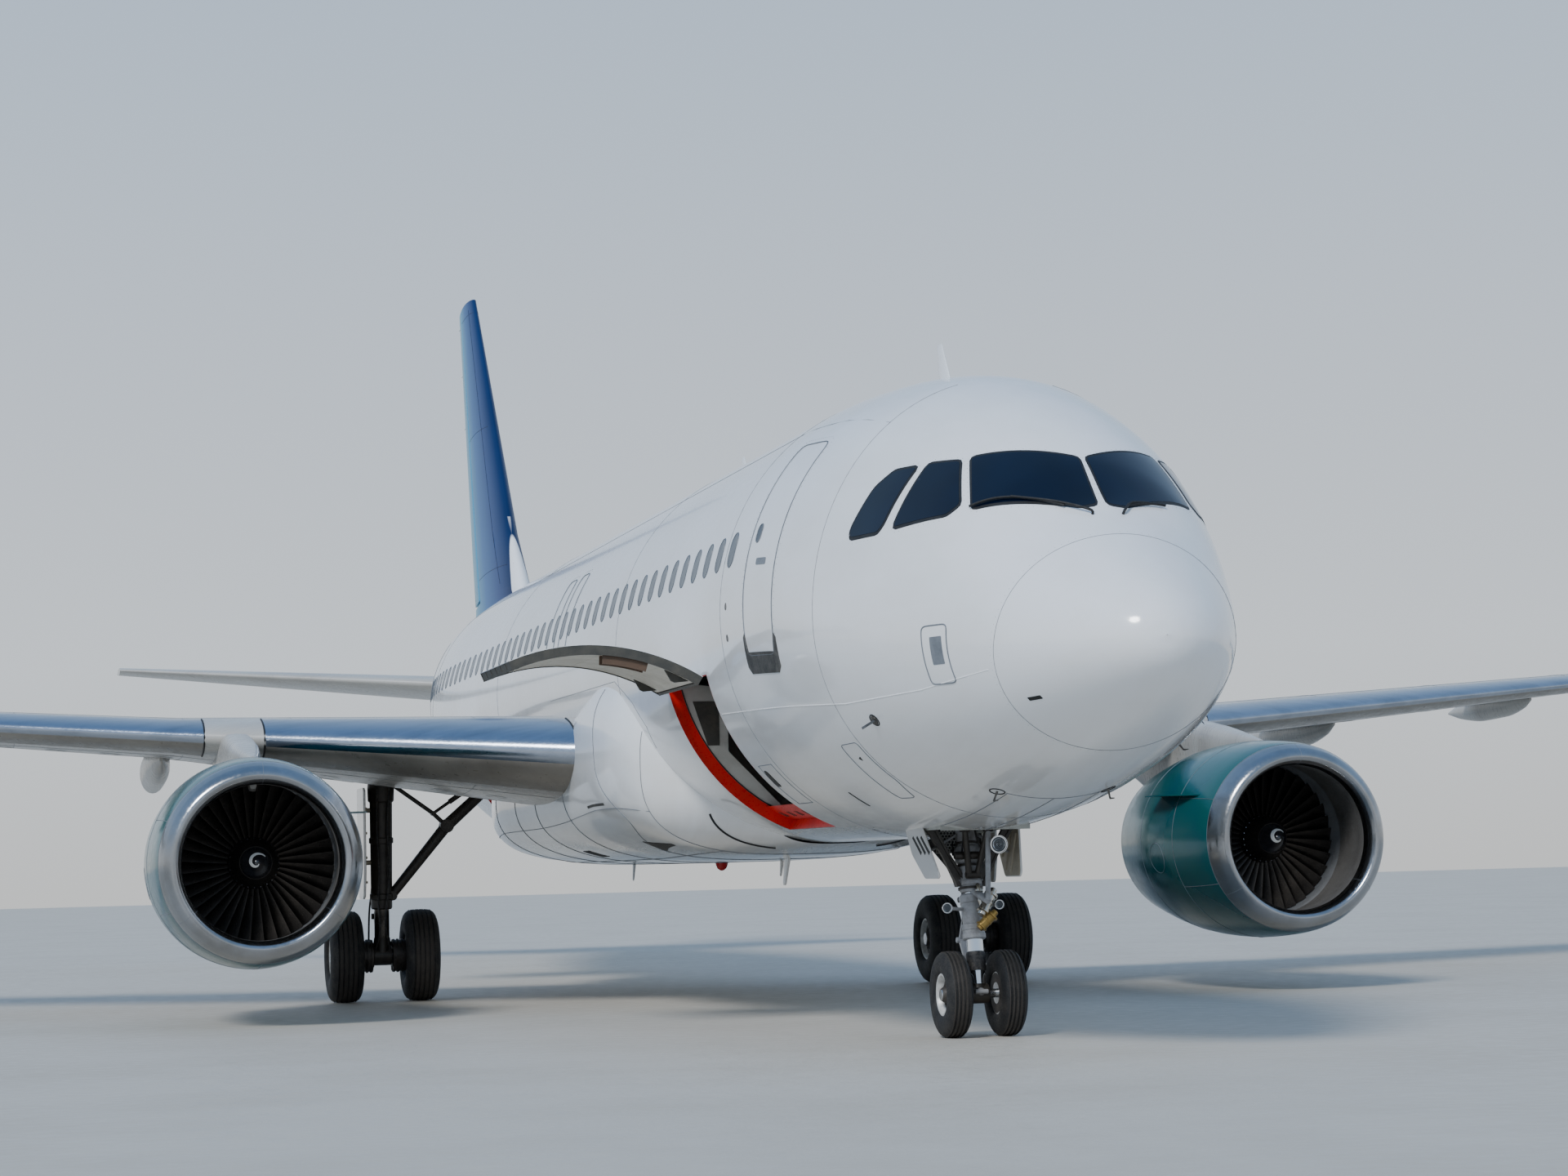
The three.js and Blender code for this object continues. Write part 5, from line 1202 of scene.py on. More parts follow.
for side_name, side in SIDES:
    x, z, lip_y = side * ENGINE_X, ENGINE_Z, LIP_STATION - MID
    fan = f"{side_name}_fan"
    def spun(profile, sides=96):
        """A shape turned about the engine's axis, measured aft from the lip."""
        return lathe(profile, (x, lip_y, z), FAN_AXIS, sides)
    def on_ring(a, r, t):
        """A point aft of the lip, at a radius and a turn from the top."""
        return (x + r * sin(t), a + lip_y, z + r * cos(t))
    def on_cowl(a, degrees):
        """A point of the cowl's outside."""
        return on_ring(a, radius_at(COWL, a), radians(degrees))
    add_piece(f"{side_name}_inlet_lip",
              [spun([(0.2, inner[-1][1] + 0.012)] + lip + [(0.235, outer[-1][1] - 0.012)])], lip_alloy,
              nodes=[f"{side_name}_inlet_cowl"], closed=False, angle=50)
    skin_line = [(COWL_FRONT, radius_at(COWL, COWL_FRONT) - 0.012)]
    skin_line += traced(COWL, np.linspace(COWL_FRONT, COWL_REAR, 60)) + [duct_rim]
    add_piece(f"{side_name}_cowl_skin", [spun(skin_line)], cowl_paint, nodes=[f"{side_name}_fan_cowl"],
              closed=False, angle=50)
    add_piece(f"{side_name}_duct_lining", [spun(traced(DUCT, np.linspace(DUCT_MOUTH, 0.2, 20)))], lining,
              closed=False, angle=60)
    add_piece(f"{side_name}_bypass_duct",
              [spun([duct_rim] + traced(DUCT, np.linspace(COWL_REAR, DUCT_MOUTH, 40)))], bypass_grey,
              closed=False, angle=50)
    # Joints of the cowls: rings, the split along the top and bottom, and round access hatches
    joints = [[on_ring(a, radius_at(COWL, a), t) for t in np.linspace(0, 2 * pi, 97)]
              for a in (COWL_FRONT, 1.15, 2.3)]
    joints += [[on_cowl(a, d) for a in np.linspace(COWL_FRONT, end, 24)]
               for d, end in ((180, 3.4), (65, 1.15), (-65, 1.15), (118, 1.15), (-118, 1.15))]
    joints += [[on_cowl(1.72 + 0.24 * cos(t), d + 9 * sin(t)) for t in np.linspace(0, 2 * pi, 33)]
               for d in (118, -100)]
    drawn(f"{side_name}_cowl_joints", lines, joints, sealant, Width=0.006)
    lip_seams = [[on_ring(a, r, t) for a, r in lip] for t in (0.02, 2.2, -2.2)]
    drawn(f"{side_name}_lip_seams", lines, lip_seams, sealant, Width=0.003)
    points, faces = box((-0.014, -0.05, -0.004), (0.014, 0.05, 0.006))
    latches = [(points + np.array(on_cowl(a, 180)), faces) for a in (1.35, 1.7, 2.05, 2.6, 2.95)]
    add_piece(f"{side_name}_cowl_latches", latches, bare_alloy)
    # A strake on the inboard side, riveted to the cowl, steadies the flow over the wing
    def strake_point(a, out, across):
        """A point of the strake: metres aft, off the cowl and across its own thickness."""
        d, r = radians(62), radius_at(COWL, a) - 0.02
        return (x - side * (r * sin(d) + out), a + lip_y, z + r * cos(d) + across)
    line = [(0.55, 0.0), (0.8, 0.1), (1.05, 0.2), (1.2, 0.24), (1.75, 0.24), (1.78, 0.0)]
    strake = rings([[strake_point(a, out, e) for a, out in line] for e in (-0.007, 0.007)], True, True)
    add_piece(f"{side_name}_nacelle_strake", [strake], cowl_paint)

    # Fan: titanium blades round a pointed spinner whose white spiral shows when it is turning.
    # The blades slot into a disc behind the spinner, which a ring of small bolts holds on.
    centre = Vector((x, 1.29 + lip_y, z))
    copied(f"{side_name}_fan_blades", fan_blade(), FAN_BLADES, centre, FAN_AXIS, fan_metal, fan,
           nodes=[fan], slot="fan_metal", angle=50)
    add_piece(f"{side_name}_spinner_cone", [spun(nose + [(0.896, 0.15)], 64)], spinner_black, fan)
    rear = traced(SPINNER, np.linspace(0.9, 1.425, 20))
    base = spun([(0.9, 0.15)] + rear + [(1.425, 0.0)], 64)
    add_piece(f"{side_name}_spinner_base", [base], fan_metal, fan)
    t = np.linspace(0, 1, 40)
    theta, middle = 0.6 + t * 5.0, 0.112 * (1 - t) + 0.02 * t
    wide = 0.0145 * np.sin(pi * np.clip(t * 0.9 + 0.08, 0, 1)) ** 0.8 + 0.001
    near_edge, far_edge = (np.stack([r * np.cos(theta), r * np.sin(theta)], 1)
                           for r in (middle + wide, middle - wide))
    depths, radii = np.array(nose).T
    def on_cone(a, b, grow):
        """A point of the spinner's cone, a across and b up from its axis."""
        depth = np.interp(np.hypot(a, b), radii, depths)
        return np.stack([x + a, depth + lip_y - grow * 1.3, z + b], -1)
    spiral = patch(np.concatenate([near_edge, far_edge[::-1]]), on_cone, 0.002, -0.002, 0.012)
    add_piece(f"{side_name}_spinner_spiral", [spiral], spiral_white, fan)
    bolt = lathe([(0, 0), (0, 0.006), (0.01, 0.006), (0.01, 0)], (0, -0.275, 0.257), (0, -1, 0.4), 8)
    copied(f"{side_name}_spinner_bolts", bolt, SPINNER_BOLTS, centre + Vector((0, 0.12, 0)), FAN_AXIS,
           bare_alloy, fan)

    # Engine core: guide vanes across the bypass duct, the core cowl, the hot nozzle and its plug.
    # Vanes and cowl are grey composite bolted to the engine's frames; the nozzle is a nickel alloy.
    add_piece(f"{side_name}_core_cowl", [spun(CORE)], bypass_grey, nodes=[f"{side_name}_engine_core"],
              closed=False, angle=40)
    add_piece(f"{side_name}_hot_nozzle", [spun(NOZZLE)], hot_metal, closed=False,
              angle=35)
    for part, shape, count, aft in (("guide_vanes", vane(0.006, 0.075, 0.44, 0.862), GUIDE_VANES, 1.66),
                                    ("frame_struts", vane(0.022, 0.13, 0.5, 0.83), FRAME_STRUTS, 1.98)):
        copied(f"{side_name}_{part}", shape, count, (x, aft + lip_y, z), FAN_AXIS, bypass_grey)

    # Pylon: a riveted steel and titanium box that hangs the engine from the wing, under thin
    # fairings painted as the wing. It is bolted to the wing's spar above and the engine below.
    a = np.arange(28) * 2 * pi / 28
    loops = []
    for s, half, low, high in along(PYLON, np.linspace(PYLON[0][0], PYLON[-1][0], 40)):
        across = half * np.sign(np.sin(a)) * np.abs(np.sin(a)) ** 0.45
        rise = (low + high) / 2 + (high - low) / 2 * np.sign(np.cos(a)) * np.abs(np.cos(a)) ** 0.7
        loops.append(np.stack([x + across, np.full(28, s - MID), rise], 1))
    add_piece(f"{side_name}_pylon_fairing", [rings(loops, True, True)], wing_paint,
              nodes=[f"{side_name}_pylon"], angle=60)

# Tyres: black ribbed rubber, worn grey on the tread, on forged alloy rims enamelled near white with a
# darker grey dish.
# The tread has circumferential grooves only, as aircraft tyres do.
tyre_rubber = weathered("ribbed_tyre_rubber", "#17181A", "#3A3733", 0.72, grain=9, amount=0.8, bump=0.001)
tread_rubber = weathered("worn_grey_tread", "#34302C", "#24211E", 0.8, grain=12, amount=0.8, bump=0.001)
rim_enamel = weathered("white_rim_enamel", "#D2D3D1", "#8B8880", 0.34, 0.1, grain=8, amount=0.9)
darker_rim_dish = weathered("dark_grey_rim_dish", "#45413D", "#272422", 0.6, 0.2, grain=8, amount=0.9)
hub_alloy = weathered("bright_hub_cap_alloy", "#C4C6C9", "#84817C", 0.22, 1.0, grain=8, amount=0.7)
brake_steel = weathered("scorched_brake_steel", "#4E4A47", "#2B2725", 0.5, 0.8, grain=10, amount=0.9)


def tyre(centre, radius, rim, width, grooves):
    """A tyre about the X axis, its middle at the centre."""
    shape = [(0.78, 0.0), (0.9, 0.06), (0.975, 0.2), (1, 0.38), (0.995, 0.52), (0.965, 0.66), (0.9, 0.785),
             (0.8, 0.885), (0.66, 0.95)]
    outer = [(w * width / 2, rim + r * (radius - rim)) for w, r in shape]
    tread = []
    for g in sorted(grooves, reverse=True):
        w, top = g * width / 2, radius * (1 - 0.012 * (g / 0.6) ** 2)
        tread += [(w + 0.01, top), (w + 0.007, top - 0.011), (w - 0.007, top - 0.011), (w - 0.01, top)]
    if 0 not in grooves:
        tread.insert(len(tread) // 2, (0, radius))
    profile = outer + tread + [(-w, r) for w, r in outer[::-1]]
    profile += [(-0.7 * width / 2, rim - 0.004), (0.7 * width / 2, rim - 0.004)]
    return lathe(profile, centre, (1, 0, 0), 72, True)


def banded(shape, centre, edges):
    """A turned shape about X, split by the radius of its faces; each band takes the next finish."""
    points, faces = np.asarray(shape[0]), shape[1]
    away = [np.hypot(*(points[f].mean(0) - np.array(centre))[1:]) for f in faces]
    return [(points, [f for f, r in zip(faces, away) if low <= r < high], k)
            for k, (low, high) in enumerate(zip([0, *edges], [*edges, 9]))]


RIM_SHARE = 0.39  # a rim's half width as a share of its tyre's width


def wheel(centre, rim, width, hub, way, sides=56):
    """A rim with its dished disc facing way along X, and the tie bolts' circle as a boss."""
    half = width * RIM_SHARE
    profile = [(-half, rim * 0.5), (-half, rim - 0.012), (-half + 0.008, rim + 0.004),
               (-half + 0.025, rim - 0.002), (half - 0.025, rim - 0.002), (half - 0.008, rim + 0.004),
               (half, rim - 0.004), (half + 0.001, rim - 0.02), (half - 0.012, rim - 0.03),
               (half - 0.06, rim - 0.042), (half - 0.062, rim - 0.048),
               (half - 0.062, rim * 0.57), (half - 0.05, rim * 0.54), (half - 0.05, rim * 0.42),
               (half - 0.02, rim * 0.37), (half + 0.006, hub * 1.35),
               (half + 0.012, hub * 1.2), (half + 0.012, 0.0), (-half, 0.0)]
    return lathe([(way * d, r) for d, r in profile], centre, (1, 0, 0), sides, True)


def wheel_set(prefix, body, axle, offset, rim, width, hub, radius, grooves, nodes, holes):
    """Both wheels of one axle with their tyres, bolts and vent holes."""
    hubs = [pin(axle, (offset, 0, 0), hub, 32)]
    for way in (-1, 1):
        hubs += banded(wheel(axle + Vector((way * offset, 0, 0)), rim, width, hub, way), axle,
                       [hub * 1.3, rim * 0.8])
    add_piece(prefix + "_rims", hubs, [hub_alloy, darker_rim_dish, rim_enamel], body, nodes[:1],
              angle=28)
    face, inner, outer = width * RIM_SHARE, rim * 0.57, rim - 0.048
    size = (outer - inner) * 0.38
    for way, side_name, node in ((-1, "right", nodes[1]), (1, "left", nodes[2])):
        centre, out = axle + Vector((way * offset, 0, 0)), (way, 0, 0)
        worn = banded(tyre(centre, radius, rim, width, grooves), axle, [radius - 0.0075])
        add_piece(f"{prefix}_{side_name}_rubber", worn, [tyre_rubber, tread_rubber], body, [node],
                  angle=40)
        # The vent holes are black discs on the rim's face: painted shade for the open holes
        hole = lathe([(0, 0), (0, size), (0.002, size * 0.9), (0.002, 0)],
                     (way * (face - 0.0625), 0, (inner + outer) / 2), out, 14)
        bolt = lathe([(0, 0), (0, 0.009), (0.014, 0.009), (0.017, 0.006), (0.017, 0)],
                     (way * (face - 0.052), 0, rim * 0.48), out, 6)
        for part, shape, finish in (("vents", hole, spinner_black), ("tie_bolts", bolt, brake_steel)):
            copied(f"{prefix}_{side_name}_{part}", shape, holes, centre, (1, 0, 0), finish, body)


RAKE = radians(9)
NOSE_AXLE_Z = 0.38
MAIN_GEAR_X, MAIN_AXLE_STATION, MAIN_AXLE_Z = 3.795, 17.71, 0.56
nose_axle = Vector((0, 5.07 - MID, NOSE_AXLE_Z))
strut_up = Vector((0, sin(RAKE), cos(RAKE)))
strut = lambda distance, x=0.0, back=0.0: nose_axle + strut_up * distance + Vector((x, back, 0))
wheel_set("nose_wheel", "nose_wheels", nose_axle, 0.25, 0.19, 0.224, 0.04, NOSE_AXLE_Z,
          [-0.5, -0.17, 0.17, 0.5], ["nose_wheel_hubs", "nose_right_tyre", "nose_left_tyre"], 9)
for side_name, side in SIDES:
    axle = Vector((side * MAIN_GEAR_X, MAIN_AXLE_STATION - MID, MAIN_AXLE_Z))
    right_first = [f"{side_name}_main_{place}_tyre" for place in ("outer", "inner")][::-side]
    wheel_set(f"{side_name}_main_wheel", f"{side_name}_main_wheels", axle, 0.4635, 0.262, 0.415, 0.06,
              MAIN_AXLE_Z, [-0.56, -0.28, 0, 0.28, 0.56],
              [f"{side_name}_main_wheel_hubs", *right_first], 12)

# Nose gear leg: a forged steel leg enamelled light grey, braced forwards by a dark V strut and
# carried by a trunnion across the bay. A steering collar with its jack wraps the lower end.
gear_enamel = weathered("light_grey_gear_enamel", "#9C9DA0", "#5B5752", 0.36, grain=7, amount=0.9)
# Dark oily enamel, also used as painted shade on the main gear and on the nose gear's foot, which stand in
# shade
dark_enamel_and_painted_shade = weathered("oily_dark_gear_enamel_and_painted_shade", "#38342F", "#211D1A", 0.4, 0.3, grain=8, amount=0.9)
chrome, tree, shader = new_finish("hard_chromed_piston", "#D5D8DB", 0.07, 1.0)
where = add_node(tree, "ShaderNodeTexCoord").outputs["Object"]
wiped = add_node(tree, "ShaderNodeTexNoise", {"Vector": where, "Scale": 25.0, "Detail": 3.0})
film = add_node(tree, "ShaderNodeMapRange", {"Value": wiped.outputs[0], "To Min": 0.04, "To Max": 0.16})
tree.links.new(film.outputs[0], shader.inputs["Roughness"])
brass = weathered("gold_anodised_fitting", "#A98B4E", "#6F5A35", 0.35, 0.8, grain=9, amount=0.7)
hose_rubber = weathered("braided_hydraulic_hose", "#1D1D1F", "#55524D", 0.55, 0.2, grain=30, amount=0.8)


def turned(profile):
    """A turned shape whose distances are read up the nose strut's axis from the axle."""
    return lathe([(d - profile[0][0], r) for d, r in profile], strut(profile[0][0]), strut_up, 40, True)


leg = turned([(0.9, 0.067), (0.9, 0.088), (0.915, 0.098), (0.96, 0.098), (0.965, 0.108), (1.0, 0.108),
              (1.005, 0.098), (1.16, 0.098), (1.175, 0.118), (1.19, 0.122), (1.29, 0.122), (1.305, 0.118),
              (1.32, 0.098), (1.58, 0.094), (1.6, 0.102), (1.64, 0.102), (1.66, 0.094), (1.95, 0.094),
              (1.98, 0.075), (1.98, 0.0), (1.25, 0.0), (1.25, 0.067)])
arms = []
TRUNNION = 1.93  # metres up the strut from the axle to the pins that carry the leg
for way in (-1, 1):
    arms += [rod(strut(1.42, way * 0.05), strut(TRUNNION, way * 0.33), 0.036, 0.044),
             rod(strut(TRUNNION, way * 0.25), strut(TRUNNION, way * 0.395), 0.062, sides=28),
             rod(strut(1.62, way * 0.08, -0.02), strut(TRUNNION, way * 0.2, -0.02), 0.02)]
arms += [rod(strut(TRUNNION, -0.3996), strut(TRUNNION, 0.3996), 0.046, sides=28),
         rod(strut(1.01, -0.12), strut(1.01, 0.12), 0.03)]
# The broad side arms that spread from the leg to the bay's edges, and a pale tube beside them
CHANNEL = ((-1, -1), (-0.4, -1), (-0.4, -0.5), (0.4, -0.5), (0.4, -1), (1, -1), (1, 1), (-1, 1))
for way in (-1, 1):
    loops = []
    for share, wide, deep in ((0.0, 0.055, 0.05), (0.12, 0.045, 0.04), (0.5, 0.034, 0.026),
                              (0.9, 0.04, 0.03), (1.0, 0.05, 0.04)):
        p = strut(0.98, way * 0.08).lerp(Vector((way * 0.372, 5.2 - MID, 1.87)), share)
        loops.append([p + Vector((way * a * wide * 0.9, b * deep, -a * wide * 0.5)) for a, b in CHANNEL])
    arms.append((*rings(loops, True, True), 1))
elbow = (0.05, 4.86 - MID, 1.2)
arms += [rod((0.112, 5.0 - MID, 1.85), elbow, 0.024), rod(elbow, strut(0.93), 0.034)]
add_piece("nose_gear_leg_forging", [leg, *arms], [gear_enamel, dark_enamel_and_painted_shade], nodes=["nose_gear_leg"],
          angle=35)


# Stubby flanged actuators and their pipes stand at the front of the collar
def actuator(a, b, radius, finish):
    """A turned cylinder from a to b with its end flanges and gland."""
    a, b = Vector(a), Vector(b)
    profile = [(0, 0), (0, 0.7), (0.08, 0.8), (0.1, 1.2), (0.17, 1.2), (0.19, 1.0), (0.4, 1.0),
               (0.42, 1.08), (0.48, 1.08), (0.5, 1.0), (0.7, 1.0), (0.72, 1.25), (0.8, 1.25), (0.82, 0.7),
               (0.98, 0.62), (1.0, 0.5), (1.0, 0.0)]
    run, length = (b - a).normalized(), (b - a).length
    return (*lathe([(d * length, r * radius) for d, r in profile], a, run, 28), finish)


jack = [actuator(strut(0.7, 0.02, -0.2), strut(0.93, 0.17, -0.15), 0.05, 1),
        actuator(strut(0.58, 0.0, -0.17), strut(0.73, 0.16, -0.2), 0.046, 0),
        actuator(strut(0.7, 0.05, -0.19), strut(0.98, 0.03, -0.12), 0.028, 1),
        (*rod(strut(1.235, -0.17, -0.135), strut(1.235, 0.17, -0.135), 0.034, sides=28), 2)]
jack += [(*lathe([(0, r), (0, r + 0.014), (0.022, r + 0.014), (0.022, r)], strut(d), strut_up, 40, True), 2)
         for d, r in ((1.13, 0.098), (1.33, 0.097), (0.925, 0.098))]
steel = weathered("polished_cylinder_steel", "#C9C6BE", "#8A7B58", 0.22, 1.0, grain=9, amount=0.9)
add_piece("nose_steering_jack", jack, [brass, steel, dark_enamel_and_painted_shade])
# The V brace in front of the leg, folded in the middle when the gear comes up
top = Vector((0, 4.85 - MID, 2.29))
knee = strut(1.06, 0, -0.118)
FOLD = 0.52  # share of the brace's length from its top to the fold
brace = [pin(top, (0.3996, 0, 0), 0.034)]
for x in (-0.18, 0.18):
    start, end = top + Vector((x, 0, 0)), knee + Vector((x * 0.22, 0, 0))
    fold = start.lerp(end, FOLD)
    brace += [rod(start, fold, 0.032, 0.026), rod(fold, end, 0.026, 0.03), pin(fold, (0.045, 0, 0), 0.036)]
low, high = (top.lerp(knee + Vector((way * 0.0396, 0, 0)), FOLD) - Vector((way * 0.11, 0, 0))
             for way in (1, -1))
brace += [rod(low, high, 0.02), pin(knee, (0.07, 0, 0), 0.034)]
add_piece("nose_drag_brace_tubes", brace, dark_enamel_and_painted_shade, nodes=["nose_drag_brace"])
# Piston, torque links and foot: they turn with the wheels when the aircraft is steered
slide = turned([(0.0, 0.0), (0.0, 0.06), (0.02, 0.074), (0.6, 0.074), (0.61, 0.062), (1.2, 0.062),
                (1.2, 0.0)])
add_piece("nose_piston_chrome", [slide], chrome, "nose_steering")
link_knee = strut(0.47, 0, 0.33)


def link_plate(a, b, wide_a, wide_b, thick):
    """A tapering forged link between two pins that lie along X."""
    a, b = Vector(a), Vector(b)
    run = (b - a).normalized()
    out = run.cross(Vector((1, 0, 0))).normalized()
    loops = []
    for p, half in ((a - run * 0.03, wide_a * 0.8), (a, wide_a), (a.lerp(b, 0.5), (wide_a + wide_b) * 0.36),
                    (b, wide_b), (b + run * 0.03, wide_b * 0.8)):
        loops.append([p + Vector((sx * half, 0, 0)) + out * sy * thick
                      for sx, sy in ((-1, -1), (1, -1), (1, 1), (-1, 1))])
    return rings(loops, True, True)


# The axle boss and the foot's lowest section take the dark enamel as painted shade under the leg
foot = [(*pin(nose_axle, (0.085, 0, 0), 0.088, 36), 2),
        turned([(0.48, 0.0), (0.48, 0.094), (0.49, 0.104), (0.53, 0.104), (0.535, 0.098), (0.56, 0.098),
                (0.565, 0.104), (0.61, 0.104), (0.62, 0.092), (0.8, 0.09), (0.81, 0.102), (0.87, 0.102),
                (0.885, 0.09), (0.885, 0.0)]),
        (*turned([(0.03, 0.0), (0.03, 0.085), (0.1, 0.07), (0.14, 0.05), (0.2, 0.05), (0.2, 0.0)]), 2),
        (*turned([(0.2, 0.0), (0.2, 0.083), (0.215, 0.086), (0.35, 0.086), (0.37, 0.08), (0.37, 0.0)]), 1),
        link_plate(strut(0.84, 0, 0.07), link_knee, 0.07, 0.045, 0.016),
        link_plate(strut(0.06, 0, 0.05), link_knee, 0.075, 0.045, 0.016),
        pin(link_knee, (0.07, 0, 0), 0.026),
        rod(strut(0.84, -0.09, 0.075), strut(0.84, 0.09, 0.075), 0.024),
        rod(strut(0.02, -0.06, -0.1), strut(0.02, 0.06, -0.1), 0.022),
        rod(strut(0.02, 0, -0.03), strut(0.02, 0, -0.1), 0.034)]
add_piece("nose_gear_foot", foot, [gear_enamel, hose_rubber, dark_enamel_and_painted_shade], "nose_steering",
          ["nose_gear_piston"], angle=35)


# Taxi and runway lamps: sealed beams behind clear ribbed glass in chromed bezels, each bolted to the
# leg on a short enamelled bracket.
def ribbed_glass(name, colour, scale):
    """Pressed glass with fine ribs on it, over a lamp."""
    material, tree, shader = new_finish(name, colour, 0.05, IOR=1.5)
    where = add_node(tree, "ShaderNodeTexCoord").outputs["Object"]
    flutes = add_node(tree, "ShaderNodeTexWave", {"Vector": where, "Scale": scale})
    ribs = add_node(tree, "ShaderNodeBump",
                    {"Height": flutes.outputs[0], "Strength": 0.4, "Distance": 0.002})
    tree.links.new(ribs.outputs[0], shader.inputs["Normal"])
    return material


lamp_glass = ribbed_glass("clear_lamp_glass", "#3C444B", 60.0)
lamps, lenses, brackets = [], [], []
for x, s, z, r in ((0.176, 4.9, 1.69, 0.08), (-0.292, 4.98, 1.141, 0.046), (0.19, 4.98, 1.16, 0.042)):
    spot = Vector((x, s - MID, z))
    rim = [(0.0, r * 0.9), (-0.012, r * 0.95), (-0.012, r), (0.01, r), (0.05, r * 0.7), (0.08, r * 0.3),
           (0.085, 0.0), (0.0, 0.0)]
    dish = [(-0.004, 0.0), (-0.003, r * 0.6), (0.001, r * 0.9), (0.004, 0.0)]
    lamps.append(lathe(rim, spot, (0, 1, 0), 40, True))
    lenses.append(lathe(dish, spot, (0, 1, 0), 40))
    for inner in (0.24, 0.62):
        ring = [(-0.012, r * inner), (-0.004, r * (inner + 0.06)), (0.004, r * inner),
                (-0.004, r * (inner - 0.06))]
        lamps.append(lathe(ring, spot, (0, 1, 0), 40, True))
    foot_point = strut((z - NOSE_AXLE_Z) / cos(RAKE) - 0.02, math.copysign(0.08, x))
    brackets.append(rod(spot + Vector((0, 0.06, 0)), foot_point, 0.016))
add_piece("nose_lamp_bezels", lamps, chrome)
add_piece("nose_lamp_lenses", lenses, lamp_glass, closed=False)
add_piece("nose_lamp_brackets", brackets, gear_enamel)

# Nose gear hoses: braided rubber lines for the steering jack and the wheels' wiring, clipped to the
# leg and left slack where it turns. Each runs on a smooth curve from the leg's top to the collar.
hoses, given = new_tree("hose along a smooth path", Radius=0.01, Finish=None)
path = add_node(hoses, "GeometryNodeMeshToCurve", {0: given.outputs["Geometry"]})
bent = add_node(hoses, "GeometryNodeCurveSplineType", {"Curve": path.outputs[0]}, spline_type="CATMULL_ROM")
fine = add_node(hoses, "GeometryNodeResampleCurve", {"Curve": bent.outputs[0], "Count": 40})
section = add_node(hoses, "GeometryNodeCurvePrimitiveCircle",
                   {"Resolution": 10, "Radius": given.outputs["Radius"]})
tube = add_node(hoses, "GeometryNodeCurveToMesh",
                {"Curve": fine.outputs[0], "Profile Curve": section.outputs[0], "Fill Caps": True})
end_tree(hoses, tube, given.outputs["Finish"])
runs = [[(1.9, 0.12, 0.09), (1.6, 0.1, 0.12), (1.4, 0.12, 0.1), (1.24, 0.14, 0.02)],
        [(1.9, -0.12, 0.09), (1.7, -0.11, 0.12), (1.45, -0.1, 0.13), (1.24, -0.15, -0.03)],
        [(1.85, 0.03, -0.1), (1.6, 0.04, -0.115), (1.4, 0.05, -0.135), (1.27, 0.1, -0.15)],
        [(1.85, -0.05, -0.1), (1.62, -0.05, -0.115), (1.42, -0.07, -0.14), (1.27, -0.1, -0.15)]]
runs = [[strut(*spot) for spot in run] for run in runs]
drawn("nose_gear_hoses", hoses, runs, hose_rubber, Radius=0.009)

# Nose bay: a riveted box of sheet alloy inside the skin, primed pale grey, with pressed stiffeners
# on its walls and roof and a perforated panel that hangs behind the leg.
bay_paint = weathered("pale_grey_bay_primer", "#A9ABA6", "#6E6A62", 0.5, grain=5, amount=0.9)
y0, y1 = BAY[0] - MID - 0.001, BAY[1] - MID + 0.001
sheets = []
for x in (-0.402, 0.402):
    sheets.append(box((min(x, x * 1.03), y0, 1.83), (max(x, x * 1.03), y1, 2.46)))
    for y in np.arange(y0 + 0.12, y1, 0.2):
        inward = x - math.copysign(0.03, x)
        if abs(y - strut(TRUNNION).y) > 0.09 and abs(y - top.y) > 0.06:
            sheets.append(box((min(x, inward), y, 1.86), (max(x, inward), y + 0.02, 2.45)))
sheets += [box((-0.41, y0, 2.45), (0.41, y1, 2.462)), box((-0.41, y0 - 0.012, 1.82), (0.41, y0, 2.46)),
           box((-0.41, y1, 1.8), (0.41, y1 + 0.012, 2.46))]
sheets += [box((-0.4, y, 2.41), (0.4, y + 0.02, 2.45)) for y in np.arange(y0 + 0.1, y1, 0.22)]
add_piece("nose_bay_walls", sheets, bay_paint)
grille_y = 5.34 - MID
grille = [box((-0.27, grille_y, 1.62), (-0.07, grille_y + 0.012, 1.88)),
          box((-0.17, grille_y + 0.012, 1.84), (-0.14, grille_y + 0.03, 2.45))]
add_piece("nose_bay_grille", grille, bay_paint)
# The panel's holes, in staggered rows 26 mm apart, drawn as black discs: painted shade for the open holes
cells = [lathe([(0.0, 0.0), (0.0, 0.0125), (0.006, 0.0125)],
               (-0.252 + 0.03 * k + 0.015 * (row % 2), grille_y - 0.002, 1.645 + 0.026 * row), (0, 1, 0), 6)
         for row in range(9) for k in range(6)]
add_piece("nose_bay_grille_hole_shades", cells, rubber, closed=False)
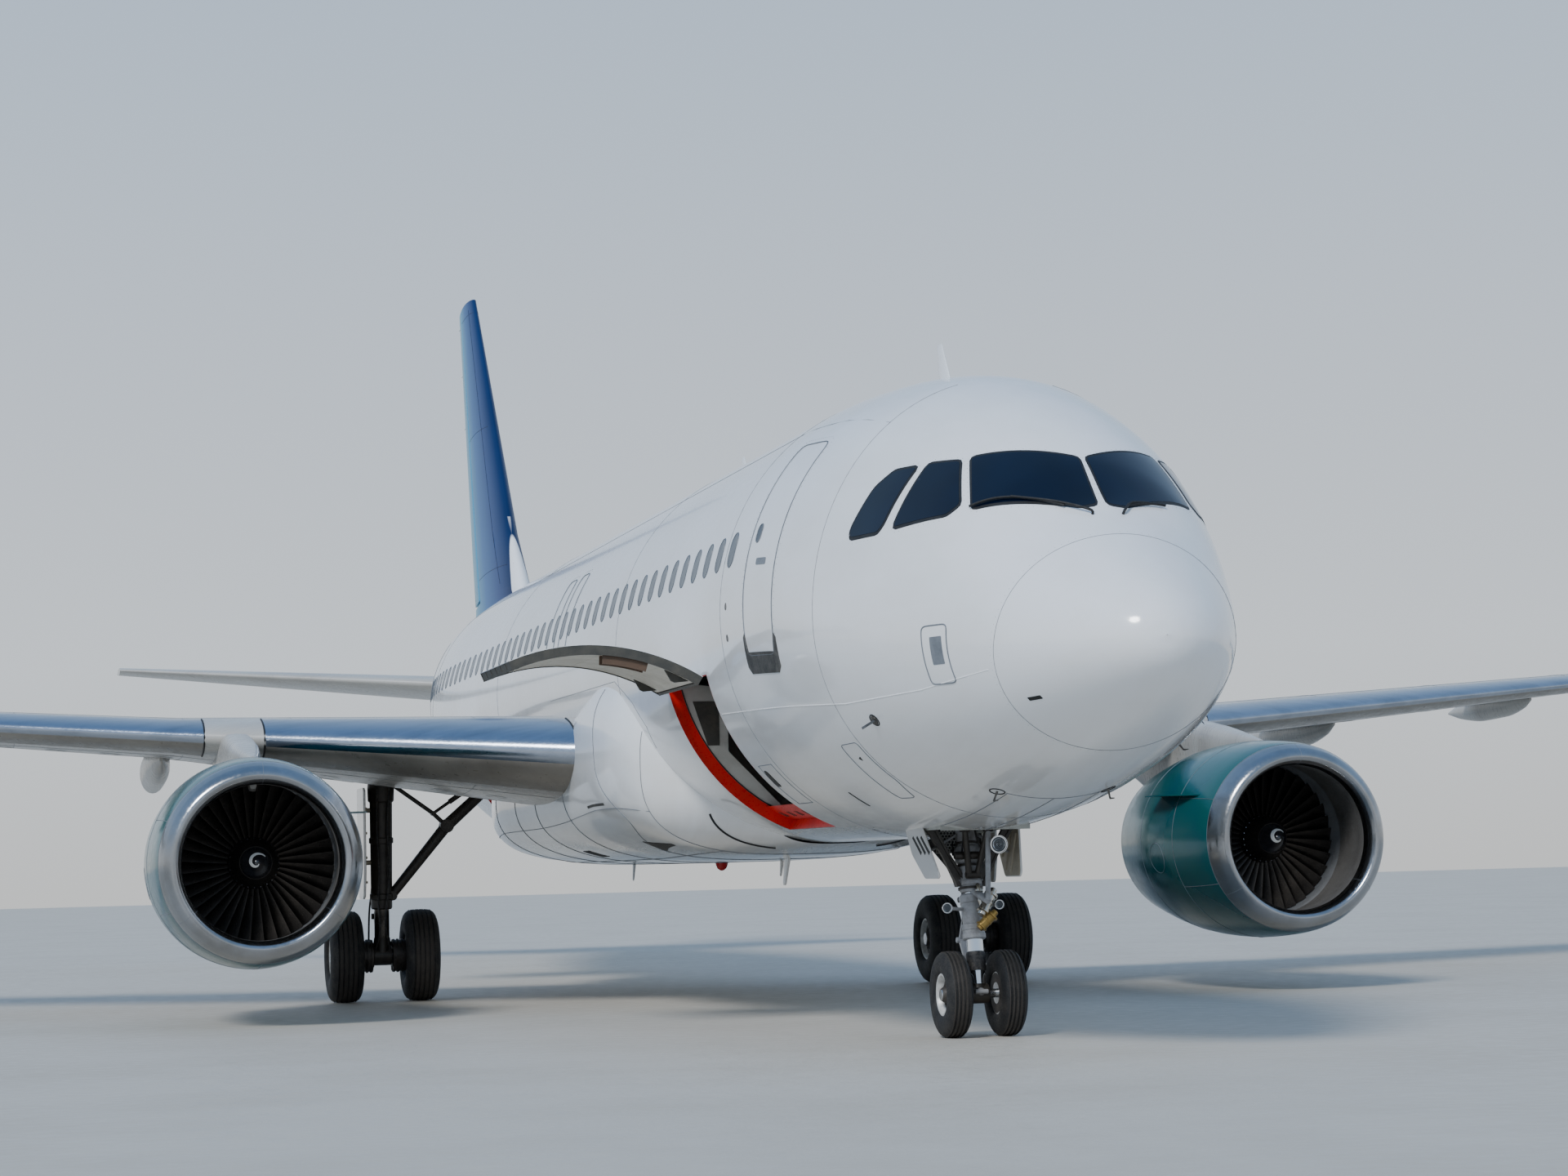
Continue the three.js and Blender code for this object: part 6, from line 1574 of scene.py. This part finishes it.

# Nose bay doors: honeycomb panels with a beige primed inner face and pressed stiffeners, hung at the
# bay's edges and tied to the leg, with three slanted vents in each outer face, drawn as black plates:
# painted shade for the openings.
door_inner = weathered("beige_door_primer", "#A79F8C", "#7C7362", 0.5, grain=6, amount=0.8)
outline = np.array([(5.2, 1.93), (5.7, 1.93), (5.62, 1.62), (5.34, 1.4), (4.92, 1.4), (4.9, 1.44)])
DOOR_SPLAY = 0.17  # metres that a door leans outwards for each metre up
for side_name, side in SIDES:
    def leaning(flat, near_x, far_x):
        """A plate of a (station, height) outline between two distances from the middle."""
        return rings([[(side * (x + DOOR_SPLAY * (z - 1.4)), s - MID, z) for s, z in flat]
                      for x in (near_x, far_x)], True, True)
    shapes = [(*leaning(rounded(offset(outline, grow), 0.04), near_x, far_x), finish)
              for grow, near_x, far_x, finish in ((0.0, 0.366, 0.382, 0), (-0.012, 0.3595, 0.367, 1))]
    for s, low in ((5.17, 1.44), (5.32, 1.46), (5.47, 1.58)):
        section = ((0.36, s - 0.02), (0.346, s - 0.012), (0.346, s + 0.012), (0.36, s + 0.02))
        stiff = rings([[(side * (x + DOOR_SPLAY * (z - 1.4)), y - MID, z) for x, y in section]
                       for z in (low, 1.79)], True, True)
        shapes.append((*stiff, 1))
    # Each vent is a thin black plate on the door: painted shade for the open slot
    for s in (5.476, 5.345, 5.215):
        vent = [(s + 0.03, 1.765), (s - 0.015, 1.785), (s - 0.19, 1.635), (s - 0.145, 1.61)]
        shapes.append((*leaning(vent, 0.38, 0.3832), 2))
    add_piece(f"nose_bay_{side_name}_door_panel", shapes, [white_paint_and_belly_shade, door_inner, rubber],
              nodes=[f"nose_gear_{side_name}_door"])
    ties = [rod((side * (0.352 + DOOR_SPLAY * 0.22), 5.3 - MID, 1.62), strut(1.42, side * 0.1), 0.012),
            rod((side * (0.35 + DOOR_SPLAY * 0.42), 5.4 - MID, 1.82), (side * 0.39, 5.4 - MID, 1.98), 0.02)]
    add_piece(f"nose_bay_{side_name}_door_ties", ties, gear_enamel)

# Main gear: one thick oleo leg a side, in a dark oily enamel that also paints the shade it stands in, a
# two-part folding side stay with lock links, a door panel carried on the leg, brake stacks inside the
# wheels, hoses and wiring.
# The piston's chrome is dulled and darkened as painted shade, where the leg's shadow lies over it
piston_chrome_and_painted_shade = weathered("oily_piston_chrome_and_painted_shade", "#5C5853", "#1F1C1A", 0.3, 0.9, grain=9, amount=1.2)
# share of the leg's length from the axle to the trunnion, radius
MAIN_LEG = [(0.25, 0.0), (0.25, 0.118), (0.258, 0.132), (0.3, 0.132), (0.305, 0.145), (0.33, 0.145),
            (0.335, 0.131), (0.6, 0.135), (0.605, 0.15), (0.63, 0.15), (0.635, 0.136), (0.82, 0.139),
            (0.83, 0.16), (0.9, 0.165), (1.0, 0.142), (1.0, 0.0)]
BRAKE = [(0.122, 0.07), (0.122, 0.2), (0.15, 0.205), (0.152, 0.192), (0.176, 0.192), (0.178, 0.206),
         (0.2, 0.206), (0.202, 0.19), (0.226, 0.19), (0.228, 0.206), (0.25, 0.206), (0.252, 0.19),
         (0.285, 0.19), (0.285, 0.07)]
# Each hose's spots: share of the leg, metres outboard, metres aft
MAIN_HOSES = [
    [(0.95, -0.1, -0.13), (0.7, -0.06, -0.15), (0.45, -0.08, -0.15), (0.3, -0.05, -0.16),
     (0.16, -0.02, -0.24), (0.03, -0.08, -0.17)],
    [(0.95, 0.06, -0.14), (0.7, 0.07, -0.15), (0.45, 0.05, -0.155), (0.3, 0.06, -0.16),
     (0.15, 0.05, -0.26), (0.03, 0.1, -0.17)],
    [(0.95, 0.1, 0.12), (0.7, 0.1, 0.13), (0.4, 0.1, 0.14), (0.24, 0.13, 0.2), (0.08, 0.15, 0.12)],
]
TRUNNION_Z, WELL_TOP = 2.85, 2.99
panel = rounded([(17.33, 2.62), (18.02, 2.62), (18.02, 1.75), (17.9, 1.26), (17.44, 1.26), (17.33, 1.6)],
                0.06)
for side_name, side in SIDES:
    x = side * MAIN_GEAR_X
    axle = Vector((x, MAIN_AXLE_STATION - MID, MAIN_AXLE_Z))
    high = Vector((x, 17.595 - MID, TRUNNION_Z))
    up_leg, whole = (high - axle).normalized(), (high - axle).length
    at = lambda share, dx=0.0, dy=0.0: axle.lerp(high, share) + Vector((dx, dy, 0))
    knee = at(0.21, 0, 0.34)
    leg = [lathe([((d - 0.25) * whole, r) for d, r in MAIN_LEG], at(0.25), up_leg, 40),
           pin(axle, (0.11, 0, 0), 0.118, 36),
           lathe([(0.0, 0.0), (0.0, 0.112), (0.12, 0.108), (0.2, 0.098), (0.2, 0.0)], at(0.01), up_leg, 36),
           rod((x, 17.2905 - MID, TRUNNION_Z), (x, 17.8995 - MID, TRUNNION_Z), 0.085, sides=28),
           link_plate(at(0.3, 0, 0.1), knee, 0.1, 0.06, 0.024),
           link_plate(at(0.02, 0, 0.08), knee, 0.1, 0.06, 0.024), pin(knee, (0.09, 0, 0), 0.036),
           rod(at(0.3, -0.12, 0.13), at(0.3, 0.12, 0.13), 0.034),
           rod(at(0.02, -0.12, 0.12), at(0.02, 0.12, 0.12), 0.034)]
    add_piece(f"{side_name}_main_leg_forging", leg, dark_enamel_and_painted_shade, nodes=[f"{side_name}_main_gear_leg"],
              angle=35)
    add_piece(f"{side_name}_main_piston_chrome", [rod(at(0.06), at(0.26), 0.092, sides=40)], piston_chrome_and_painted_shade)
    low, far = at(0.32), Vector((side * 2.4, 17.6 - MID, 2.66))
    elbow = low.lerp(far, 0.58) + Vector((0, 0, 0.05))
    inward = Vector((-side * 0.13, 0, 0))
    stay = [rod(low + inward * 0.9, elbow, 0.06, 0.072), rod(elbow, far, 0.076, 0.066),
            pin(elbow, (0, 0.09, 0), 0.085), pin(low + inward, (0, 0.07, 0), 0.06),
            pin(far, (0, 0.08, 0), 0.06)]
    lock_top = at(0.92) + inward
    lock_knee = elbow.lerp(lock_top, 0.24) + Vector((0, 0, 0.03))
    for dy in (-0.045, 0.045):
        step = Vector((0, dy, 0))
        stay += [rod(elbow + step, lock_knee + step, 0.022), rod(lock_knee + step, lock_top + step, 0.022)]
    stay += [pin(lock_knee, (0, 0.07, 0), 0.03), pin(lock_top, (0, 0.07, 0), 0.034)]
    add_piece(f"{side_name}_side_stay_links", stay, dark_enamel_and_painted_shade, nodes=[f"{side_name}_side_stay"])
    # The small jack that unlocks the stay
    anchor = Vector((side * 2.58, 17.6 - MID, 2.68))
    unlock = [rod(lock_knee, anchor, 0.02), rod(lock_knee.lerp(anchor, 0.35), anchor, 0.032),
              pin(anchor, (0, 0.05, 0), 0.04)]
    add_piece(f"{side_name}_unlock_jack", unlock, dark_enamel_and_painted_shade)
    # Brake stacks: carbon discs in a steel carrier, held still beside each wheel
    brakes = []
    for way in (-1, 1):
        brakes.append(lathe([(way * d, r) for d, r in BRAKE], axle, (1, 0, 0), 40, True))
        for k in range(7):
            t = k * 2 * pi / 7 + 0.3
            spot = axle + Vector((way * 0.112, 0.155 * cos(t), 0.155 * sin(t)))
            brakes.append(rod(spot, spot + Vector((way * 0.02, 0, 0)), 0.03, sides=16))
    add_piece(f"{side_name}_brake_stacks", brakes, brake_steel)
    # The door panel, its stiffeners and the two arms that carry it on the leg
    door_x = x + side * 0.215
    inner_x = door_x - side * 0.022
    layers = ((panel, (0.008, 0.034)), (offset(panel, -0.02), (0.0, 0.009)))
    shapes = [(*rings([[(door_x + side * e, s - MID, z) for s, z in flat] for e in depths], True, True), k)
              for k, (flat, depths) in enumerate(layers)]
    for z in (1.45, 1.75, 2.05, 2.35):
        shapes.append((*box((min(door_x, inner_x), 17.42 - MID, z),
                            (max(door_x, inner_x), 17.93 - MID, z + 0.03)), 1))
    for share in (0.5, 0.78):
        ends = [at(share) + Vector((side * dx, 0, 0)) for dx in (0.12, 0.216)]
        shapes.append((*rod(*ends, 0.03), 1))
    add_piece(f"{side_name}_leg_door_panel", shapes, [white_paint_and_belly_shade, door_inner],
              nodes=[f"{side_name}_main_gear_door"])
    runs = [[at(share, side * out, back) for share, out, back in run] for run in MAIN_HOSES]
    drawn(f"{side_name}_main_gear_hoses", hoses, runs, hose_rubber, Radius=0.012)
    # The well in the wing: open below, closed by ribs and the skin's inside
    corner = [wing_point(WELL_SPANS[i], WELL_SHARES[j], -1, side, -0.002)
              for i, j in ((0, 0), (1, 0), (1, 1), (0, 1))]
    well = rings([corner, [(p[0], p[1], WELL_TOP) for p in corner]], cap_end=True)
    add_piece(f"{side_name}_wing_well", [well], bay_paint, closed=False)

# Fasteners: flush rivets and screws along the edges of panes, the radome, doors and fairings.
# Real heads are 5 mm across; they are drawn a little larger and stand a fraction of a millimetre up.
rivets, given = new_tree("rivets along lines", Pitch=0.05, Radius=0.004, Finish=None)
path = add_node(rivets, "GeometryNodeMeshToCurve", {0: given.outputs["Geometry"]})
spots = add_node(rivets, "GeometryNodeCurveToPoints",
                 {"Curve": path.outputs[0], "Length": given.outputs["Pitch"]}, mode="LENGTH")
head = add_node(rivets, "GeometryNodeMeshIcoSphere", {"Radius": given.outputs["Radius"], "Subdivisions": 1})
placed = add_node(rivets, "GeometryNodeInstanceOnPoints",
                  {"Points": spots.outputs[0], "Instance": head.outputs[0]})
end_tree(rivets, placed, given.outputs["Finish"])
rows_of = []
for side in (-1, 1):
    for corners in PANES:
        flat = offset(pane_outline(corners), 0.045)
        rows_of.append([skin(p, side * q / PANE_GIRTH, -0.001) for p, q in np.vstack([flat, flat[:1]])])
rows_of.append([skin(s + 0.035, radians(a), -0.001) for s, a in radome_rim])
for station, width, low, high in CABIN_DOORS + OVERWING:
    for side in (-1, 1):
        around_door = door_outline(station, width + 0.09, low - 0.04, high + 0.04, side)
        rows_of.append(on_skin(around_door, 0.1, True))
drawn("skin_rivets", rivets, rows_of, sealant, Pitch=0.06, Radius=0.0032)

# Windscreen wipers: black rubber blades on steel arms, from a pivot under the middle post.
# They are parked along the sills.
sweeps = []
for side, first, last in ((-1, (-0.915, 1.856, 4.335), (-0.303, 1.349, 4.279)),
                          (1, (0.56, 1.487, 4.296), (0.19, 1.313, 4.276))):
    s, a = near_skin([(x, y - MID, z) for x, y, z in (first, last)])
    at_share = lambda t, grow: skin(s[0] + (s[1] - s[0]) * t, a[0] + (a[1] - a[0]) * t, grow)
    sweeps.append([at_share(t, 0.028) for t in np.linspace(0, 1, 9)])
    pivot = skin(1.23, side * radians(7), 0.0)
    sweeps.append([pivot, skin(1.235, side * radians(8), 0.04), at_share(0.9, 0.045),
                   at_share(0.45, 0.034)])
drawn("windscreen_wipers", hoses, sweeps, rubber, Radius=0.011)

# Nose details: a service panel, hatches, static ports, the flow vanes and pitot tubes, all in bare
# alloy or steel set flush into the skin, with the closed forward bay doors under the nose.
def skin_patch(corners, radius, top, bottom=-0.004, side=-1, step=0.04):
    """A plate on the skin through (station, height) corners, on one side."""
    flat = [(s, girth(z, s)) for s, z in corners]
    return patch(rounded(flat, radius), skin_place(side), top, bottom, step)


def skin_outline(corners, radius, side):
    """A closed line with round corners on the skin through (station, height) corners."""
    flat = rounded([(s, girth(z, s)) for s, z in corners], radius)
    return on_skin([(p, side * math.degrees(q / GIRTH)) for p, q in flat], 0.03, True)


def skin_ring(station, degrees, radius):
    """A round line on the skin."""
    return [skin(station + radius * cos(t), radians(degrees) + radius * sin(t) / GIRTH, 0.0005)
            for t in np.linspace(0, 2 * pi, 33)]


outline = skin_outline([(1.69, 2.95), (1.69, 3.41), (2.01, 3.41), (2.01, 2.95)], 0.06, -1)
drawn("service_panel_outline", lines, [outline], sealant, Width=0.012)
plate = skin_patch([(1.755, 3.1), (1.755, 3.32), (1.905, 3.32), (1.905, 3.1)], 0.012, 0.003)
add_piece("service_panel_plate", [plate], sealant)
# Drain slots and small openings are black plates on the skin: painted shade for the openings
slots = [skin_patch([(0.92, 2.775), (0.92, 2.8), (1.05, 2.79), (1.05, 2.765)], 0.008, 0.002)]
outlines, rings_of = [], []
for side in (-1, 1):
    hatch = [(3.79, 2.24), (3.8, 2.57), (4.17, 2.56), (4.21, 2.1), (3.93, 2.1)]
    outlines.append(skin_outline(hatch, 0.05, side))
    rings_of += [skin_ring(3.174, side * frame_angle(2.727, 3.174), 0.062),
                 skin_ring(2.8, side * 162, 0.075)]
    for corners, radius in (([(5.07, 2.18), (5.11, 2.18), (5.1, 2.055), (5.06, 2.055)], 0.015),
                            ([(3.97, 2.455), (4.03, 2.44), (3.985, 2.42)], 0.004),
                            ([(6.87, 2.43), (6.99, 2.44), (7.05, 2.29), (6.87, 2.28)], 0.05)):
        slots.append(skin_patch(corners, radius, 0.002, side=side))
    hatch = ((6.5, 131), (7.02, 131), (7.02, 146), (6.5, 146))
    outlines.append(on_skin([(s, side * d) for s, d in hatch], 0.1, True))


def belly_line(x, start, end, steps=14):
    """A line over the belly at a constant distance from the middle."""
    made = []
    for s in np.linspace(start, end, steps):
        half = float(along(HULL, s)[4])
        made.append(skin(s, pi - math.asin(min(abs(x) / half, 1)) * (1 if x >= 0 else -1), 0.0005))
    return made


outlines += [belly_line(x, 2.78, 4.72) for x in (-0.4, 0.0, 0.4)]
outlines.append([belly_line(x, 2.78, 2.781, 2)[0] for x in np.linspace(-0.4, 0.4, 9)])
outlines += [belly_line(x, 3.35, 3.75, 4) for x in (0.62, 0.95)]
outlines += [[belly_line(x, s, s + 0.001, 2)[0] for x in np.linspace(0.62, 0.95, 5)] for s in (3.35, 3.75)]
drawn("nose_hatch_outlines", lines, outlines, sealant, Width=0.008)
drawn("probe_rings", lines, rings_of, rubber, Width=0.012)
add_piece("drain_slot_painted_shades", slots, rubber)


def stand_off(station, degrees, rise, back, radius, tip):
    """A bent probe: a strut off the skin and a tube facing the wind."""
    root = Vector(skin(station, radians(degrees), -0.01))
    out = Vector(facing_out(station, degrees))
    corner = root + out * rise + Vector((0, back, 0))
    return [rod(root, corner, radius * 1.25, radius, 14),
            rod(corner, corner - Vector((0, tip, 0)), radius, radius * 0.55, 14)]


probes = []
for degrees in (-121.5, 121.5):
    root, out = Vector(skin(3.174, radians(degrees), 0.0)), Vector(facing_out(3.174, degrees))
    probes.append(lathe([(-0.004, 0.0), (-0.004, 0.045), (0.006, 0.043), (0.008, 0.0)], root, out, 24))
    a, b = root + out * 0.005 + Vector((0, -0.012, 0)), root + out * 0.09 + Vector((0, 0.045, 0))
    probes.append(link_plate(a, b, 0.004, 0.003, 0.014))
for station, degrees in ((2.8, -162), (2.8, 162), (2.95, 133)):
    probes += stand_off(station, degrees, 0.09, 0.045, 0.008, 0.11)
for degrees in (-88, 88, -96, 96):
    root, out = Vector(skin(6.12, radians(degrees), 0.0)), Vector(facing_out(6.12, degrees))
    probes.append(lathe([(-0.004, 0.0), (-0.004, 0.035), (0.002, 0.034), (0.002, 0.008), (-0.002, 0.006),
                         (-0.002, 0.0)], root, out, 20))
add_piece("air_data_probes", probes, scuff_steel)


# Aerials, beacons and drain masts: moulded glass-fibre blades painted as the skin and screwed to the
# crown and the belly, and two red glass domes in alloy collars.
def blade(station, low_z, height, chord, sweep, thick, way=1, x=0.0):
    """A thin swept blade standing on the crown (1) or hanging under the belly (-1)."""
    loops = []
    for t in (0, 0.35, 0.7, 0.93, 1):
        c = chord * (1 - 0.55 * t) * (0.86 if t == 1 else 1)
        a = np.linspace(0, 2 * pi, 17)[:-1]
        y = station - MID + sweep * t + c / 2 * np.cos(a)
        wide = thick * (1 - 0.5 * t) * np.sin(a) * (0.4 if t == 1 else 1)
        loops.append(np.stack([x + wide, y, np.full(16, low_z + way * height * t)], 1))
    return rings(loops, True, True)


aerials = [blade(5.52, 5.875, 0.4, 0.36, 0.17, 0.02), blade(13.6, 5.9, 0.36, 0.34, 0.16, 0.02),
           blade(16.6, 5.9, 0.11, 0.22, 0.05, 0.014), blade(7.0, 5.9, 0.07, 0.3, 0.02, 0.09),
           blade(6.7, 1.78, 0.1, 0.2, 0.06, 0.012, -1, 0.35), blade(12.1, 1.63, 0.3, 0.32, 0.14, 0.018, -1),
           blade(14.4, 1.62, 0.2, 0.14, 0.09, 0.02, -1, 0.5),
           blade(19.3, 1.63, 0.24, 0.14, 0.1, 0.02, -1, -0.3),
           blade(24.8, 1.86, 0.12, 0.2, 0.06, 0.012, -1)]
add_piece("aerial_blades", aerials, white_paint_and_belly_shade, angle=50)
DOME = [(-0.02, 0.0), (-0.02, 0.075), (0.03, 0.072), (0.07, 0.055), (0.095, 0.025), (0.1, 0.0)]
COLLAR = [(-0.02, 0.0), (-0.02, 0.1), (0.004, 0.098), (0.01, 0.078), (0.01, 0.0)]
for name, profile, finish in (("beacon_domes", DOME, ribbed_glass("red_beacon_glass", "#B01217", 18.0)),
                              ("beacon_collars", COLLAR, bare_alloy)):
    add_piece(name, [lathe(profile, (0, s - MID, z), (0, 0, way), 32)
                     for s, z, way in ((17.4, 5.91, 1), (15.4, 1.6, -1))], finish)

# Belly fairing joints: sealed gaps with a row of screws beside them, with the cooling air scoops drawn as
# black plates, painted shade for their open mouths, and the straps below. The rubber seals at the slats'
# ends are made here too.
seams = []
ROOT_SEAM = 12.15
for station in (10.95, ROOT_SEAM, 13.9, 15.8, 17.3, 18.9, 20.3):
    # The joint under the wing's root runs forward as it goes down
    forward = 0.62 if station == ROOT_SEAM else 0
    run = []
    for a in np.linspace(0, 2 * pi, 121):
        point = on_fairing(station - forward * math.exp(-((abs(a - pi) - 1.05) / 0.35) ** 2), a)
        if not inside_hull(point):
            run.append(point)
        else:
            seams.append(run)
            run = []
    seams.append(run)
seams = [run for run in seams if len(run) > 2]
for a in (1.95, 2.75, -1.95, -2.75):
    seams.append([on_fairing(s, a) for s in np.linspace(10.95, 20.3, 50)])
drawn("fairing_joints", lines, seams, sealant, Width=0.007)
# A broad black bead along the fairing's lower front edge is a painted shadow cast by that edge
front_edge_shadows = [[on_fairing(10.36, way * a, 0.004) for a in np.linspace(1.85, 2.85, 24)] for way in (-1, 1)]
drawn("fairing_front_edge_painted_shadow", lines, front_edge_shadows, rubber, Width=0.024)
fasteners = [[p + np.array([0, 0.03, 0]) for p in run] for run in seams[:14]]
drawn("fairing_fasteners", rivets, fasteners, sealant, Pitch=0.09, Radius=0.0035)
FAIRING_GIRTH = 1.6  # metres of girth to a radian of turn
fair_place = lambda a, b, grow: np.array([on_fairing(p, q / FAIRING_GIRTH, grow) for p, q in zip(a, b)])
scoops, straps = [], []
for side in (-1, 1):
    middle = side * 2.5 * FAIRING_GIRTH
    for flat in (((11.35, -0.03), (11.75, -0.1), (12.0, -0.16), (12.0, 0.16), (11.75, 0.1), (11.35, 0.03)),
                 ((15.1, -0.14), (15.5, -0.14), (15.5, 0.14), (15.1, 0.14))):
        scoops.append(patch([(s, middle + side * q) for s, q in flat], fair_place, 0.004, -0.01))
    middle = side * 1.9 * FAIRING_GIRTH
    flat = [(s, middle + q) for s, q in ((12.0, -0.02), (12.75, -0.02), (12.75, 0.02), (12.0, 0.02))]
    straps.append(patch(flat, fair_place, 0.004, -0.004))
add_piece("fairing_air_scoop_painted_shades", scoops, rubber)
add_piece("fairing_straps", straps, frame_grey)
seal_lines = []
for side in (-1, 1):
    for span in (2.133, 5.437, 6.093, 16.457):
        edge = [wing_point(span, f, 1, side, 0.001) for f in np.linspace(0.13, 0, 14)]
        edge += [wing_point(span, f, -1, side, 0.001) for f in np.linspace(0, 0.13, 14)[1:]]
        seal_lines.append(edge)
drawn("slat_end_seals", lines, seal_lines, rubber, Width=0.022)

# Wing skins: machined alloy planks riveted over the spars and ribs, with their joints sealed. Oval
# tank hatches are bolted in below, spoiler panels lie above, and wicks shed static at the tips.
SEAM_LIFT = 0.0006  # metres that a joint's line stands off the skin


def outboard(f, low, high, way, side, count=40):
    """A joint along a share of the wing's chord, between two spans."""
    return [wing_point(s, f, way, side, SEAM_LIFT) for s in np.linspace(low, high, count)]


def chordwise(span, front, rear, way, side, count=14):
    """A joint at a span of the wing, between two shares of the chord."""
    return [wing_point(span, f, way, side, SEAM_LIFT) for f in np.linspace(front, rear, count)]


joints, ovals_at, facing = [], [], []
for side in (-1, 1):
    joints += [outboard(0.2, 2.2, 16.9, -1, side), outboard(0.58, 4.2, 16.9, -1, side),
               outboard(0.2, 2.2, 16.9, 1, side)]
    joints += [chordwise(span, 0.14, 0.72, way, side)
               for span in (3.1, 5.1, 6.3, 8.2, 10.4, 12.9, 15.0) for way in (-1, 1)]
    joints += [chordwise(span, 0.6, 0.73, 1, side, 4) for span in (4.35, 6.15, 7.95, 9.75, 11.5, 13.2)]
    joints.append(outboard(0.6, 4.35, 13.2, 1, side, 24))
    for span in np.arange(2.75, 16.3, 0.62):
        for f in (0.3, 0.46) if span < 9 else (0.38,):
            du = wing_point(span + 0.01, f, -1, side) - wing_point(span - 0.01, f, -1, side)
            dv = wing_point(span, f + 0.002, -1, side) - wing_point(span, f - 0.002, -1, side)
            out = np.cross(du, dv)
            ovals_at.append(wing_point(span, f, -1, side))
            facing.append(out * (-1 if out[2] > 0 else 1) / np.linalg.norm(out))
drawn("wing_skin_joints", lines, joints, sealant, Width=0.005)
run_tree("wing_tank_hatches", ovals, point_mesh(ovals_at, facing),
         {"Width": 0.2, "Height": 0.34, "Rim": 0.005, "Glass": wing_paint, "Ring": sealant})
for side_name, side in SIDES:
    for name, table, start, end in (("aileron", WING, 13.6, 15.9), ("elevator", TAILPLANE, 3.6, 6.0)):
        wicks = []
        for span in np.linspace(start, end, 4):
            p = Vector(wing_point(span, 0.995, 1, side, table=table))
            wicks.append(rod(p - Vector((0, 0.03, 0)), p + Vector((0, 0.16, -0.008)), 0.004, 0.0025, 8))
        add_piece(f"{side_name}_{name}_wicks", wicks, rubber, f"{side_name}_{name}")
    colour = "#0C6B3A" if side < 0 else "#A3121A"
    tip_glass = ribbed_glass(f"{side_name}_tip_lamp_glass", colour, 30.0)
    lens = strip(WING, 16.6, 16.88, 0, 0.05, side, grow=0.003)
    add_piece(f"{side_name}_tip_lamp", [lens], tip_glass)


def fin_point(z, f, way=0):
    """A point on the port (1) or starboard (-1) side of the fin, or in its middle (0)."""
    return ruled(FIN, z, lambda row: row_place(row, f * row[2], way * (thickness(f, row)[1] + SEAM_LIFT)))


wicks = []
for z in (9.6, 10.6, 11.5):
    p = Vector(fin_point(z, 0.99))
    wicks.append(rod(p, p + Vector((0, 0.17, -0.005)), 0.004, 0.0025, 8))
add_piece("rudder_wicks", wicks, rubber, "rudder")
fin_seams = [[fin_point(z, 0.16, way) for z in np.linspace(6.3, 11.6, 12)] for way in (-1, 1)]
fin_seams += [[fin_point(z, f, way) for f in np.linspace(0.01, 0.66, 16)]
              for way in (-1, 1) for z in (6.6, 9.2, 11.5)]
drawn("fin_joints", lines, fin_seams, rubber, Width=0.006)

# Studio: a plain pale floor under the tyres, a soft sky and one wide soft key light from ahead.
# None of it is part of the aircraft: the floor is staged, and the rest holds no shape.
floor_finish = weathered("pale_studio_floor", "#BDB8AE", "#AEA89C", 0.6, grain=0.4, amount=0.6)
mesh = bpy.data.meshes.new("studio_floor")
mesh.from_pydata([(-120, -120, 0), (120, -120, 0), (120, 160, 0), (-120, 160, 0)], [], [[0, 1, 2, 3]])
mesh.materials.append(floor_finish)
studio_floor = linked("studio_floor", mesh)
world = bpy.data.worlds.new("studio")
bpy.context.scene.world = world
world.use_nodes = True
# The sky is paler at the horizon and bluer above, so that gloss paint and bare alloy show their form
sky = world.node_tree
gaze = add_node(sky, "ShaderNodeTexCoord").outputs["Generated"]
aim = add_node(sky, "ShaderNodeSeparateXYZ", {0: gaze})
lift = add_node(sky, "ShaderNodeMapRange", {"Value": aim.outputs[2], "From Min": -0.2, "From Max": 1.0})
shades = add_node(sky, "ShaderNodeValToRGB", {0: lift.outputs[0]})
shades.color_ramp.elements[0].color = linear("#CFC8BC")
shades.color_ramp.elements[1].color = linear("#7FA6D8")
for at, colour in ((0.14, "#D8D8D6"), (0.22, "#E3EAF1"), (0.5, "#A9C6E8")):
    shades.color_ramp.elements.new(at).color = linear(colour)
sky.links.new(shades.outputs[0], sky.nodes["Background"].inputs[0])
sky.nodes["Background"].inputs[1].default_value = 1.05
sun = bpy.data.lights.new("soft_key", "SUN")
sun.energy = 2.6
sun.angle = 0.25
linked("soft_key", sun).rotation_euler = (radians(50), 0, radians(-38))
# The photograph's viewpoint: 23 m ahead of the nose and 8.5 m to starboard, at head height
yaw, pitch, roll = 0.2399, 0.0837, -0.0252
eye = (-8.5184, -41.6812, 1.5732)
forward = Vector((sin(yaw) * cos(pitch), cos(yaw) * cos(pitch), sin(pitch)))
right = Vector((cos(yaw), -sin(yaw), 0))
up = right.cross(forward)
across = right * cos(roll) + up * sin(roll)
upward = up * cos(roll) - right * sin(roll)
lens = bpy.data.cameras.new("photo_camera")
lens.lens = 75.23
lens.sensor_width = 36
lens.clip_end = 500
camera = linked("photo_camera", lens)
camera.matrix_world = Matrix((*zip(across, upward, -forward, eye), (0, 0, 0, 1)))
bpy.context.scene.camera = camera
